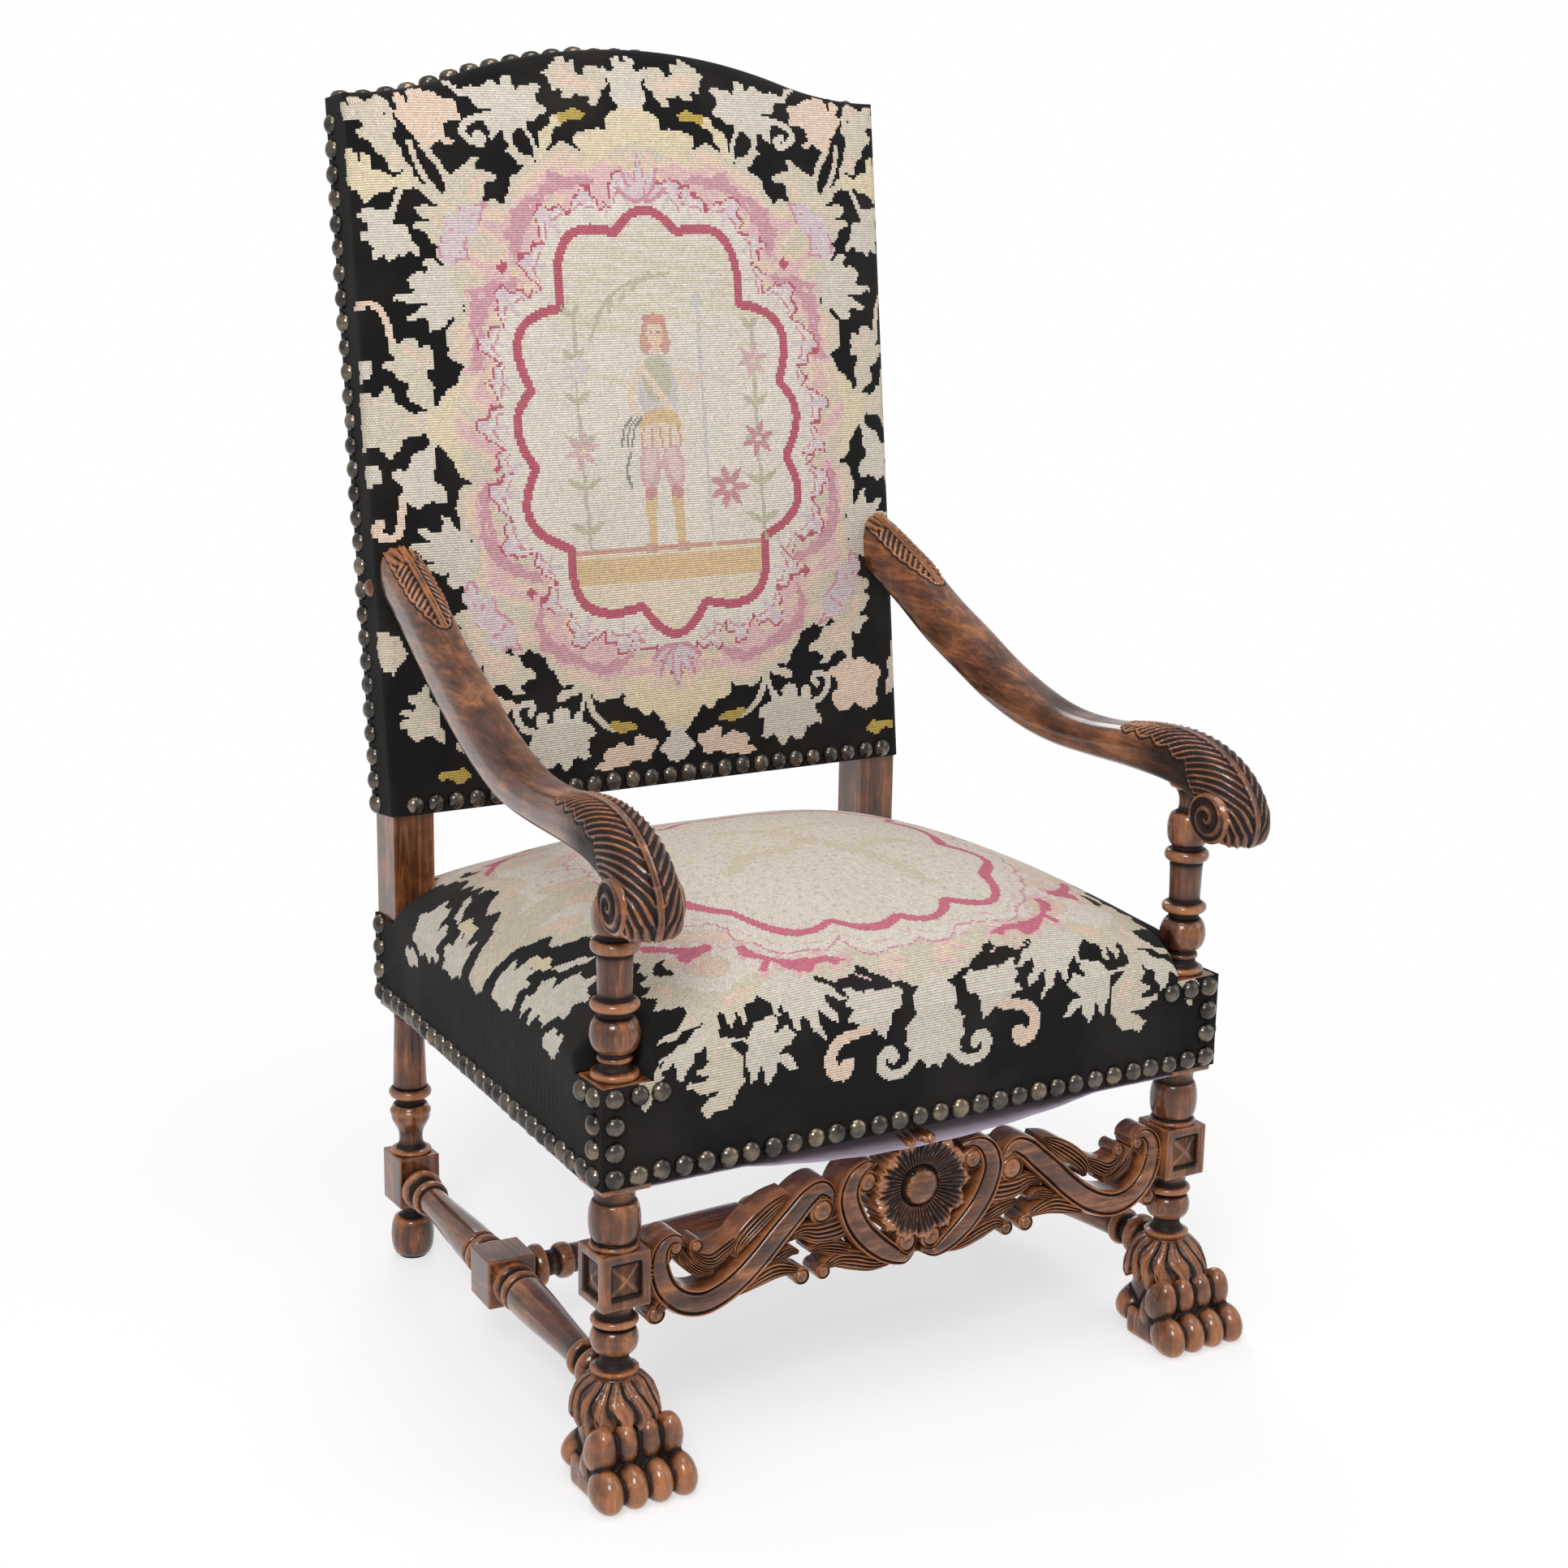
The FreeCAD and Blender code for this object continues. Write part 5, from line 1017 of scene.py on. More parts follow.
pattern_shift = 10
pattern_lean = 0.033
border_width = 9.6
MEDALLION_CUSPS = mirrored([(-38, 197), (-109, 121), (-151, 36), (-153, -44), (-120, -130), (-40, -197)])
MEDALLION_PEAKS = [
    (-95, 188), (-157, 94), (-169, 0), (-163, -96), (-104, -191), (0, -228), (104, -191), (163, -96),
    (169, 0), (157, 94), (95, 188), (0, 219)]
BACK_PATCHES = (
    ("cream", ((0, 326), (0, 323), (-14, 321), (-15, 314), (-22, 310), (-31, 307), (-28, 301), (-28, 294),
        (-34, 288), (-41, 294), (-48, 290), (-55, 292), (-62, 290), (-68, 286), (-64, 279), (-61, 271),
        (-66, 273), (-71, 278), (-79, 280), (-87, 279), (-94, 277), (-100, 272), (-105, 268), (-113, 262),
        (-123, 258), (-133, 254), (-141, 247), (-147, 238), (-150, 229), (-153, 219), (-159, 221),
        (-164, 224), (-171, 221), (-178, 221), (-189, 220), (-203, 213), (-213, 212), (-222, 208),
        (-225, 197), (-227, 186), (-230, 174), (-227, 163), (-218, 149), (-216, 138), (-216, 129),
        (-208, 122), (-207, 116), (-215, 112), (-224, 102), (-228, 94), (-230, 83), (-227, 73), (-221, 66),
        (-213, 61), (-217, 54), (-223, 48), (-224, 41), (-234, 37), (-239, 30), (-242, 22), (-250, 20),
        (-259, 16), (-263, 8), (-254, -11), (-242, -18), (-236, -26), (-231, -36), (-229, -43), (-220, -51),
        (-217, -56), (-223, -58), (-231, -62), (-234, -70), (-234, -81), (-234, -93), (-230, -101),
        (-222, -112), (-223, -140), (-232, -156), (-236, -170), (-230, -180), (-231, -190), (-227, -197),
        (-219, -205), (-215, -215), (-209, -222), (-201, -225), (-193, -222), (-185, -227), (-176, -229),
        (-171, -225), (-160, -229), (-154, -234), (-146, -245), (-141, -256), (-133, -265), (-119, -268),
        (-114, -270), (-103, -279), (-95, -283), (-87, -287), (-75, -284), (-70, -281), (-64, -280),
        (-63, -290), (-56, -294), (-48, -297), (-40, -304), (-36, -302), (-31, -294), (-27, -301),
        (-23, -306), (-18, -313), (-10, -325), (0, -330))),
    ("straw", ((0, 323), (-14, 321), (-15, 314), (-22, 310), (-31, 307), (-28, 294), (-41, 294), (-55, 292),
        (-68, 286), (-62, 274), (-57, 266), (-46, 262), (-40, 269), (-26, 277), (-12, 283), (0, 283))),
    ("straw", ((0, -330), (-10, -325), (-18, -313), (-27, -301), (-40, -304), (-56, -294), (-64, -281),
        (-58, -268), (-47, -263), (-36, -270), (-25, -279), (-11, -284), (0, -288))),
    ("straw", ((-219, 47), (-224, 41), (-234, 37), (-239, 30), (-242, 22), (-250, 20), (-259, 16),
        (-263, 8), (-254, -11), (-242, -18), (-236, -26), (-231, -36), (-229, -43), (-220, -50),
        (-224, -31), (-229, -15), (-233, 0))),
    ("mauve", ((-103, 254), (-91, 249), (-75, 247), (-61, 249), (-55, 244), (-61, 240), (-75, 240),
        (-86, 235), (-100, 235), (-108, 229), (-117, 219), (-126, 208), (-135, 195), (-141, 180),
        (-144, 169), (-149, 166), (-152, 174), (-154, 186), (-160, 188), (-151, 199), (-148, 213),
        (-136, 222), (-120, 229), (-108, 238))),
    ("mauve", ((-205, 136), (-192, 138), (-178, 144), (-158, 144), (-143, 147), (-156, 138), (-173, 131),
        (-183, 120), (-189, 108), (-192, 91), (-195, 74), (-194, 56), (-203, 58), (-211, 58), (-205, 69),
        (-202, 86), (-204, 102), (-201, 119), (-198, 130))),
    ("mauve", ((-202, -51), (-200, -68), (-202, -81), (-200, -98), (-197, -112), (-192, -126), (-182, -137),
        (-168, -145), (-154, -151), (-149, -158), (-160, -156), (-174, -151), (-187, -145), (-198, -138),
        (-209, -123), (-213, -106), (-210, -84), (-211, -68))),
    ("mauve", ((-151, -181), (-153, -195), (-151, -209), (-140, -223), (-126, -229), (-113, -240),
        (-99, -247), (-83, -250), (-63, -243), (-54, -240), (-60, -252), (-75, -258), (-91, -258),
        (-105, -253), (-118, -244), (-130, -245), (-143, -234), (-154, -229), (-159, -212), (-161, -195))),
    ("lilac", ((-225, 197), (-222, 208), (-213, 212), (-205, 213), (-202, 221), (-197, 224), (-189, 220),
        (-175, 221), (-181, 213), (-184, 202), (-199, 188), (-202, 180), (-199, 166), (-211, 166),
        (-222, 161), (-227, 166), (-229, 176), (-226, 188))),
    ("lilac", ((-235, -162), (-229, -148), (-224, -156), (-222, -168), (-210, -168), (-205, -173),
        (-203, -184), (-189, -195), (-184, -201), (-187, -212), (-179, -226), (-193, -222), (-201, -225),
        (-209, -222), (-215, -215), (-219, -205), (-227, -197), (-231, -190), (-236, -170))),
    ("white", ((-245, 165), (-237, 165), (-227, 161), (-222, 154), (-217, 147), (-216, 130), (-212, 122),
        (-208, 120), (-221, 111), (-229, 105), (-239, 101), (-246, 96), (-245, 102), (-243, 109),
        (-255, 111), (-266, 111), (-257, 118), (-244, 123), (-256, 127), (-270, 128), (-279, 129),
        (-271, 133), (-257, 136), (-255, 138), (-261, 144), (-264, 149), (-254, 152), (-246, 153),
        (-241, 158))),
    ("white", ((-252, -86), (-245, -91), (-236, -100), (-224, -111), (-221, -123), (-225, -140),
        (-229, -148), (-235, -156), (-245, -156), (-252, -151), (-250, -141), (-261, -140), (-275, -140),
        (-268, -134), (-261, -129), (-270, -126), (-286, -115), (-274, -112), (-263, -109), (-272, -104),
        (-279, -98), (-264, -101), (-250, -102), (-251, -95))),
    ("white", ((-301, 213), (-292, 216), (-282, 216), (-276, 213), (-277, 205), (-268, 201), (-261, 197),
        (-256, 188), (-251, 173), (-260, 176), (-265, 172), (-269, 176), (-274, 168), (-279, 166),
        (-281, 176), (-288, 170), (-294, 169), (-291, 179), (-299, 186), (-301, 191), (-294, 199),
        (-299, 206))),
    ("straw", ((-307, 274), (-302, 269), (-298, 261), (-295, 269), (-289, 265), (-287, 256), (-280, 251),
        (-274, 249), (-268, 248), (-258, 249), (-248, 248), (-244, 242), (-255, 238), (-266, 238),
        (-272, 237), (-280, 234), (-288, 229), (-295, 226), (-300, 231), (-305, 236), (-308, 247))),
    ("cream", ((-300, 323), (-289, 320), (-280, 322), (-273, 324), (-266, 323), (-262, 320), (-261, 313),
        (-263, 309), (-270, 309), (-260, 305), (-260, 299), (-262, 288), (-261, 277), (-256, 269),
        (-252, 261), (-249, 249), (-258, 255), (-266, 255), (-271, 261), (-274, 269), (-282, 277),
        (-290, 286), (-297, 294), (-290, 297), (-291, 301), (-298, 308), (-301, 313))),
    ("cream", ((-311, 318), (-297, 313), (-293, 309), (-298, 305), (-311, 306))),
    ("peach", ((-255, 324), (-251, 327), (-247, 323), (-243, 319), (-241, 326), (-236, 330), (-227, 334),
        (-222, 329), (-211, 327), (-201, 324), (-194, 319), (-192, 312), (-189, 305), (-198, 305),
        (-202, 302), (-210, 299), (-213, 294), (-212, 287), (-201, 283), (-207, 281), (-215, 283),
        (-223, 279), (-232, 279), (-239, 281), (-241, 286), (-237, 290), (-247, 294), (-251, 301),
        (-253, 306), (-257, 311), (-253, 315), (-255, 320))),
    ("cream", ((-229, 181), (-235, 187), (-242, 195), (-250, 199), (-244, 204), (-237, 205), (-242, 210),
        (-251, 219), (-242, 218), (-234, 216), (-225, 219), (-231, 226), (-238, 231), (-246, 237),
        (-248, 242), (-240, 241), (-230, 236), (-222, 229), (-217, 233), (-212, 244), (-213, 252),
        (-206, 248), (-201, 251), (-195, 258), (-188, 261), (-179, 266), (-181, 258), (-183, 251),
        (-174, 254), (-167, 252), (-162, 247), (-172, 242), (-176, 237), (-179, 229), (-181, 221),
        (-189, 220), (-197, 224), (-202, 221), (-205, 213), (-213, 212), (-222, 207))),
    ("white", ((-202, 341), (-194, 338), (-186, 334), (-174, 334), (-163, 337), (-158, 338), (-149, 340),
        (-142, 337), (-138, 344), (-131, 345), (-127, 338), (-123, 330), (-119, 336), (-108, 340),
        (-101, 337), (-105, 330), (-104, 320), (-98, 313), (-106, 308), (-114, 305), (-120, 304),
        (-121, 297), (-128, 299), (-133, 297), (-137, 290), (-140, 280), (-145, 288), (-148, 294),
        (-155, 292), (-161, 286), (-162, 291), (-163, 299), (-160, 308), (-156, 313), (-164, 316),
        (-172, 320), (-177, 327), (-188, 330), (-197, 336))),
    ("straw", ((-78, 305), (-87, 299), (-93, 291), (-98, 283), (-101, 274), (-103, 268), (-109, 268),
        (-110, 280), (-106, 288), (-99, 297), (-89, 306), (-78, 312))),
    ("olive", ((-54, 311), (-61, 307), (-70, 304), (-80, 304), (-82, 309), (-78, 312), (-70, 314),
        (-61, 312))),
    ("cream", ((-146, 273), (-137, 276), (-129, 270), (-121, 266), (-116, 261), (-127, 259), (-138, 266))),
    ("cream", ((-92, 351), (-84, 352), (-85, 361), (-76, 362), (-68, 368), (-62, 363), (-58, 363),
        (-58, 354), (-52, 351), (-46, 348), (-42, 358), (-37, 361), (-29, 356), (-24, 351), (-21, 341),
        (-31, 338), (-30, 330), (-40, 322), (-46, 322), (-44, 330), (-51, 331), (-59, 333), (-65, 326),
        (-72, 329), (-70, 334), (-83, 336), (-83, 341), (-87, 347))),
    ("white", ((0, 320), (-15, 322), (-19, 324), (-16, 334), (-20, 347), (-24, 356), (-17, 354), (-10, 358),
        (-10, 365), (-5, 370), (-3, 363), (0, 364))),
    ("white", ((-316, 71), (-307, 68), (-306, 58), (-317, 52))),
    ("cream", ((-296, 65), (-283, 69), (-287, 79), (-284, 86), (-277, 86), (-273, 91), (-267, 88),
        (-260, 88), (-259, 80), (-251, 81), (-245, 74), (-247, 63), (-254, 61), (-251, 47), (-249, 22),
        (-260, 23), (-269, 30), (-273, 38), (-273, 49), (-286, 58), (-292, 62))),
    ("cream", ((-320, 36), (-304, 36), (-294, 42), (-288, 36), (-286, 27), (-279, 20), (-271, 18),
        (-260, 16), (-260, 0), (-274, -4), (-286, -8), (-289, -18), (-296, -26), (-300, -18), (-311, -13),
        (-322, -15))),
    ("white", ((-295, -40), (-284, -40), (-278, -31), (-267, -20), (-254, -13), (-254, -26), (-258, -40),
        (-255, -54), (-244, -63), (-247, -70), (-259, -68), (-263, -73), (-271, -69), (-274, -76),
        (-282, -73), (-286, -62), (-290, -51))),
    ("white", ((-320, -34), (-307, -36), (-306, -44), (-321, -53))),
    ("cream", ((-250, -190), (-239, -181), (-230, -181), (-231, -191), (-227, -197), (-217, -206),
        (-215, -215), (-209, -222), (-201, -225), (-190, -231), (-179, -240), (-166, -254), (-177, -259),
        (-186, -259), (-179, -270), (-189, -268), (-197, -262), (-205, -254), (-214, -265), (-222, -273),
        (-220, -259), (-221, -245), (-222, -237), (-232, -240), (-243, -227), (-232, -225), (-240, -212),
        (-252, -204), (-239, -200))),
    ("white", ((-174, -327), (-168, -322), (-172, -315), (-162, -309), (-166, -298), (-163, -293),
        (-156, -297), (-154, -304), (-145, -304), (-144, -293), (-138, -288), (-131, -295), (-129, -304),
        (-119, -298), (-116, -306), (-107, -309), (-99, -322), (-109, -327), (-108, -337), (-103, -345),
        (-119, -343), (-125, -348), (-132, -355), (-141, -348), (-155, -350), (-162, -345), (-160, -337),
        (-179, -337))),
    ("olive", ((-82, -313), (-71, -312), (-60, -313), (-49, -322), (-60, -320), (-74, -322))),
    ("cream", ((-141, -280), (-131, -272), (-119, -268), (-118, -275), (-128, -280))),
    ("peach", ((-97, -359), (-86, -354), (-89, -345), (-80, -341), (-69, -334), (-62, -340), (-54, -340),
        (-51, -331), (-41, -330), (-33, -333), (-27, -337), (-30, -348), (-33, -354), (-50, -354),
        (-58, -356), (-78, -361))),
    ("cream", ((-313, -290), (-300, -287), (-309, -279), (-297, -279), (-294, -270), (-300, -265),
        (-283, -256), (-279, -268), (-273, -284), (-272, -298), (-267, -315), (-276, -306), (-287, -304),
        (-296, -306), (-306, -301), (-304, -295))),
    ("olive", ((-275, -348), (-261, -343), (-250, -344), (-239, -351), (-253, -355), (-264, -352))),
    ("beige", ((-325, -200), (-306, -201), (-305, -212), (-298, -220), (-310, -229), (-313, -240),
        (-321, -231), (-326, -226))),
    ("peach", ((-255, -318), (-240, -328), (-228, -318), (-215, -324), (-200, -325), (-195, -305),
        (-206, -297), (-190, -282), (-205, -272), (-230, -270), (-250, -278), (-262, -290), (-252, -300))),
    ("white", ((0, -322), (-5, -330), (-13, -334), (-16, -343), (-22, -348), (-15, -351), (-8, -356),
        (0, -362))))
BACK_STEMS = (
    ("white", 6, 6, ((-260, 237), (-267, 224), (-274, 207))),
    ("cream", 6, 6, ((-247, 281), (-242, 261), (-234, 244), (-222, 229))),
    ("cream", 7, 7, ((-234, 277), (-221, 261), (-212, 241), (-207, 229))),
    ("straw", 5, 5, ((-245, 245), (-239, 237), (-225, 224))),
    ("white", 7, 8, ((-161, 308), (-175, 305), (-187, 299), (-190, 290), (-183, 283), (-173, 280),
        (-170, 286), (-176, 289))),
    ("white", 5, 5, ((-124, 297), (-116, 283), (-113, 265))),
    ("peach", 7, 7, ((-315, 122), (-301, 126), (-291, 116), (-286, 99), (-285, 84))),
    ("peach", 8, 8, ((-288, -63), (-292, -84), (-297, -101), (-308, -104), (-316, -98), (-311, -88))),
    ("white", 7, 7, ((-165, -313), (-179, -309), (-187, -298), (-188, -287), (-175, -281), (-169, -286),
        (-173, -293))),
    ("cream", 8, 6, ((-112, -269), (-106, -284), (-101, -298), (-90, -311), (-78, -318))),
    ("white", 5, 5, ((-116, -300), (-111, -283))))


def frame_of_leaves(canvas):
    """The leaves, flowers and pale frame on the black ground: the left half's patches and
    stems, folded over to the right. Every edge is nibbled by a sine of the distance along
    it, cream pieces are touched with peach and the frame is peach within its edge."""
    blush = blush_at(canvas.x, canvas.y)
    for name, width, end_width, points in BACK_STEMS:
        canvas.stem(points, width, name, end_width)
    for i, (name, outline) in enumerate(BACK_PATCHES):
        far, along, inside = canvas.outside(outline)
        canvas.work(inside | (far < 1.4 + 1.8 * np.sin(along / 3.7)), name)
        if i == 0:
            canvas.work(inside & (far > 6) & (blush < 0.5), "peach")
            canvas.work(inside & (far > 18) & (far < 60) & (blush < 0.05), "pink")
        elif name == "cream":
            canvas.work(inside & (far > 5) & (blush > 0.2), "peach")
        elif name == "mauve":
            canvas.work(~inside & (far < 6) & (np.sin(along / 3.3) > 0.3), "pink")
            canvas.work(inside & (far > 5) & (blush > 0.4), "pink")
        elif name == "lilac":
            canvas.work((far < 1.5) & (np.sin(along / 9) > -0.6), "rose")
            canvas.work(inside & (far > 6) & (np.abs(np.sin(along / 13)) < 0.16), "rose")


def leaf_ring(canvas, medallion):
    """A ring of pale toothed leaves round the medallion, outlined in thin rose lines whose
    reach is a triangle wave of the distance along it, then the border and the pale field."""
    far, along, inside = canvas.outside(medallion)
    sway = along + 7 * np.sin(along / 37)
    tooth = np.abs(np.mod(sway / 33.0, 1.0) * 2 - 1)
    small = np.abs(np.mod(sway / 16.5 + far / 30, 1.0) * 2 - 1)
    reach = 13 + 22 * tooth + 9 * small
    canvas.work(~inside & (far < reach + 2), "lilac")
    canvas.work(~inside & (far < 0.75 * reach), "field")
    canvas.work(~inside & (np.abs(far - reach) < 2.0), "crimson")
    canvas.work(~inside & (np.abs(far - 0.55 * reach) < 1.5) & (tooth > 0.30), "rose")
    canvas.work(~inside & (far > 4) & (far < 0.8 * reach) & (tooth > 0.90), "lilac")
    canvas.work(inside, "field")
    canvas.work(inside & (far < border_width), "crimson")
    for side in (-1, 1):
        for corner in (159, -168):
            canvas.bloom(side * 164, corner, 7, 4, "crimson")
    for foot, heading in ((223, 90), (-234, -90)):
        for turn in (-64, -32, 0, 32, 64):
            canvas.leaf(0, foot, heading + turn, 48 - abs(turn) * 0.2, 13, "rose")
            canvas.leaf(0, 1.013 * foot, heading + turn, 41 - abs(turn) * 0.2, 8.5, "lilac")


def tree(canvas, x, foot, top, flowers):
    """A thin flowering tree: an upright stem, pairs of sage leaves and star flowers at some heights."""
    canvas.stem([(x, foot), (x - 3, (foot + top) / 2), (x + 1, top)], 4.5, "sage")
    for i, height in enumerate(np.linspace(foot + 18, top - 4, 6)):
        for side in (-1, 1):
            canvas.leaf(x - 2, height, 90 + side * (62 - 4 * i), 26 - 2 * i, 7.5, "sage")
    for height, name in flowers:
        for turn in range(0, 360, 60):
            canvas.leaf(x - 2, height, turn + 15, 21, 7, name)
        canvas.bloom(x - 2, height, 4, 1, "straw")


def standing_figure(canvas):
    """The figure with a staff: hair, face, tunic, sash, kilt, puffed
    breeches, hose and shoes, each a plain patch."""
    x, y = canvas.x, canvas.y

    def oval(cx, cy, rx, ry, name, heading=0.0):
        c, s = math.cos(math.radians(heading)), math.sin(math.radians(heading))
        p, q = (x - cx) * c + (y - cy) * s, (y - cy) * c - (x - cx) * s
        canvas.work((p / rx) ** 2 + (q / ry) ** 2 < 1, name)

    canvas.stem([(52, -134), (52, 0), (53, 118)], 4.2, "grey")
    oval(53, 122, 6.5, 9, "grey")
    for side in (-1, 1):
        canvas.stem([(-2 + 13 * side, -40), (-2 + 16 * side, -92), (-2 + 16 * side, -128)], 17, "ochre", 9)
        oval(-2 + 14 * side, -48, 13, 25, "mauve", 6 * side)
        oval(-2 + 14 * side, -44, 7, 20, "pink", 10 * side)
        canvas.stem([(-2 + 14 * side, -74), (-2 + 17 * side, -76)], 12, "crimson")
        oval(-2 + 19 * side, -132, 11, 5, "russet")
    canvas.stem([(18, 52), (36, 34), (50, 44)], 12, "peach", 7)
    canvas.stem([(-20, 52), (-33, 24), (-24, 0)], 12, "peach", 8)
    oval(-1, 30, 23, 40, "grey")
    oval(-1, 42, 17, 24, "sage")
    canvas.stem([(-18, 56), (2, 26), (18, 2)], 8, "peach")
    oval(-1, -6, 25, 18, "ochre")
    oval(-1, -16, 28, 13, "peach")
    for i in range(5):
        canvas.stem([(-22 + 10.5 * i, -8), (-24 + 11.5 * i, -27)], 2.4, "russet")
    for shift in (0, 6, 12):
        canvas.stem([(-22 - shift, 4), (-32 - shift, -8), (-36 - shift, -26)], 2.4, "teal")
    canvas.stem([(-38, -32), (-44, -50), (-40, -68)], 3.2, "teal")
    oval(1, 92, 14.5, 17.5, "russet")
    oval(-11, 80, 6, 13, "russet")
    oval(12, 80, 6, 13, "russet")
    oval(1, 88, 9.4, 13, "flesh")
    oval(1, 73, 5, 7, "flesh")
    for side in (-1, 1):
        oval(1 + 4 * side, 90, 1.7, 1.3, "teal")
    oval(1, 81, 2.6, 1.2, "rust")
    oval(1, 104, 14, 5, "rust")


def back_pattern(x, y):
    """The wool of every stitch of the back, from the ground up to the figure. The pattern's axis
    leans a little to the left, and the wools inside the medallion have faded towards its field."""
    x = x - pattern_shift + pattern_lean * y
    canvas = Canvas(-np.abs(x), y)
    frame_of_leaves(canvas)
    canvas.x = x
    medallion = lobed(MEDALLION_CUSPS, MEDALLION_PEAKS)
    leaf_ring(canvas, medallion)
    far, along, inside = canvas.outside(medallion)
    ground = inside & (far > border_width)
    weave = np.mod(np.floor(y / 4.8) + np.floor(x / 37 + np.sin(y / 11)), 3)
    canvas.work(ground & (y < -134), "straw")
    canvas.work(ground & (y < -138) & (y > -166), "ochre")
    canvas.work(ground & (y < -166) & (weave == 0), "peach")
    canvas.work(ground & (np.abs(y + 132) < 3.0), "rust")
    canvas.work(ground & (y > 96 + 12 * np.sin(x / 40)) & (weave < 2), "beige")
    canvas.work(ground & (y > 20) & (y < 100) & (weave == 0) & (np.sin(x / 19 + y / 9) > 0.5), "beige")
    tree(canvas, -92, -130, 112, ((52, "lilac"), (-28, "mauve")))
    tree(canvas, 117, -130, 96, ((58, "mauve"), (-24, "crimson")))
    for turn in range(0, 360, 51):
        canvas.leaf(75, -73, turn, 25, 9, "crimson")
    canvas.bloom(75, -73, 5, 1, "straw")
    canvas.stem([(-74, 84), (-52, 122), (-20, 142), (22, 150)], 4, "sage")
    for shift in range(5):
        canvas.leaf(-66 + 14 * shift, 98 + 11 * shift, 75 - 10 * shift, 17, 6, "sage")
    standing_figure(canvas)
    canvas.colour[ground] = 0.66 * canvas.colour[ground] + 0.34 * wool("field")
    return canvas.colour


def back_top(x):
    """Height of the back's edge over its foot, in millimetres: an arc
    over the middle and a hollow at each shoulder."""
    theta = 2 * math.atan(back_rise / back_half)
    hollow = arch_shoulder / math.sin(theta)
    turn = back_half - arch_shoulder
    turn_rise = hollow * (1 - math.cos(theta))
    ball = (turn ** 2 + (back_rise - turn_rise) ** 2) / (2 * (back_rise - turn_rise))
    x = np.minimum(np.abs(x), back_half)
    outer = hollow - np.sqrt(hollow ** 2 - (back_half - x) ** 2)
    inner = back_rise - ball + np.sqrt(np.clip(ball ** 2 - x ** 2, 0, None))
    return back_side + np.where(x > turn, outer, inner)


def back_swell(x, u):
    """How far the stuffed face stands before the frame: a rolled edge, then
    a crown that fades to the sides, the nail band at the foot and the arch,
    with the low dents that springy hair takes under a tight cover."""
    inset = np.minimum(np.minimum(back_half - np.abs(x), back_top(x) - u), 60.0)
    roll = np.sqrt(np.clip(1 - (1 - np.clip(inset / back_roll, 0, 1)) ** 2, 0, 1))
    across = 1 - np.clip(np.abs(x) / back_half, 0, 1) ** 5
    up = np.interp(u, [0, 24, 40, 76, 167, 380, 593, 680, 720, 762],
                   [0, 0, 0.12, 0.47, 0.86, 1.0, 0.88, 0.58, 0.36, 0.08])
    over = np.clip((back_top(x) - u) / 60, 0, 1) ** 0.6
    dent = 0.7 * np.sin(x / 53 + 1.0) * np.sin(u / 71) + 0.45 * np.sin(x / 29 - u / 37)
    return back_edge * roll + (back_crown - back_edge + dent) * across * up * over


def back_place(x, u, w):
    """Places on the reclined back, in metres: x across, u up its face
    and w behind it, given in millimetres."""
    c, s = math.cos(recline), math.sin(recline)
    return np.stack([x, 1000 * stile_face_y + w * c + u * s, 1000 * back_low_z - w * s + u * c], -1) / 1000


def stitched(name, points, faces, colour, threads):
    """A cover's mesh: faces of four points, one colour of wool for
    each face, and a UV map that counts stitches."""
    used, faces = np.unique(faces, return_inverse=True)
    faces = faces.reshape(-1, 4)
    mesh = quad_mesh(name, points[used], faces)
    shade = np.concatenate([np.repeat(colour, 4, 0), np.ones((faces.size, 1))], 1)
    mesh.attributes.new("wool", "FLOAT_COLOR", "CORNER").data.foreach_set("color", shade.ravel())
    mesh.uv_layers.new(name="threads").data.foreach_set("uv", threads[used][faces.ravel()].ravel())
    joined = bmesh.new()
    joined.from_mesh(mesh)
    bmesh.ops.remove_doubles(joined, verts=joined.verts, dist=1e-5)
    joined.to_mesh(mesh)
    joined.free()
    mesh.shade_smooth()
    return placed(name, mesh)


def needlepoint(name):
    """Wool tent stitch: the colour of each stitch from the mesh, slanted stitches in the bump from
    the stitch count, painted shade in the gaps between rows, a faint painted highlight on the stitch crowns,
    a little dust in broad patches and a soft sheen."""
    paint, shader, wire = material(name, {"Roughness": 0.93, "Specular IOR Level": 0.12, "Sheen Weight": 0.04,
                                          "Sheen Roughness": 0.5})
    dyed = wire.node("ShaderNodeAttribute", {"attribute_name": "wool"}, out="Color")
    threads = wire.node("ShaderNodeUVMap", {"uv_map": "threads"})
    column, row, _ = threads.parts()
    rows = (row * math.pi).sine()
    slant = ((column + 0.5 * row) * math.pi).sine()
    height = 0.65 * rows * rows + 0.35 * slant * slant
    dust = wire.noise(wire.where(), 9.0, 4.0)
    gap = 1.0 - height.above(0.0, 0.55)
    # Painted shade in the gaps between stitch rows.
    colour = (0.58 * gap).mix(dyed, (0.016, 0.013, 0.014, 1.0))
    # Painted highlight on the crowns of the stitches.
    colour = (0.035 * height.above(0.40, 1.0)).mix(colour, (0.36, 0.33, 0.31, 1.0))
    colour = (0.06 * dust.above(0.45, 0.75)).mix(colour, (0.26, 0.22, 0.18, 1.0))
    colour.into(shader, "Base Color")
    height.bump(0.70, 0.0013).into(shader, "Normal")
    return paint


def dyed(colour, seed):
    """The same wools with each stitch a little lighter or darker, as hand-dyed wool takes."""
    spread = np.random.default_rng(seed).normal(1.0, 0.065, (len(colour), 1))
    return np.clip(colour * spread, 0.002, 1.0)


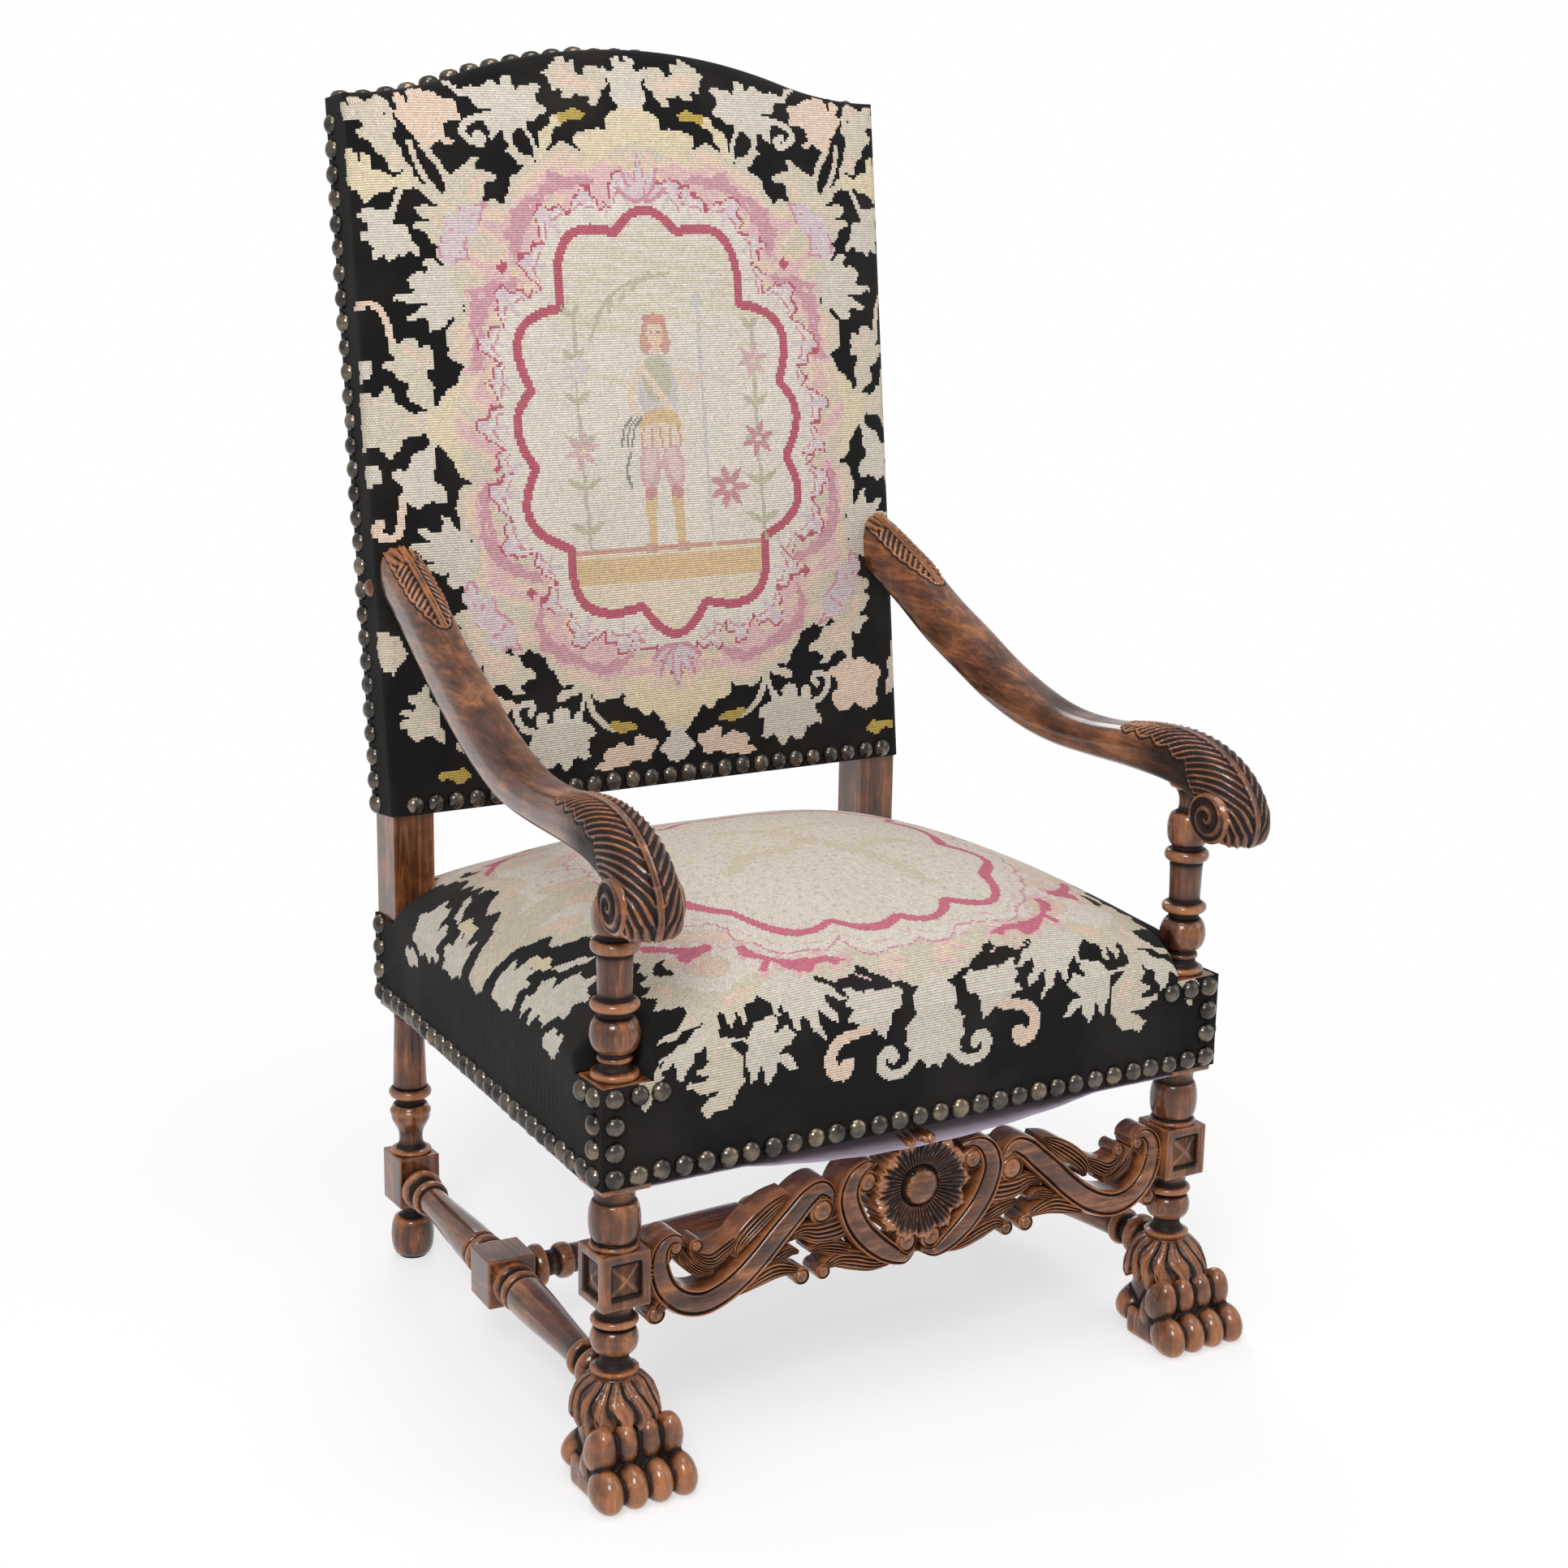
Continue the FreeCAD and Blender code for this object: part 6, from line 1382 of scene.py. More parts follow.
columns = np.linspace(back_roll - back_half, back_half - back_roll,
                      1 + round(2 * (back_half - back_roll) / stitch))
rows = np.arange(0, back_side + back_rise, stitch)
u, x = np.meshgrid(rows, columns, indexing="ij")
ceiling = back_top(x) - back_roll
cut = u >= ceiling
u = np.minimum(u, ceiling)
panel = back_place(x, u, -back_swell(x, u)).reshape(-1, 3)
threads = np.stack([x / stitch, u / stitch], -1).reshape(-1, 2)
faces = cells(*x.shape)
faces = faces[~cut.ravel()[faces].all(1)]
middle = np.stack([x, u], -1).reshape(-1, 2)[faces].mean(1)

arch = np.linspace(-1, 1, 181)
arch_x = np.sin(arch * np.pi / 2) * back_half
side_steps = 160
roll_steps = 9
wrap_steps = 18
cover_lap = 1.5
cover_tuck = 0.8
foot = np.linspace(0, 1, side_steps, endpoint=False)
outline = np.concatenate([np.stack([0 * foot - back_half, foot * back_side], -1),
                          np.stack([arch_x, back_top(arch_x)], -1),
                          np.stack([0 * foot + back_half, (1 - foot - 1 / side_steps) * back_side], -1)])
slope = np.gradient(outline, axis=0)
inward = normalised(np.stack([slope[:, 1], -slope[:, 0]], -1))
inward[:3], inward[-3:] = (1, 0), (-1, 0)
roll_in = back_roll * (1 - np.sin(np.linspace(0, np.pi / 2, roll_steps)))
roll_in = np.concatenate([[back_roll + cover_lap], roll_in, np.zeros(wrap_steps)])
roll_back = np.linspace(0, 1000 * stile_depth + cover_lap, 1 + wrap_steps)[1:]
roll_back = np.concatenate([np.zeros(1 + roll_steps), roll_back])
strip = outline[:, None] + inward[:, None] * roll_in[None, :, None]
strip_w = -back_swell(strip[..., 0], strip[..., 1])
strip_w[:, 0] += cover_tuck
strip_w[:, 1 + roll_steps:] = roll_back[1 + roll_steps:]
border = back_place(strip[..., 0], strip[..., 1], strip_w).reshape(-1, 3)
along = np.concatenate([[0], np.cumsum(np.linalg.norm(np.diff(outline, axis=0), axis=1))])
across = -roll_in + roll_back
border_threads = np.stack(np.broadcast_arrays(across[None] / stitch, along[:, None] / stitch),
                          -1).reshape(-1, 2)
border_faces = cells(*strip.shape[:2], start=len(panel))
flat = strip - inward[:, None] * roll_back[None, :, None]
border_middle = np.concatenate([np.zeros((len(panel), 2)), flat.reshape(-1, 2)])[border_faces].mean(1)

spots = np.concatenate([middle, border_middle]) - np.array(back_middle)
back_cover = stitched("back_needlepoint", np.concatenate([panel, border]),
                      np.concatenate([faces, border_faces]),
                      dyed(back_pattern(spots[:, 0], spots[:, 1]), 11),
                      np.concatenate([threads, border_threads]))
back_cover.data.materials.append(needlepoint("wool_needlepoint"))
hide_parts("back_cover", "back_stuffing")
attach(back_cover, "root")


# Seat cover: wool needlepoint over springs and curled hair, drawn over the four rails and nailed
# along their lower edges. It is cut round the arm supports and the stiles and folded in there.
seat_front = -297.5
seat_rear = 278.6
seat_low = 283.0
seat_side_z = 385.0
seat_half_front = 337.8
seat_half_rear = 304.8
notch_front = -246.9
notch_rear = 231.0
notch_share = 0.850
notch_floor = 376.2
notch_fold = 9.0
notch_fade = 11.0
seat_stitch = 2.45
SEAT_CROWN = (
    (-297.5, 399), (-292, 415), (-284, 430), (-271, 444), (-247, 458), (-215, 467), (-180, 475),
    (-120, 483), (-56, 486.5), (20, 486), (88, 480), (130, 472.5), (174, 460.5), (210, 448), (231, 440),
    (278.6, 419))


def seat_half(y):
    """Half width of the seat in millimetres: even at the front posts, then tapering to the stiles."""
    share = np.clip((y - notch_front) / (notch_rear - notch_front), 0, 1)
    return seat_half_front + share * (seat_half_rear - seat_half_front)


def seat_height(x, y):
    """Height of the stuffed top: the crown along the middle line, rounded off to the side
    edges, with shallow dents over the springs and a fold down into the notches at the posts."""
    line = through(SEAT_CROWN, 400)
    crown = np.interp(y, line[:, 0], line[:, 1])
    share = np.clip(np.abs(x) / seat_half(y), 0, 1)
    dent = 0.9 * np.sin(x / 61 + 0.6) * np.sin(y / 57) + 0.5 * np.sin(x / 31 + y / 43)
    height = seat_side_z + (crown + dent - seat_side_z) * (1 - share ** 2.9) ** 0.75
    notch_x = notch_share * seat_half(y)
    for gap_y in (y - notch_front, notch_rear - y):
        gap = np.hypot(np.clip(notch_x - np.abs(x), 0, None), np.clip(gap_y, 0, None))
        height = height - notch_fold * np.clip(1 - gap / notch_fade, 0, 1) ** 2
    return height


SEAT_CUSPS = [
    (0, -230), (-66, -216), (-146, -165), (-160, -70), (-160, 70), (-146, 165), (-66, 216), (0, 230),
    (66, 216), (146, 165), (160, 70), (160, -70), (146, -165), (66, -216)]
SEAT_PEAKS = [
    (-34, -240), (-116, -221), (-176, -118), (-176, 0), (-176, 118), (-116, 221), (-34, 240), (34, 240),
    (116, 221), (176, 118), (176, 0), (176, -118), (116, -221), (34, -240)]
SEAT_PATCHES = (
    ("cream", ((0, 0), (0, -311), (-14, -303), (-26, -301), (-38, -295), (-50, -290), (-62, -280),
        (-74, -275), (-84, -282), (-98, -285), (-112, -280), (-124, -272), (-134, -273), (-150, -283),
        (-172, -279), (-186, -284), (-194, -289), (-199, -305), (-204, -289), (-211, -307), (-216, -289),
        (-226, -283), (-236, -293), (-250, -293), (-268, -301), (-284, -299), (-266, -291), (-252, -279),
        (-246, -267), (-258, -264), (-268, -257), (-262, -243), (-268, -233), (-258, -225), (-262, -213),
        (-250, -207), (-256, -195), (-246, -185), (-262, -167), (-256, -151), (-268, -137), (-258, -117),
        (-254, -99), (-262, -89), (-276, -81), (-280, -65), (-270, -53), (-284, -43), (-290, -33),
        (-304, -23), (-322, -19), (-332, -9), (-336, 0))),
    ("white", ((-178, -277), (-170, -292), (-164, -306), (-160, -293), (-152, -312), (-145, -325),
        (-142, -307), (-130, -325), (-119, -340), (-124, -322), (-128, -307), (-112, -317), (-103, -326),
        (-110, -311), (-118, -295), (-104, -301), (-93, -304), (-106, -292), (-122, -278), (-140, -265))),
    ("white", ((-192, -314), (-185, -307), (-172, -304), (-168, -312), (-170, -321), (-158, -320),
        (-149, -329), (-160, -337), (-166, -344), (-152, -351), (-147, -360), (-158, -357), (-168, -351),
        (-172, -363), (-176, -372), (-180, -361), (-184, -353), (-190, -360), (-195, -366), (-196, -351),
        (-201, -339), (-196, -329), (-202, -323))),
    ("cream", ((-234, -281), (-241, -303), (-240, -319), (-238, -331), (-237, -339), (-247, -347),
        (-236, -351), (-228, -350), (-240, -356), (-257, -358), (-246, -367), (-232, -366), (-226, -368),
        (-234, -375), (-246, -381), (-238, -388), (-222, -386), (-211, -378), (-204, -365), (-202, -351),
        (-207, -337), (-216, -327), (-223, -317), (-226, -303), (-220, -287))),
    ("white", ((-242, -297), (-256, -307), (-270, -315), (-285, -321), (-280, -329), (-286, -339),
        (-272, -335), (-268, -345), (-262, -353), (-258, -341), (-252, -331), (-246, -323), (-240, -311))),
    ("cream", ((-296, -329), (-288, -335), (-282, -345), (-290, -351), (-292, -363), (-300, -371),
        (-308, -359), (-304, -347), (-300, -337))),
    ("white", ((0, -297), (-15, -303), (-20, -313), (-23, -325), (-20, -333), (-33, -342), (-27, -349),
        (-33, -358), (-26, -364), (-27, -374), (-19, -369), (-12, -374), (-7, -386), (0, -379))),
    ("white", ((-94, -296), (-80, -300), (-60, -303), (-42, -303), (-33, -305), (-38, -317), (-48, -325),
        (-51, -333), (-54, -348), (-62, -339), (-70, -335), (-77, -340), (-84, -330), (-94, -325),
        (-87, -317), (-94, -310), (-88, -304))),
    ("white", ((-330, -45), (-318, -37), (-306, -43), (-310, -55), (-300, -63), (-306, -75), (-300, -85),
        (-312, -81), (-316, -93), (-322, -83), (-332, -91), (-330, -75), (-338, -67), (-330, -57))),
    ("straw", ((-299, -59), (-293, -71), (-291, -89), (-296, -101), (-301, -89), (-302, -73))),
    ("white", ((-330, -111), (-322, -103), (-316, -115), (-308, -107), (-302, -117), (-308, -129),
        (-296, -137), (-286, -141), (-292, -153), (-280, -163), (-294, -171), (-302, -185), (-312, -175),
        (-324, -181), (-322, -167), (-334, -159), (-326, -145), (-334, -133), (-326, -123))),
    ("white", ((-298, -103), (-288, -111), (-276, -123), (-268, -135), (-278, -131), (-290, -121))),
    ("white", ((-346, -167), (-336, -171), (-330, -179), (-336, -189), (-330, -199), (-340, -203),
        (-350, -195))),
    ("black", ((-232, -197), (-244, -201), (-248, -209), (-240, -219), (-236, -227), (-236, -213),
        (-235, -203))),
    ("black", ((-248, -269), (-260, -266), (-273, -273), (-277, -286), (-262, -290), (-252, -281))),
    ("black", ((-286, -304), (-264, -301), (-249, -294), (-256, -303), (-272, -310), (-286, -315))),
    ("black", ((-262, -127), (-258, -135), (-266, -151), (-270, -139))))
SEAT_SCROLLS = (
    ((-240, -159), (-230, -167), (-218, -184), (-204, -196), (-188, -200), (-186, -209), (-206, -213),
     (-218, -217), (-222, -205), (-217, -198), (-230, -183), (-238, -173)),
    ((-170, -217), (-161, -219), (-158, -235), (-146, -248), (-126, -256), (-100, -257), (-80, -266),
     (-92, -271), (-98, -265), (-112, -266), (-118, -273), (-130, -270), (-140, -262), (-150, -251),
     (-160, -261), (-166, -257), (-155, -245), (-166, -241), (-172, -231)))

SEAT_SPRAY = (((71, -166), (57, -86), (26, -20), (0, 40), (-44, 90)), ((48, -70), (84, -52), (118, -58)),
              ((26, -20), (-14, -44), (-60, -50), (-98, -84)), ((4, 34), (40, 52), (78, 60)))


def seat_pattern(x, y):
    """The wool of every stitch of the seat. A quarter of the leaves, frame and scrolls is drawn and
    folded over to both sides and both ends; the medallion is drawn shorter towards the rear."""
    canvas = Canvas(-np.abs(x), -np.abs(y))
    blush = blush_at(x, y)
    for name, outline in SEAT_PATCHES:
        far, along, inside = canvas.outside(outline)
        canvas.work(inside | (far < 0.8 + 1.8 * np.sin(along / 3.7)), name)
        if name == "cream":
            canvas.work(inside & (far > 7) & (blush > 0.45), "peach")
            canvas.work(inside & (far > 22) & (blush < 0.30), "field")
    canvas.stem([(-20, -371), (-30, -381), (-44, -385), (-56, -379), (-58, -367), (-50, -362), (-45, -368)],
                9, "white", 12)
    canvas.stem([(-72, -336), (-90, -339), (-104, -343), (-112, -355), (-110, -369), (-99, -374),
                 (-94, -367)], 9, "peach", 15)
    canvas.stem([(-202, -321), (-214, -319), (-226, -314), (-232, -306)], 4, "white")
    canvas.x, canvas.y = x, np.where(y > 0, 2.0 * y, y)
    far, along, inside = canvas.outside(lobed(SEAT_CUSPS, SEAT_PEAKS))
    canvas.work(~inside & (far < 26), "field")
    scallop = 15 + 7 * np.abs(np.sin(along / 9.5)) + 9 * np.abs(np.sin(along / 31))
    canvas.work(~inside & (np.abs(far - scallop) < 1.2), "rose")
    canvas.work(~inside & (np.abs(far - 0.55 * scallop) < 1.2) & (np.sin(along / 4.2) > -0.2), "pink")
    canvas.work(~inside & (far > scallop) & (far < 58)
                & (np.sin(along / 5.1 + far / 7) * np.sin(far / 3.4) > 0.70), "pink")
    canvas.work(inside, "field")
    canvas.work(inside & (far < 10.5 + 2.0 * np.sin(along / 17)), "raspberry")
    inner = inside & (far > 15)
    fleck = np.sin(x / 3.1 + 2 * np.sin(y / 23)) * np.sin(y / 4.3 + 1.6 * np.sin(x / 31))
    canvas.work(inner & (fleck > 0.72) & (blush > 0.1), "beige")
    canvas.work(inner & (fleck < -0.80) & (blush < 0.1), "mist")
    canvas.work(inner & (fleck > 0.45) & (y > -60) & (blush > -0.3), "straw")
    for sprig in SEAT_SPRAY:
        canvas.stem(sprig, 3, "mist", 8)
        canvas.work(canvas.outside(through(sprig, 30), closed=False)[0] < 9 + 6 * fleck, "beige")
    canvas.x, canvas.y = -np.abs(x), -np.abs(y)
    for outline in SEAT_SCROLLS:
        far, along, inside = canvas.outside(outline)
        canvas.work(inside, "raspberry")
        canvas.work(~inside & (far < 7) & (np.sin(along / 3.3) > 0.2) & (canvas.y < -150), "pink")
    return canvas.colour


crown_line = through(SEAT_CROWN, 600)
crown_run = np.concatenate([[0], np.cumsum(np.hypot(*np.diff(crown_line, axis=0).T))])
front_rise = SEAT_CROWN[0][1] - seat_low
seat_middle = (4.0, 440.0)


def seat_reach(y):
    """Length of cover from the front's lower edge, over the front edge, to a place on the middle line."""
    return front_rise + np.interp(y, crown_line[:, 0], crown_run)


def seat_rows(start, end):
    """Places from front to rear one stitch apart along the crowned middle line."""
    low, high = seat_reach(start), seat_reach(end)
    reach = np.linspace(low, high, 1 + round((high - low) / seat_stitch))
    return np.interp(reach - front_rise, crown_run, crown_line[:, 0])


def seat_top(shares, start, end):
    """A strip of the seat's top between two places, over some shares
    of its half width, with each stitch's place."""
    y, share = np.meshgrid(seat_rows(start, end), shares, indexing="ij")
    x = share * seat_half(y)
    return np.stack([x, y, seat_height(x, y)], -1), np.stack([x, seat_reach(y)], -1)


def seat_wall(x, y, low, high, drop):
    """An upright strip under an edge of the seat, along some places, and where its stitches are in the
    pattern: drop says which way they leave the edge, sideways and then to the front (1) or rear (-1)."""
    x, y, high = np.broadcast_arrays(x, y, high)
    count = 1 + round(float(np.max(high - low)) / seat_stitch)
    share = np.linspace(0, 1, max(count, 2))[:, None]
    z = low + share * (high - low)
    points = np.stack([x + 0 * z, y + 0 * z, z], -1)
    down = high - z
    along = z - seat_low if drop[1] > 0 else seat_reach(y) - drop[1] * down
    return points, np.stack([x + drop[0] * down, along], -1)


inner_columns = 235
outer_columns = 22
inner_shares = np.linspace(-notch_share, notch_share, inner_columns)
outer_shares = np.linspace(notch_share, 1, outer_columns)
side_shares = [-outer_shares[::-1], outer_shares]
front_line_x = inner_shares * seat_half_front
sheets = [seat_top(inner_shares, seat_front, notch_front),
          seat_top(np.concatenate([side_shares[0][:-1], inner_shares, side_shares[1][1:]]), notch_front,
                   notch_rear),
          seat_top(inner_shares, notch_rear, seat_rear),
          seat_wall(front_line_x, seat_front, seat_low, seat_height(front_line_x, seat_front), (0, 1))]
rear_line_x = inner_shares[::-1] * seat_half_rear
sheets.append(seat_wall(rear_line_x, seat_rear, seat_low, seat_height(rear_line_x, seat_rear), (0, -1)))
for side, shares in zip((-1, 1), side_shares):
    for place, outward in ((seat_front, 1), (seat_rear, -1)):
        edge_x = shares[::outward] * seat_half(place)
        sheets.append(seat_wall(edge_x, place, seat_low, notch_floor, (0, outward)))
    for start, end in ((seat_front, notch_front), (notch_rear, seat_rear)):
        y = seat_rows(start, end)[::side]
        edge = notch_share * side * seat_half(y)
        sheets.append(seat_wall(edge, y, notch_floor, seat_height(edge, y), (0, 0)))
        sheets.append(seat_wall(side * seat_half(y), y, seat_low, notch_floor, (side, 0)))
    for place, outward in ((notch_front, 1), (notch_rear, -1)):
        edge_x = shares[::outward] * seat_half(place)
        sheets.append(seat_wall(edge_x, place, notch_floor, seat_height(edge_x, place), (0, 0)))
    y = seat_rows(notch_front, notch_rear)[::side]
    edge = side * seat_half(y)
    sheets.append(seat_wall(edge, y, seat_low, seat_height(edge, y), (side, 0)))
seat_points, seat_spots, seat_faces, start = [], [], [], 0
for points, spots in sheets:
    seat_faces.append(cells(*points.shape[:2], start=start))
    seat_points.append(points.reshape(-1, 3) / 1000)
    seat_spots.append(spots.reshape(-1, 2))
    start += len(seat_points[-1])
seat_spots, seat_faces = np.concatenate(seat_spots), np.concatenate(seat_faces)
spots = seat_spots[seat_faces].mean(1) - np.array(seat_middle)
seat_cover = stitched("seat_needlepoint", np.concatenate(seat_points), seat_faces,
                      dyed(seat_pattern(spots[:, 0], spots[:, 1]), 23), seat_spots / seat_stitch)
seat_cover.data.materials.append(bpy.data.materials["wool_needlepoint"])
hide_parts("seat_cover", "seat_stuffing")
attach(seat_cover, "root")


# Dust cover: a thin lilac-grey cotton tacked under the seat rails and cut round the legs. Its front
# edge has come loose between the tacks and hangs in a shallow curve.
dust_z = 278.9
dust_sag = 16.0
dust_sag_half = 194.0
dust_fade = 60.0
dust_front = -295.0
dust_rear = 276.0
dust_inset = 2.8
front_leg_gap = 285
rear_leg_gap = 256
cloth_thickness = 0.0008
dust_grid = (141, 121)


def woven(name, colour, second, threads, weave=0.5, rough=0.9):
    """A plain woven cloth: warp and weft as two crossed sine waves in
    the bump, a second colour in soft patches and in the dips between the threads, which is painted shade
    where that colour is the darker one."""
    paint, shader, wire = material(name, {"Roughness": rough, "Specular IOR Level": 0.2})
    place = wire.where()
    across, deep, high = place.parts()
    up = high + deep
    warp = (across * (math.pi * threads)).sine()
    weft = (up * (math.pi * threads)).sine()
    height = warp * warp + weft * weft
    patch = wire.noise(place, 14.0, 5.0)
    # The dips of the weave take a quarter of the second colour: painted shade where it is the darker one.
    shade = (0.75 * patch.above(0.40, 0.66) + 0.25 * (1.0 - height.above(0.2, 1.2))).mix(colour, second)
    shade.into(shader, "Base Color")
    height.bump(weave, 0.0005).into(shader, "Normal")
    return paint


def cloth(name, points, keep, paint, node):
    """A sheet of cloth from a grid of points in metres and a mask of
    the cells that are kept, with a thin Solidify."""
    faces = cells(*points.shape[:2])[keep.ravel()]
    used, faces = np.unique(faces, return_inverse=True)
    mesh = bpy.data.meshes.new(name)
    mesh.from_pydata(points.reshape(-1, 3)[used], [], faces.reshape(-1, 4))
    mesh.shade_smooth()
    mesh.materials.append(paint)
    piece = placed(name, mesh)
    thick = piece.modifiers.new("thickness", "SOLIDIFY")
    thick.thickness = cloth_thickness
    thick.offset = 0.0
    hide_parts(node)
    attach(piece, "root")
    return piece


share, y = np.meshgrid(np.linspace(-1, 1, dust_grid[0]), np.linspace(dust_front, dust_rear, dust_grid[1]))
x = share * (seat_half(y) - dust_inset)
droop = np.clip(1 - (x / dust_sag_half) ** 2, 0, None) * np.exp((dust_front - y) / dust_fade)
ripple = 0.7 * np.sin(x / 17 + np.sin(y / 40)) * np.clip(droop * 3, 0.15, 1)
under = np.stack([x, y, dust_z - dust_sag * droop - np.abs(ripple)], -1) / 1000
cell_x = np.abs(x[:-1, :-1] + x[1:, 1:]) / 2
cell_y = (y[:-1, :-1] + y[1:, 1:]) / 2
at_front_leg = (cell_y < notch_front) & (cell_x > front_leg_gap)
at_rear_leg = (cell_y > notch_rear) & (cell_x > rear_leg_gap)
dust_cotton = woven("dust_cotton", (0.52, 0.46, 0.57, 1), (0.40, 0.35, 0.45, 1), 900)
dust = cloth("dust_cover_cloth", under, ~(at_front_leg | at_rear_leg), dust_cotton, "dust_cover")


# Outside back cloth: a dark plain cotton over the rear of the back frame, turned in under the
# side nails and a little slack in the middle.
outside_half = 302.0
outside_depth = 47.0
outside_slack = 1.0
outside_low = 3.0
outside_short = 5.0
outside_grid = (101, 121)
share, rise = np.meshgrid(np.linspace(-1, 1, outside_grid[0]), np.linspace(0, 1, outside_grid[1]))
x = share * outside_half
u = outside_low + rise * (back_top(x) - outside_short)
slack = outside_slack * np.sin(np.pi * (share + 1) / 2) * np.sin(np.pi * rise)
slack = slack * (0.6 + 0.4 * np.sin(x / 47) * np.sin(u / 61))
keep = np.ones((len(x) - 1, x.shape[1] - 1), bool)
dark_cotton = woven("dark_cotton", (0.030, 0.024, 0.024, 1), (0.050, 0.040, 0.038, 1), 700)
outside = cloth("outside_back_cotton", back_place(x, u, outside_depth - slack)[:, ::-1], keep, dark_cotton,
                "outside_back_cloth")


# Close nailing: round-headed nails of dark bronze, hammered side by side along the seat's lower
# edges, up the post corners and round the back. Each head is a small dome, a little out of true.
nail_radius = 10.3
nail_rise = 7.6
nail_pitch = 22.5
back_nail_pitch = 24.0
nail_inset = 10.6
low_row = 293.6
high_row = 365.4
front_row_x = 324.9
rear_row_x = 291.9
low_back_row_x = 280.9
corner_row_x = 279.9
front_row_y = -284.6
corner_row_y = -262.1
rear_row_y = 265.7
flank_bend_y = (-247.2, 231.3)
back_row_depth = 34.4
back_row_top = 711.0
head_sides = 12
DOME_RISE = np.array([-0.12, 0.0, 0.42, 0.85, 1.22])


def bronze(name):
    """Dark patinated bronze: brown and grey-green patches, brighter rubbed spots and a satin gloss."""
    paint, shader, wire = material(name, {"Metallic": 0.92})
    place = wire.where()
    patch = wire.noise(place, 46.0, 3.0)
    speck = wire.noise(place, 420.0, 3.0)
    tone = wire.node("ShaderNodeValToRGB", {"stops": [
        (0.36, (0.045, 0.041, 0.040)), (0.66, (0.240, 0.190, 0.135)), (0.50, (0.100, 0.088, 0.076))]},
        {0: 0.88 * patch + 0.12 * speck})
    tone.into(shader, "Base Color")
    (0.13 + 0.13 * speck).into(shader, "Roughness")
    speck.bump(0.10, 0.0005).into(shader, "Normal")
    return paint


nail_bronze = bronze("nail_bronze")


def nail_heads(node, places, normals, seed):
    """Domes on some places, in millimetres, that stand along their normals, or along
    one normal for all: each ring's radius is the cosine and its height the sine of its
    rise, a point closes it, and small seeded tilts, shifts and sizes are added."""
    draw = np.random.default_rng(seed)
    places = np.array(places, float)
    count = len(places)
    normals = normalised(np.array(normals, float) + draw.normal(0, 0.05, (count, 3)))
    first = normalised(np.cross(normals, np.where(np.abs(normals[:, 2:]) > 0.8, (1.0, 0, 0), (0, 0, 1.0))))
    second = np.cross(normals, first)
    angle = np.linspace(0, 2 * np.pi, head_sides, endpoint=False)
    ring = np.stack([np.cos(DOME_RISE)[:, None] * np.cos(angle),
                     np.cos(DOME_RISE)[:, None] * np.sin(angle)], -1)
    ring = np.concatenate([ring.reshape(-1, 2), [[0, 0]]]) * nail_radius
    lift = np.concatenate([np.repeat(np.sin(DOME_RISE), head_sides), [1.0]]) * nail_rise
    size = draw.normal(1.0, 0.025, (count, 1, 1))
    points = size * (ring[:, :1] * first[:, None] + ring[:, 1:] * second[:, None]
                     + lift[:, None] * normals[:, None])
    points = points + places[:, None] + draw.normal(0, 0.35, (count, 1, 3))
    i, j = np.meshgrid(head_sides * np.arange(len(DOME_RISE)), np.arange(head_sides), indexing="ij")
    k = (j + 1) % head_sides
    walls = np.stack([(i + j)[:-1], (i + k)[:-1], (i + k)[1:], (i + j)[1:]], -1).reshape(-1, 4)
    tops = np.stack([(i + j)[-1], (i + k)[-1], np.full(head_sides, i.size)], -1)
    start = len(ring) * np.arange(count)[:, None, None]
    faces = (walls + start).reshape(-1, 4).tolist() + (tops + start).reshape(-1, 3).tolist()
    mesh = bpy.data.meshes.new(node + "_heads")
    mesh.from_pydata(points.reshape(-1, 3) / 1000, [], faces)
    mesh.shade_smooth()
    mesh.materials.append(nail_bronze)
    piece = placed(node + "_heads", mesh)
    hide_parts(node)
    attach(piece, "root")


def nail_row(start, end, pitch=nail_pitch, first=0, last=0):
    """Places at an even pitch from one point to another, without some at either end."""
    start, end = np.array(start, float), np.array(end, float)
    count = max(1, round(np.linalg.norm(end - start) / pitch))
    return (start + (end - start) * np.linspace(0, 1, count + 1)[:, None])[first:count + 1 - last]


def along_path(corners, shares):
    """Places and headings at some shares of the length of a line of points."""
    corners = np.array(corners, float)
    legs = np.diff(corners, axis=0)
    travel = np.concatenate([[0], np.cumsum(np.linalg.norm(legs, axis=1))])
    at = np.array(shares) * travel[-1]
    leg = np.clip(np.searchsorted(travel, at) - 1, 0, len(legs) - 1)
    heading = normalised(legs[leg])
    return corners[leg] + heading * (at - travel[leg])[:, None], heading


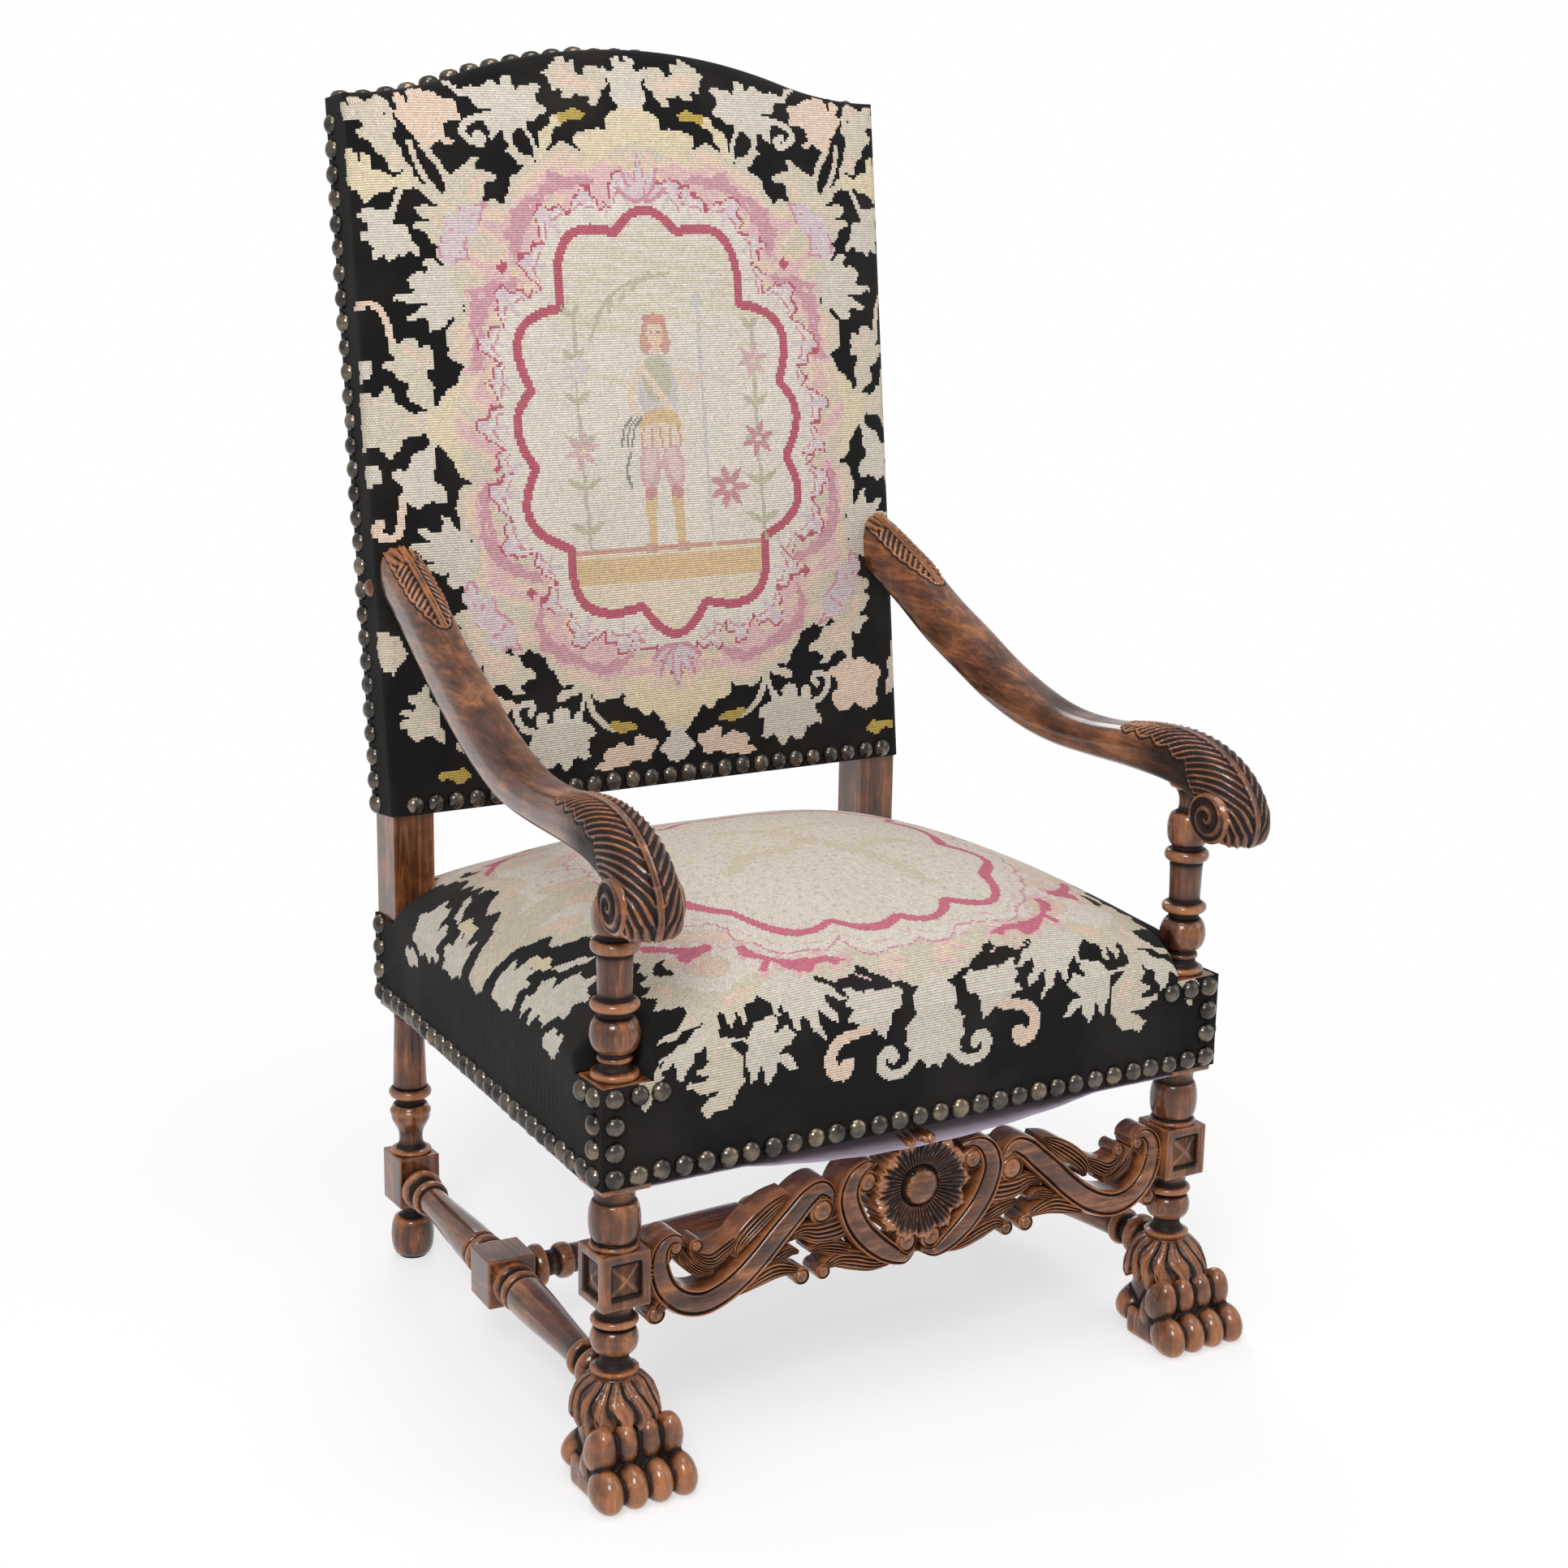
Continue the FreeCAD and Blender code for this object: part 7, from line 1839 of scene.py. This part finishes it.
forward, rearward = np.array([0, -1.0, 0]), np.array([0, 1.0, 0])
front_row = nail_row((-front_row_x, seat_front, low_row), (front_row_x, seat_front, low_row))
nail_heads("seat_front_nails", front_row, forward, 31)
rear_row = nail_row((-rear_row_x, seat_rear, low_row), (rear_row_x, seat_rear, low_row))
nail_heads("seat_rear_nails", rear_row, rearward, 32)
corner_nails, corner_normals = [], []
for name, side in SIDES:
    outer, inner = side * seat_half_front, side * seat_half_rear
    flank = np.array([(outer, front_row_y, low_row), (outer, flank_bend_y[0], low_row),
                      (inner, flank_bend_y[1], low_row), (inner, rear_row_y, low_row)])
    count = round(np.linalg.norm(np.diff(flank, axis=0), axis=1).sum() / nail_pitch)
    places, heading = along_path(flank, np.linspace(0, 1, count + 1))
    facing = side * np.stack([heading[:, 1], -heading[:, 0], heading[:, 2]], -1)
    nail_heads("seat_" + name + "_nails", places, facing, 33 + side)
    sideways = np.array([side, 0.0, 0])
    front_top, front_foot = [(side * front_row_x, seat_front, z) for z in (high_row, low_row)]
    flank_top, flank_foot = [(outer, front_row_y, z) for z in (high_row, low_row)]
    rear_top, rear_foot = [(inner, rear_row_y, z) for z in (high_row, low_row)]
    runs = [(nail_row(front_top, (side * corner_row_x, seat_front, high_row)), forward),
            (nail_row(front_top, front_foot, first=1, last=1), forward),
            (nail_row(flank_top, (outer, corner_row_y, high_row)), sideways),
            (nail_row(flank_top, flank_foot, first=1, last=1), sideways),
            (nail_row(rear_top, rear_foot, last=1), sideways)]
    for places, normal in runs:
        corner_nails += places.tolist()
        corner_normals += [normal] * len(places)
    run = nail_row((side * back_half, nail_inset, back_row_depth),
                   (side * back_half, back_row_top, back_row_depth),
                   back_nail_pitch, last=1)
    nail_heads("back_" + name + "_nails", 1000 * back_place(*run.T), sideways, 37 + side)
nail_heads("post_nails", corner_nails, corner_normals, 40)
low = nail_row((-low_back_row_x, nail_inset, -back_edge), (low_back_row_x, nail_inset, -back_edge))
tilt = np.array([0, -math.cos(recline), math.sin(recline)])
nail_heads("back_low_nails", 1000 * back_place(*low.T), tilt, 41)
edge_x = np.linspace(-back_half, back_half, 400)
edge_line = np.stack([edge_x, back_top(edge_x)], -1)
count = round(np.linalg.norm(np.diff(edge_line, axis=0), axis=1).sum() / back_nail_pitch)
places, heading = along_path(edge_line, (np.arange(count) + 0.5) / count)
outward = np.stack([-heading[:, 1], heading[:, 0] * math.sin(recline), heading[:, 0] * math.cos(recline)], -1)
nail_heads("back_top_nails", 1000 * back_place(places[:, 0], places[:, 1], back_row_depth), outward, 42)


# Inside the upholstery: rails and corner blocks, jute webbing, hessian, coil springs and the dust
# cover's tacks, and the caps over the arms' fixings. They all keep their own solids.
def spring_wire(name):
    """Blued steel wire: dark grey with brown rust in patches."""
    paint, shader, wire = material(name, {"Metallic": 0.8})
    rust = wire.noise(wire.where(), 60.0, 5.0)
    tone = rust.above(0.52, 0.70).mix((0.10, 0.10, 0.11, 1), (0.13, 0.055, 0.025, 1))
    tone.into(shader, "Base Color")
    (0.34 + 0.4 * rust.above(0.5, 0.7)).into(shader, "Roughness")
    return paint


steel = spring_wire("blued_steel")
jute = woven("jute_webbing", (0.30, 0.21, 0.11, 1), (0.18, 0.12, 0.065, 1), 420, 0.8)
sacking = woven("hessian_cloth", (0.36, 0.27, 0.15, 1), (0.25, 0.18, 0.10, 1), 480, 0.8)
INSIDE = ((crosswise_walnut, ("front_seat_rail", "rear_seat_rail", "crest_rail", "lower_back_rail")),
          (lengthwise_walnut, ("left_seat_rail", "right_seat_rail", "seat_corner_blocks")),
          (upright_walnut, ("arm_bolt_caps",)),
          (jute, ("seat_webbing_across", "seat_webbing_lengthwise", "back_webbing_upright",
                  "back_webbing_across")),
          (sacking, ("seat_hessian", "back_hessian")), (steel, ("seat_springs", "dust_cover_tacks")))
for paint, nodes in INSIDE:
    for node in nodes:
        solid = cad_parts[node].data
        solid.materials.clear()
        solid.materials.append(paint)
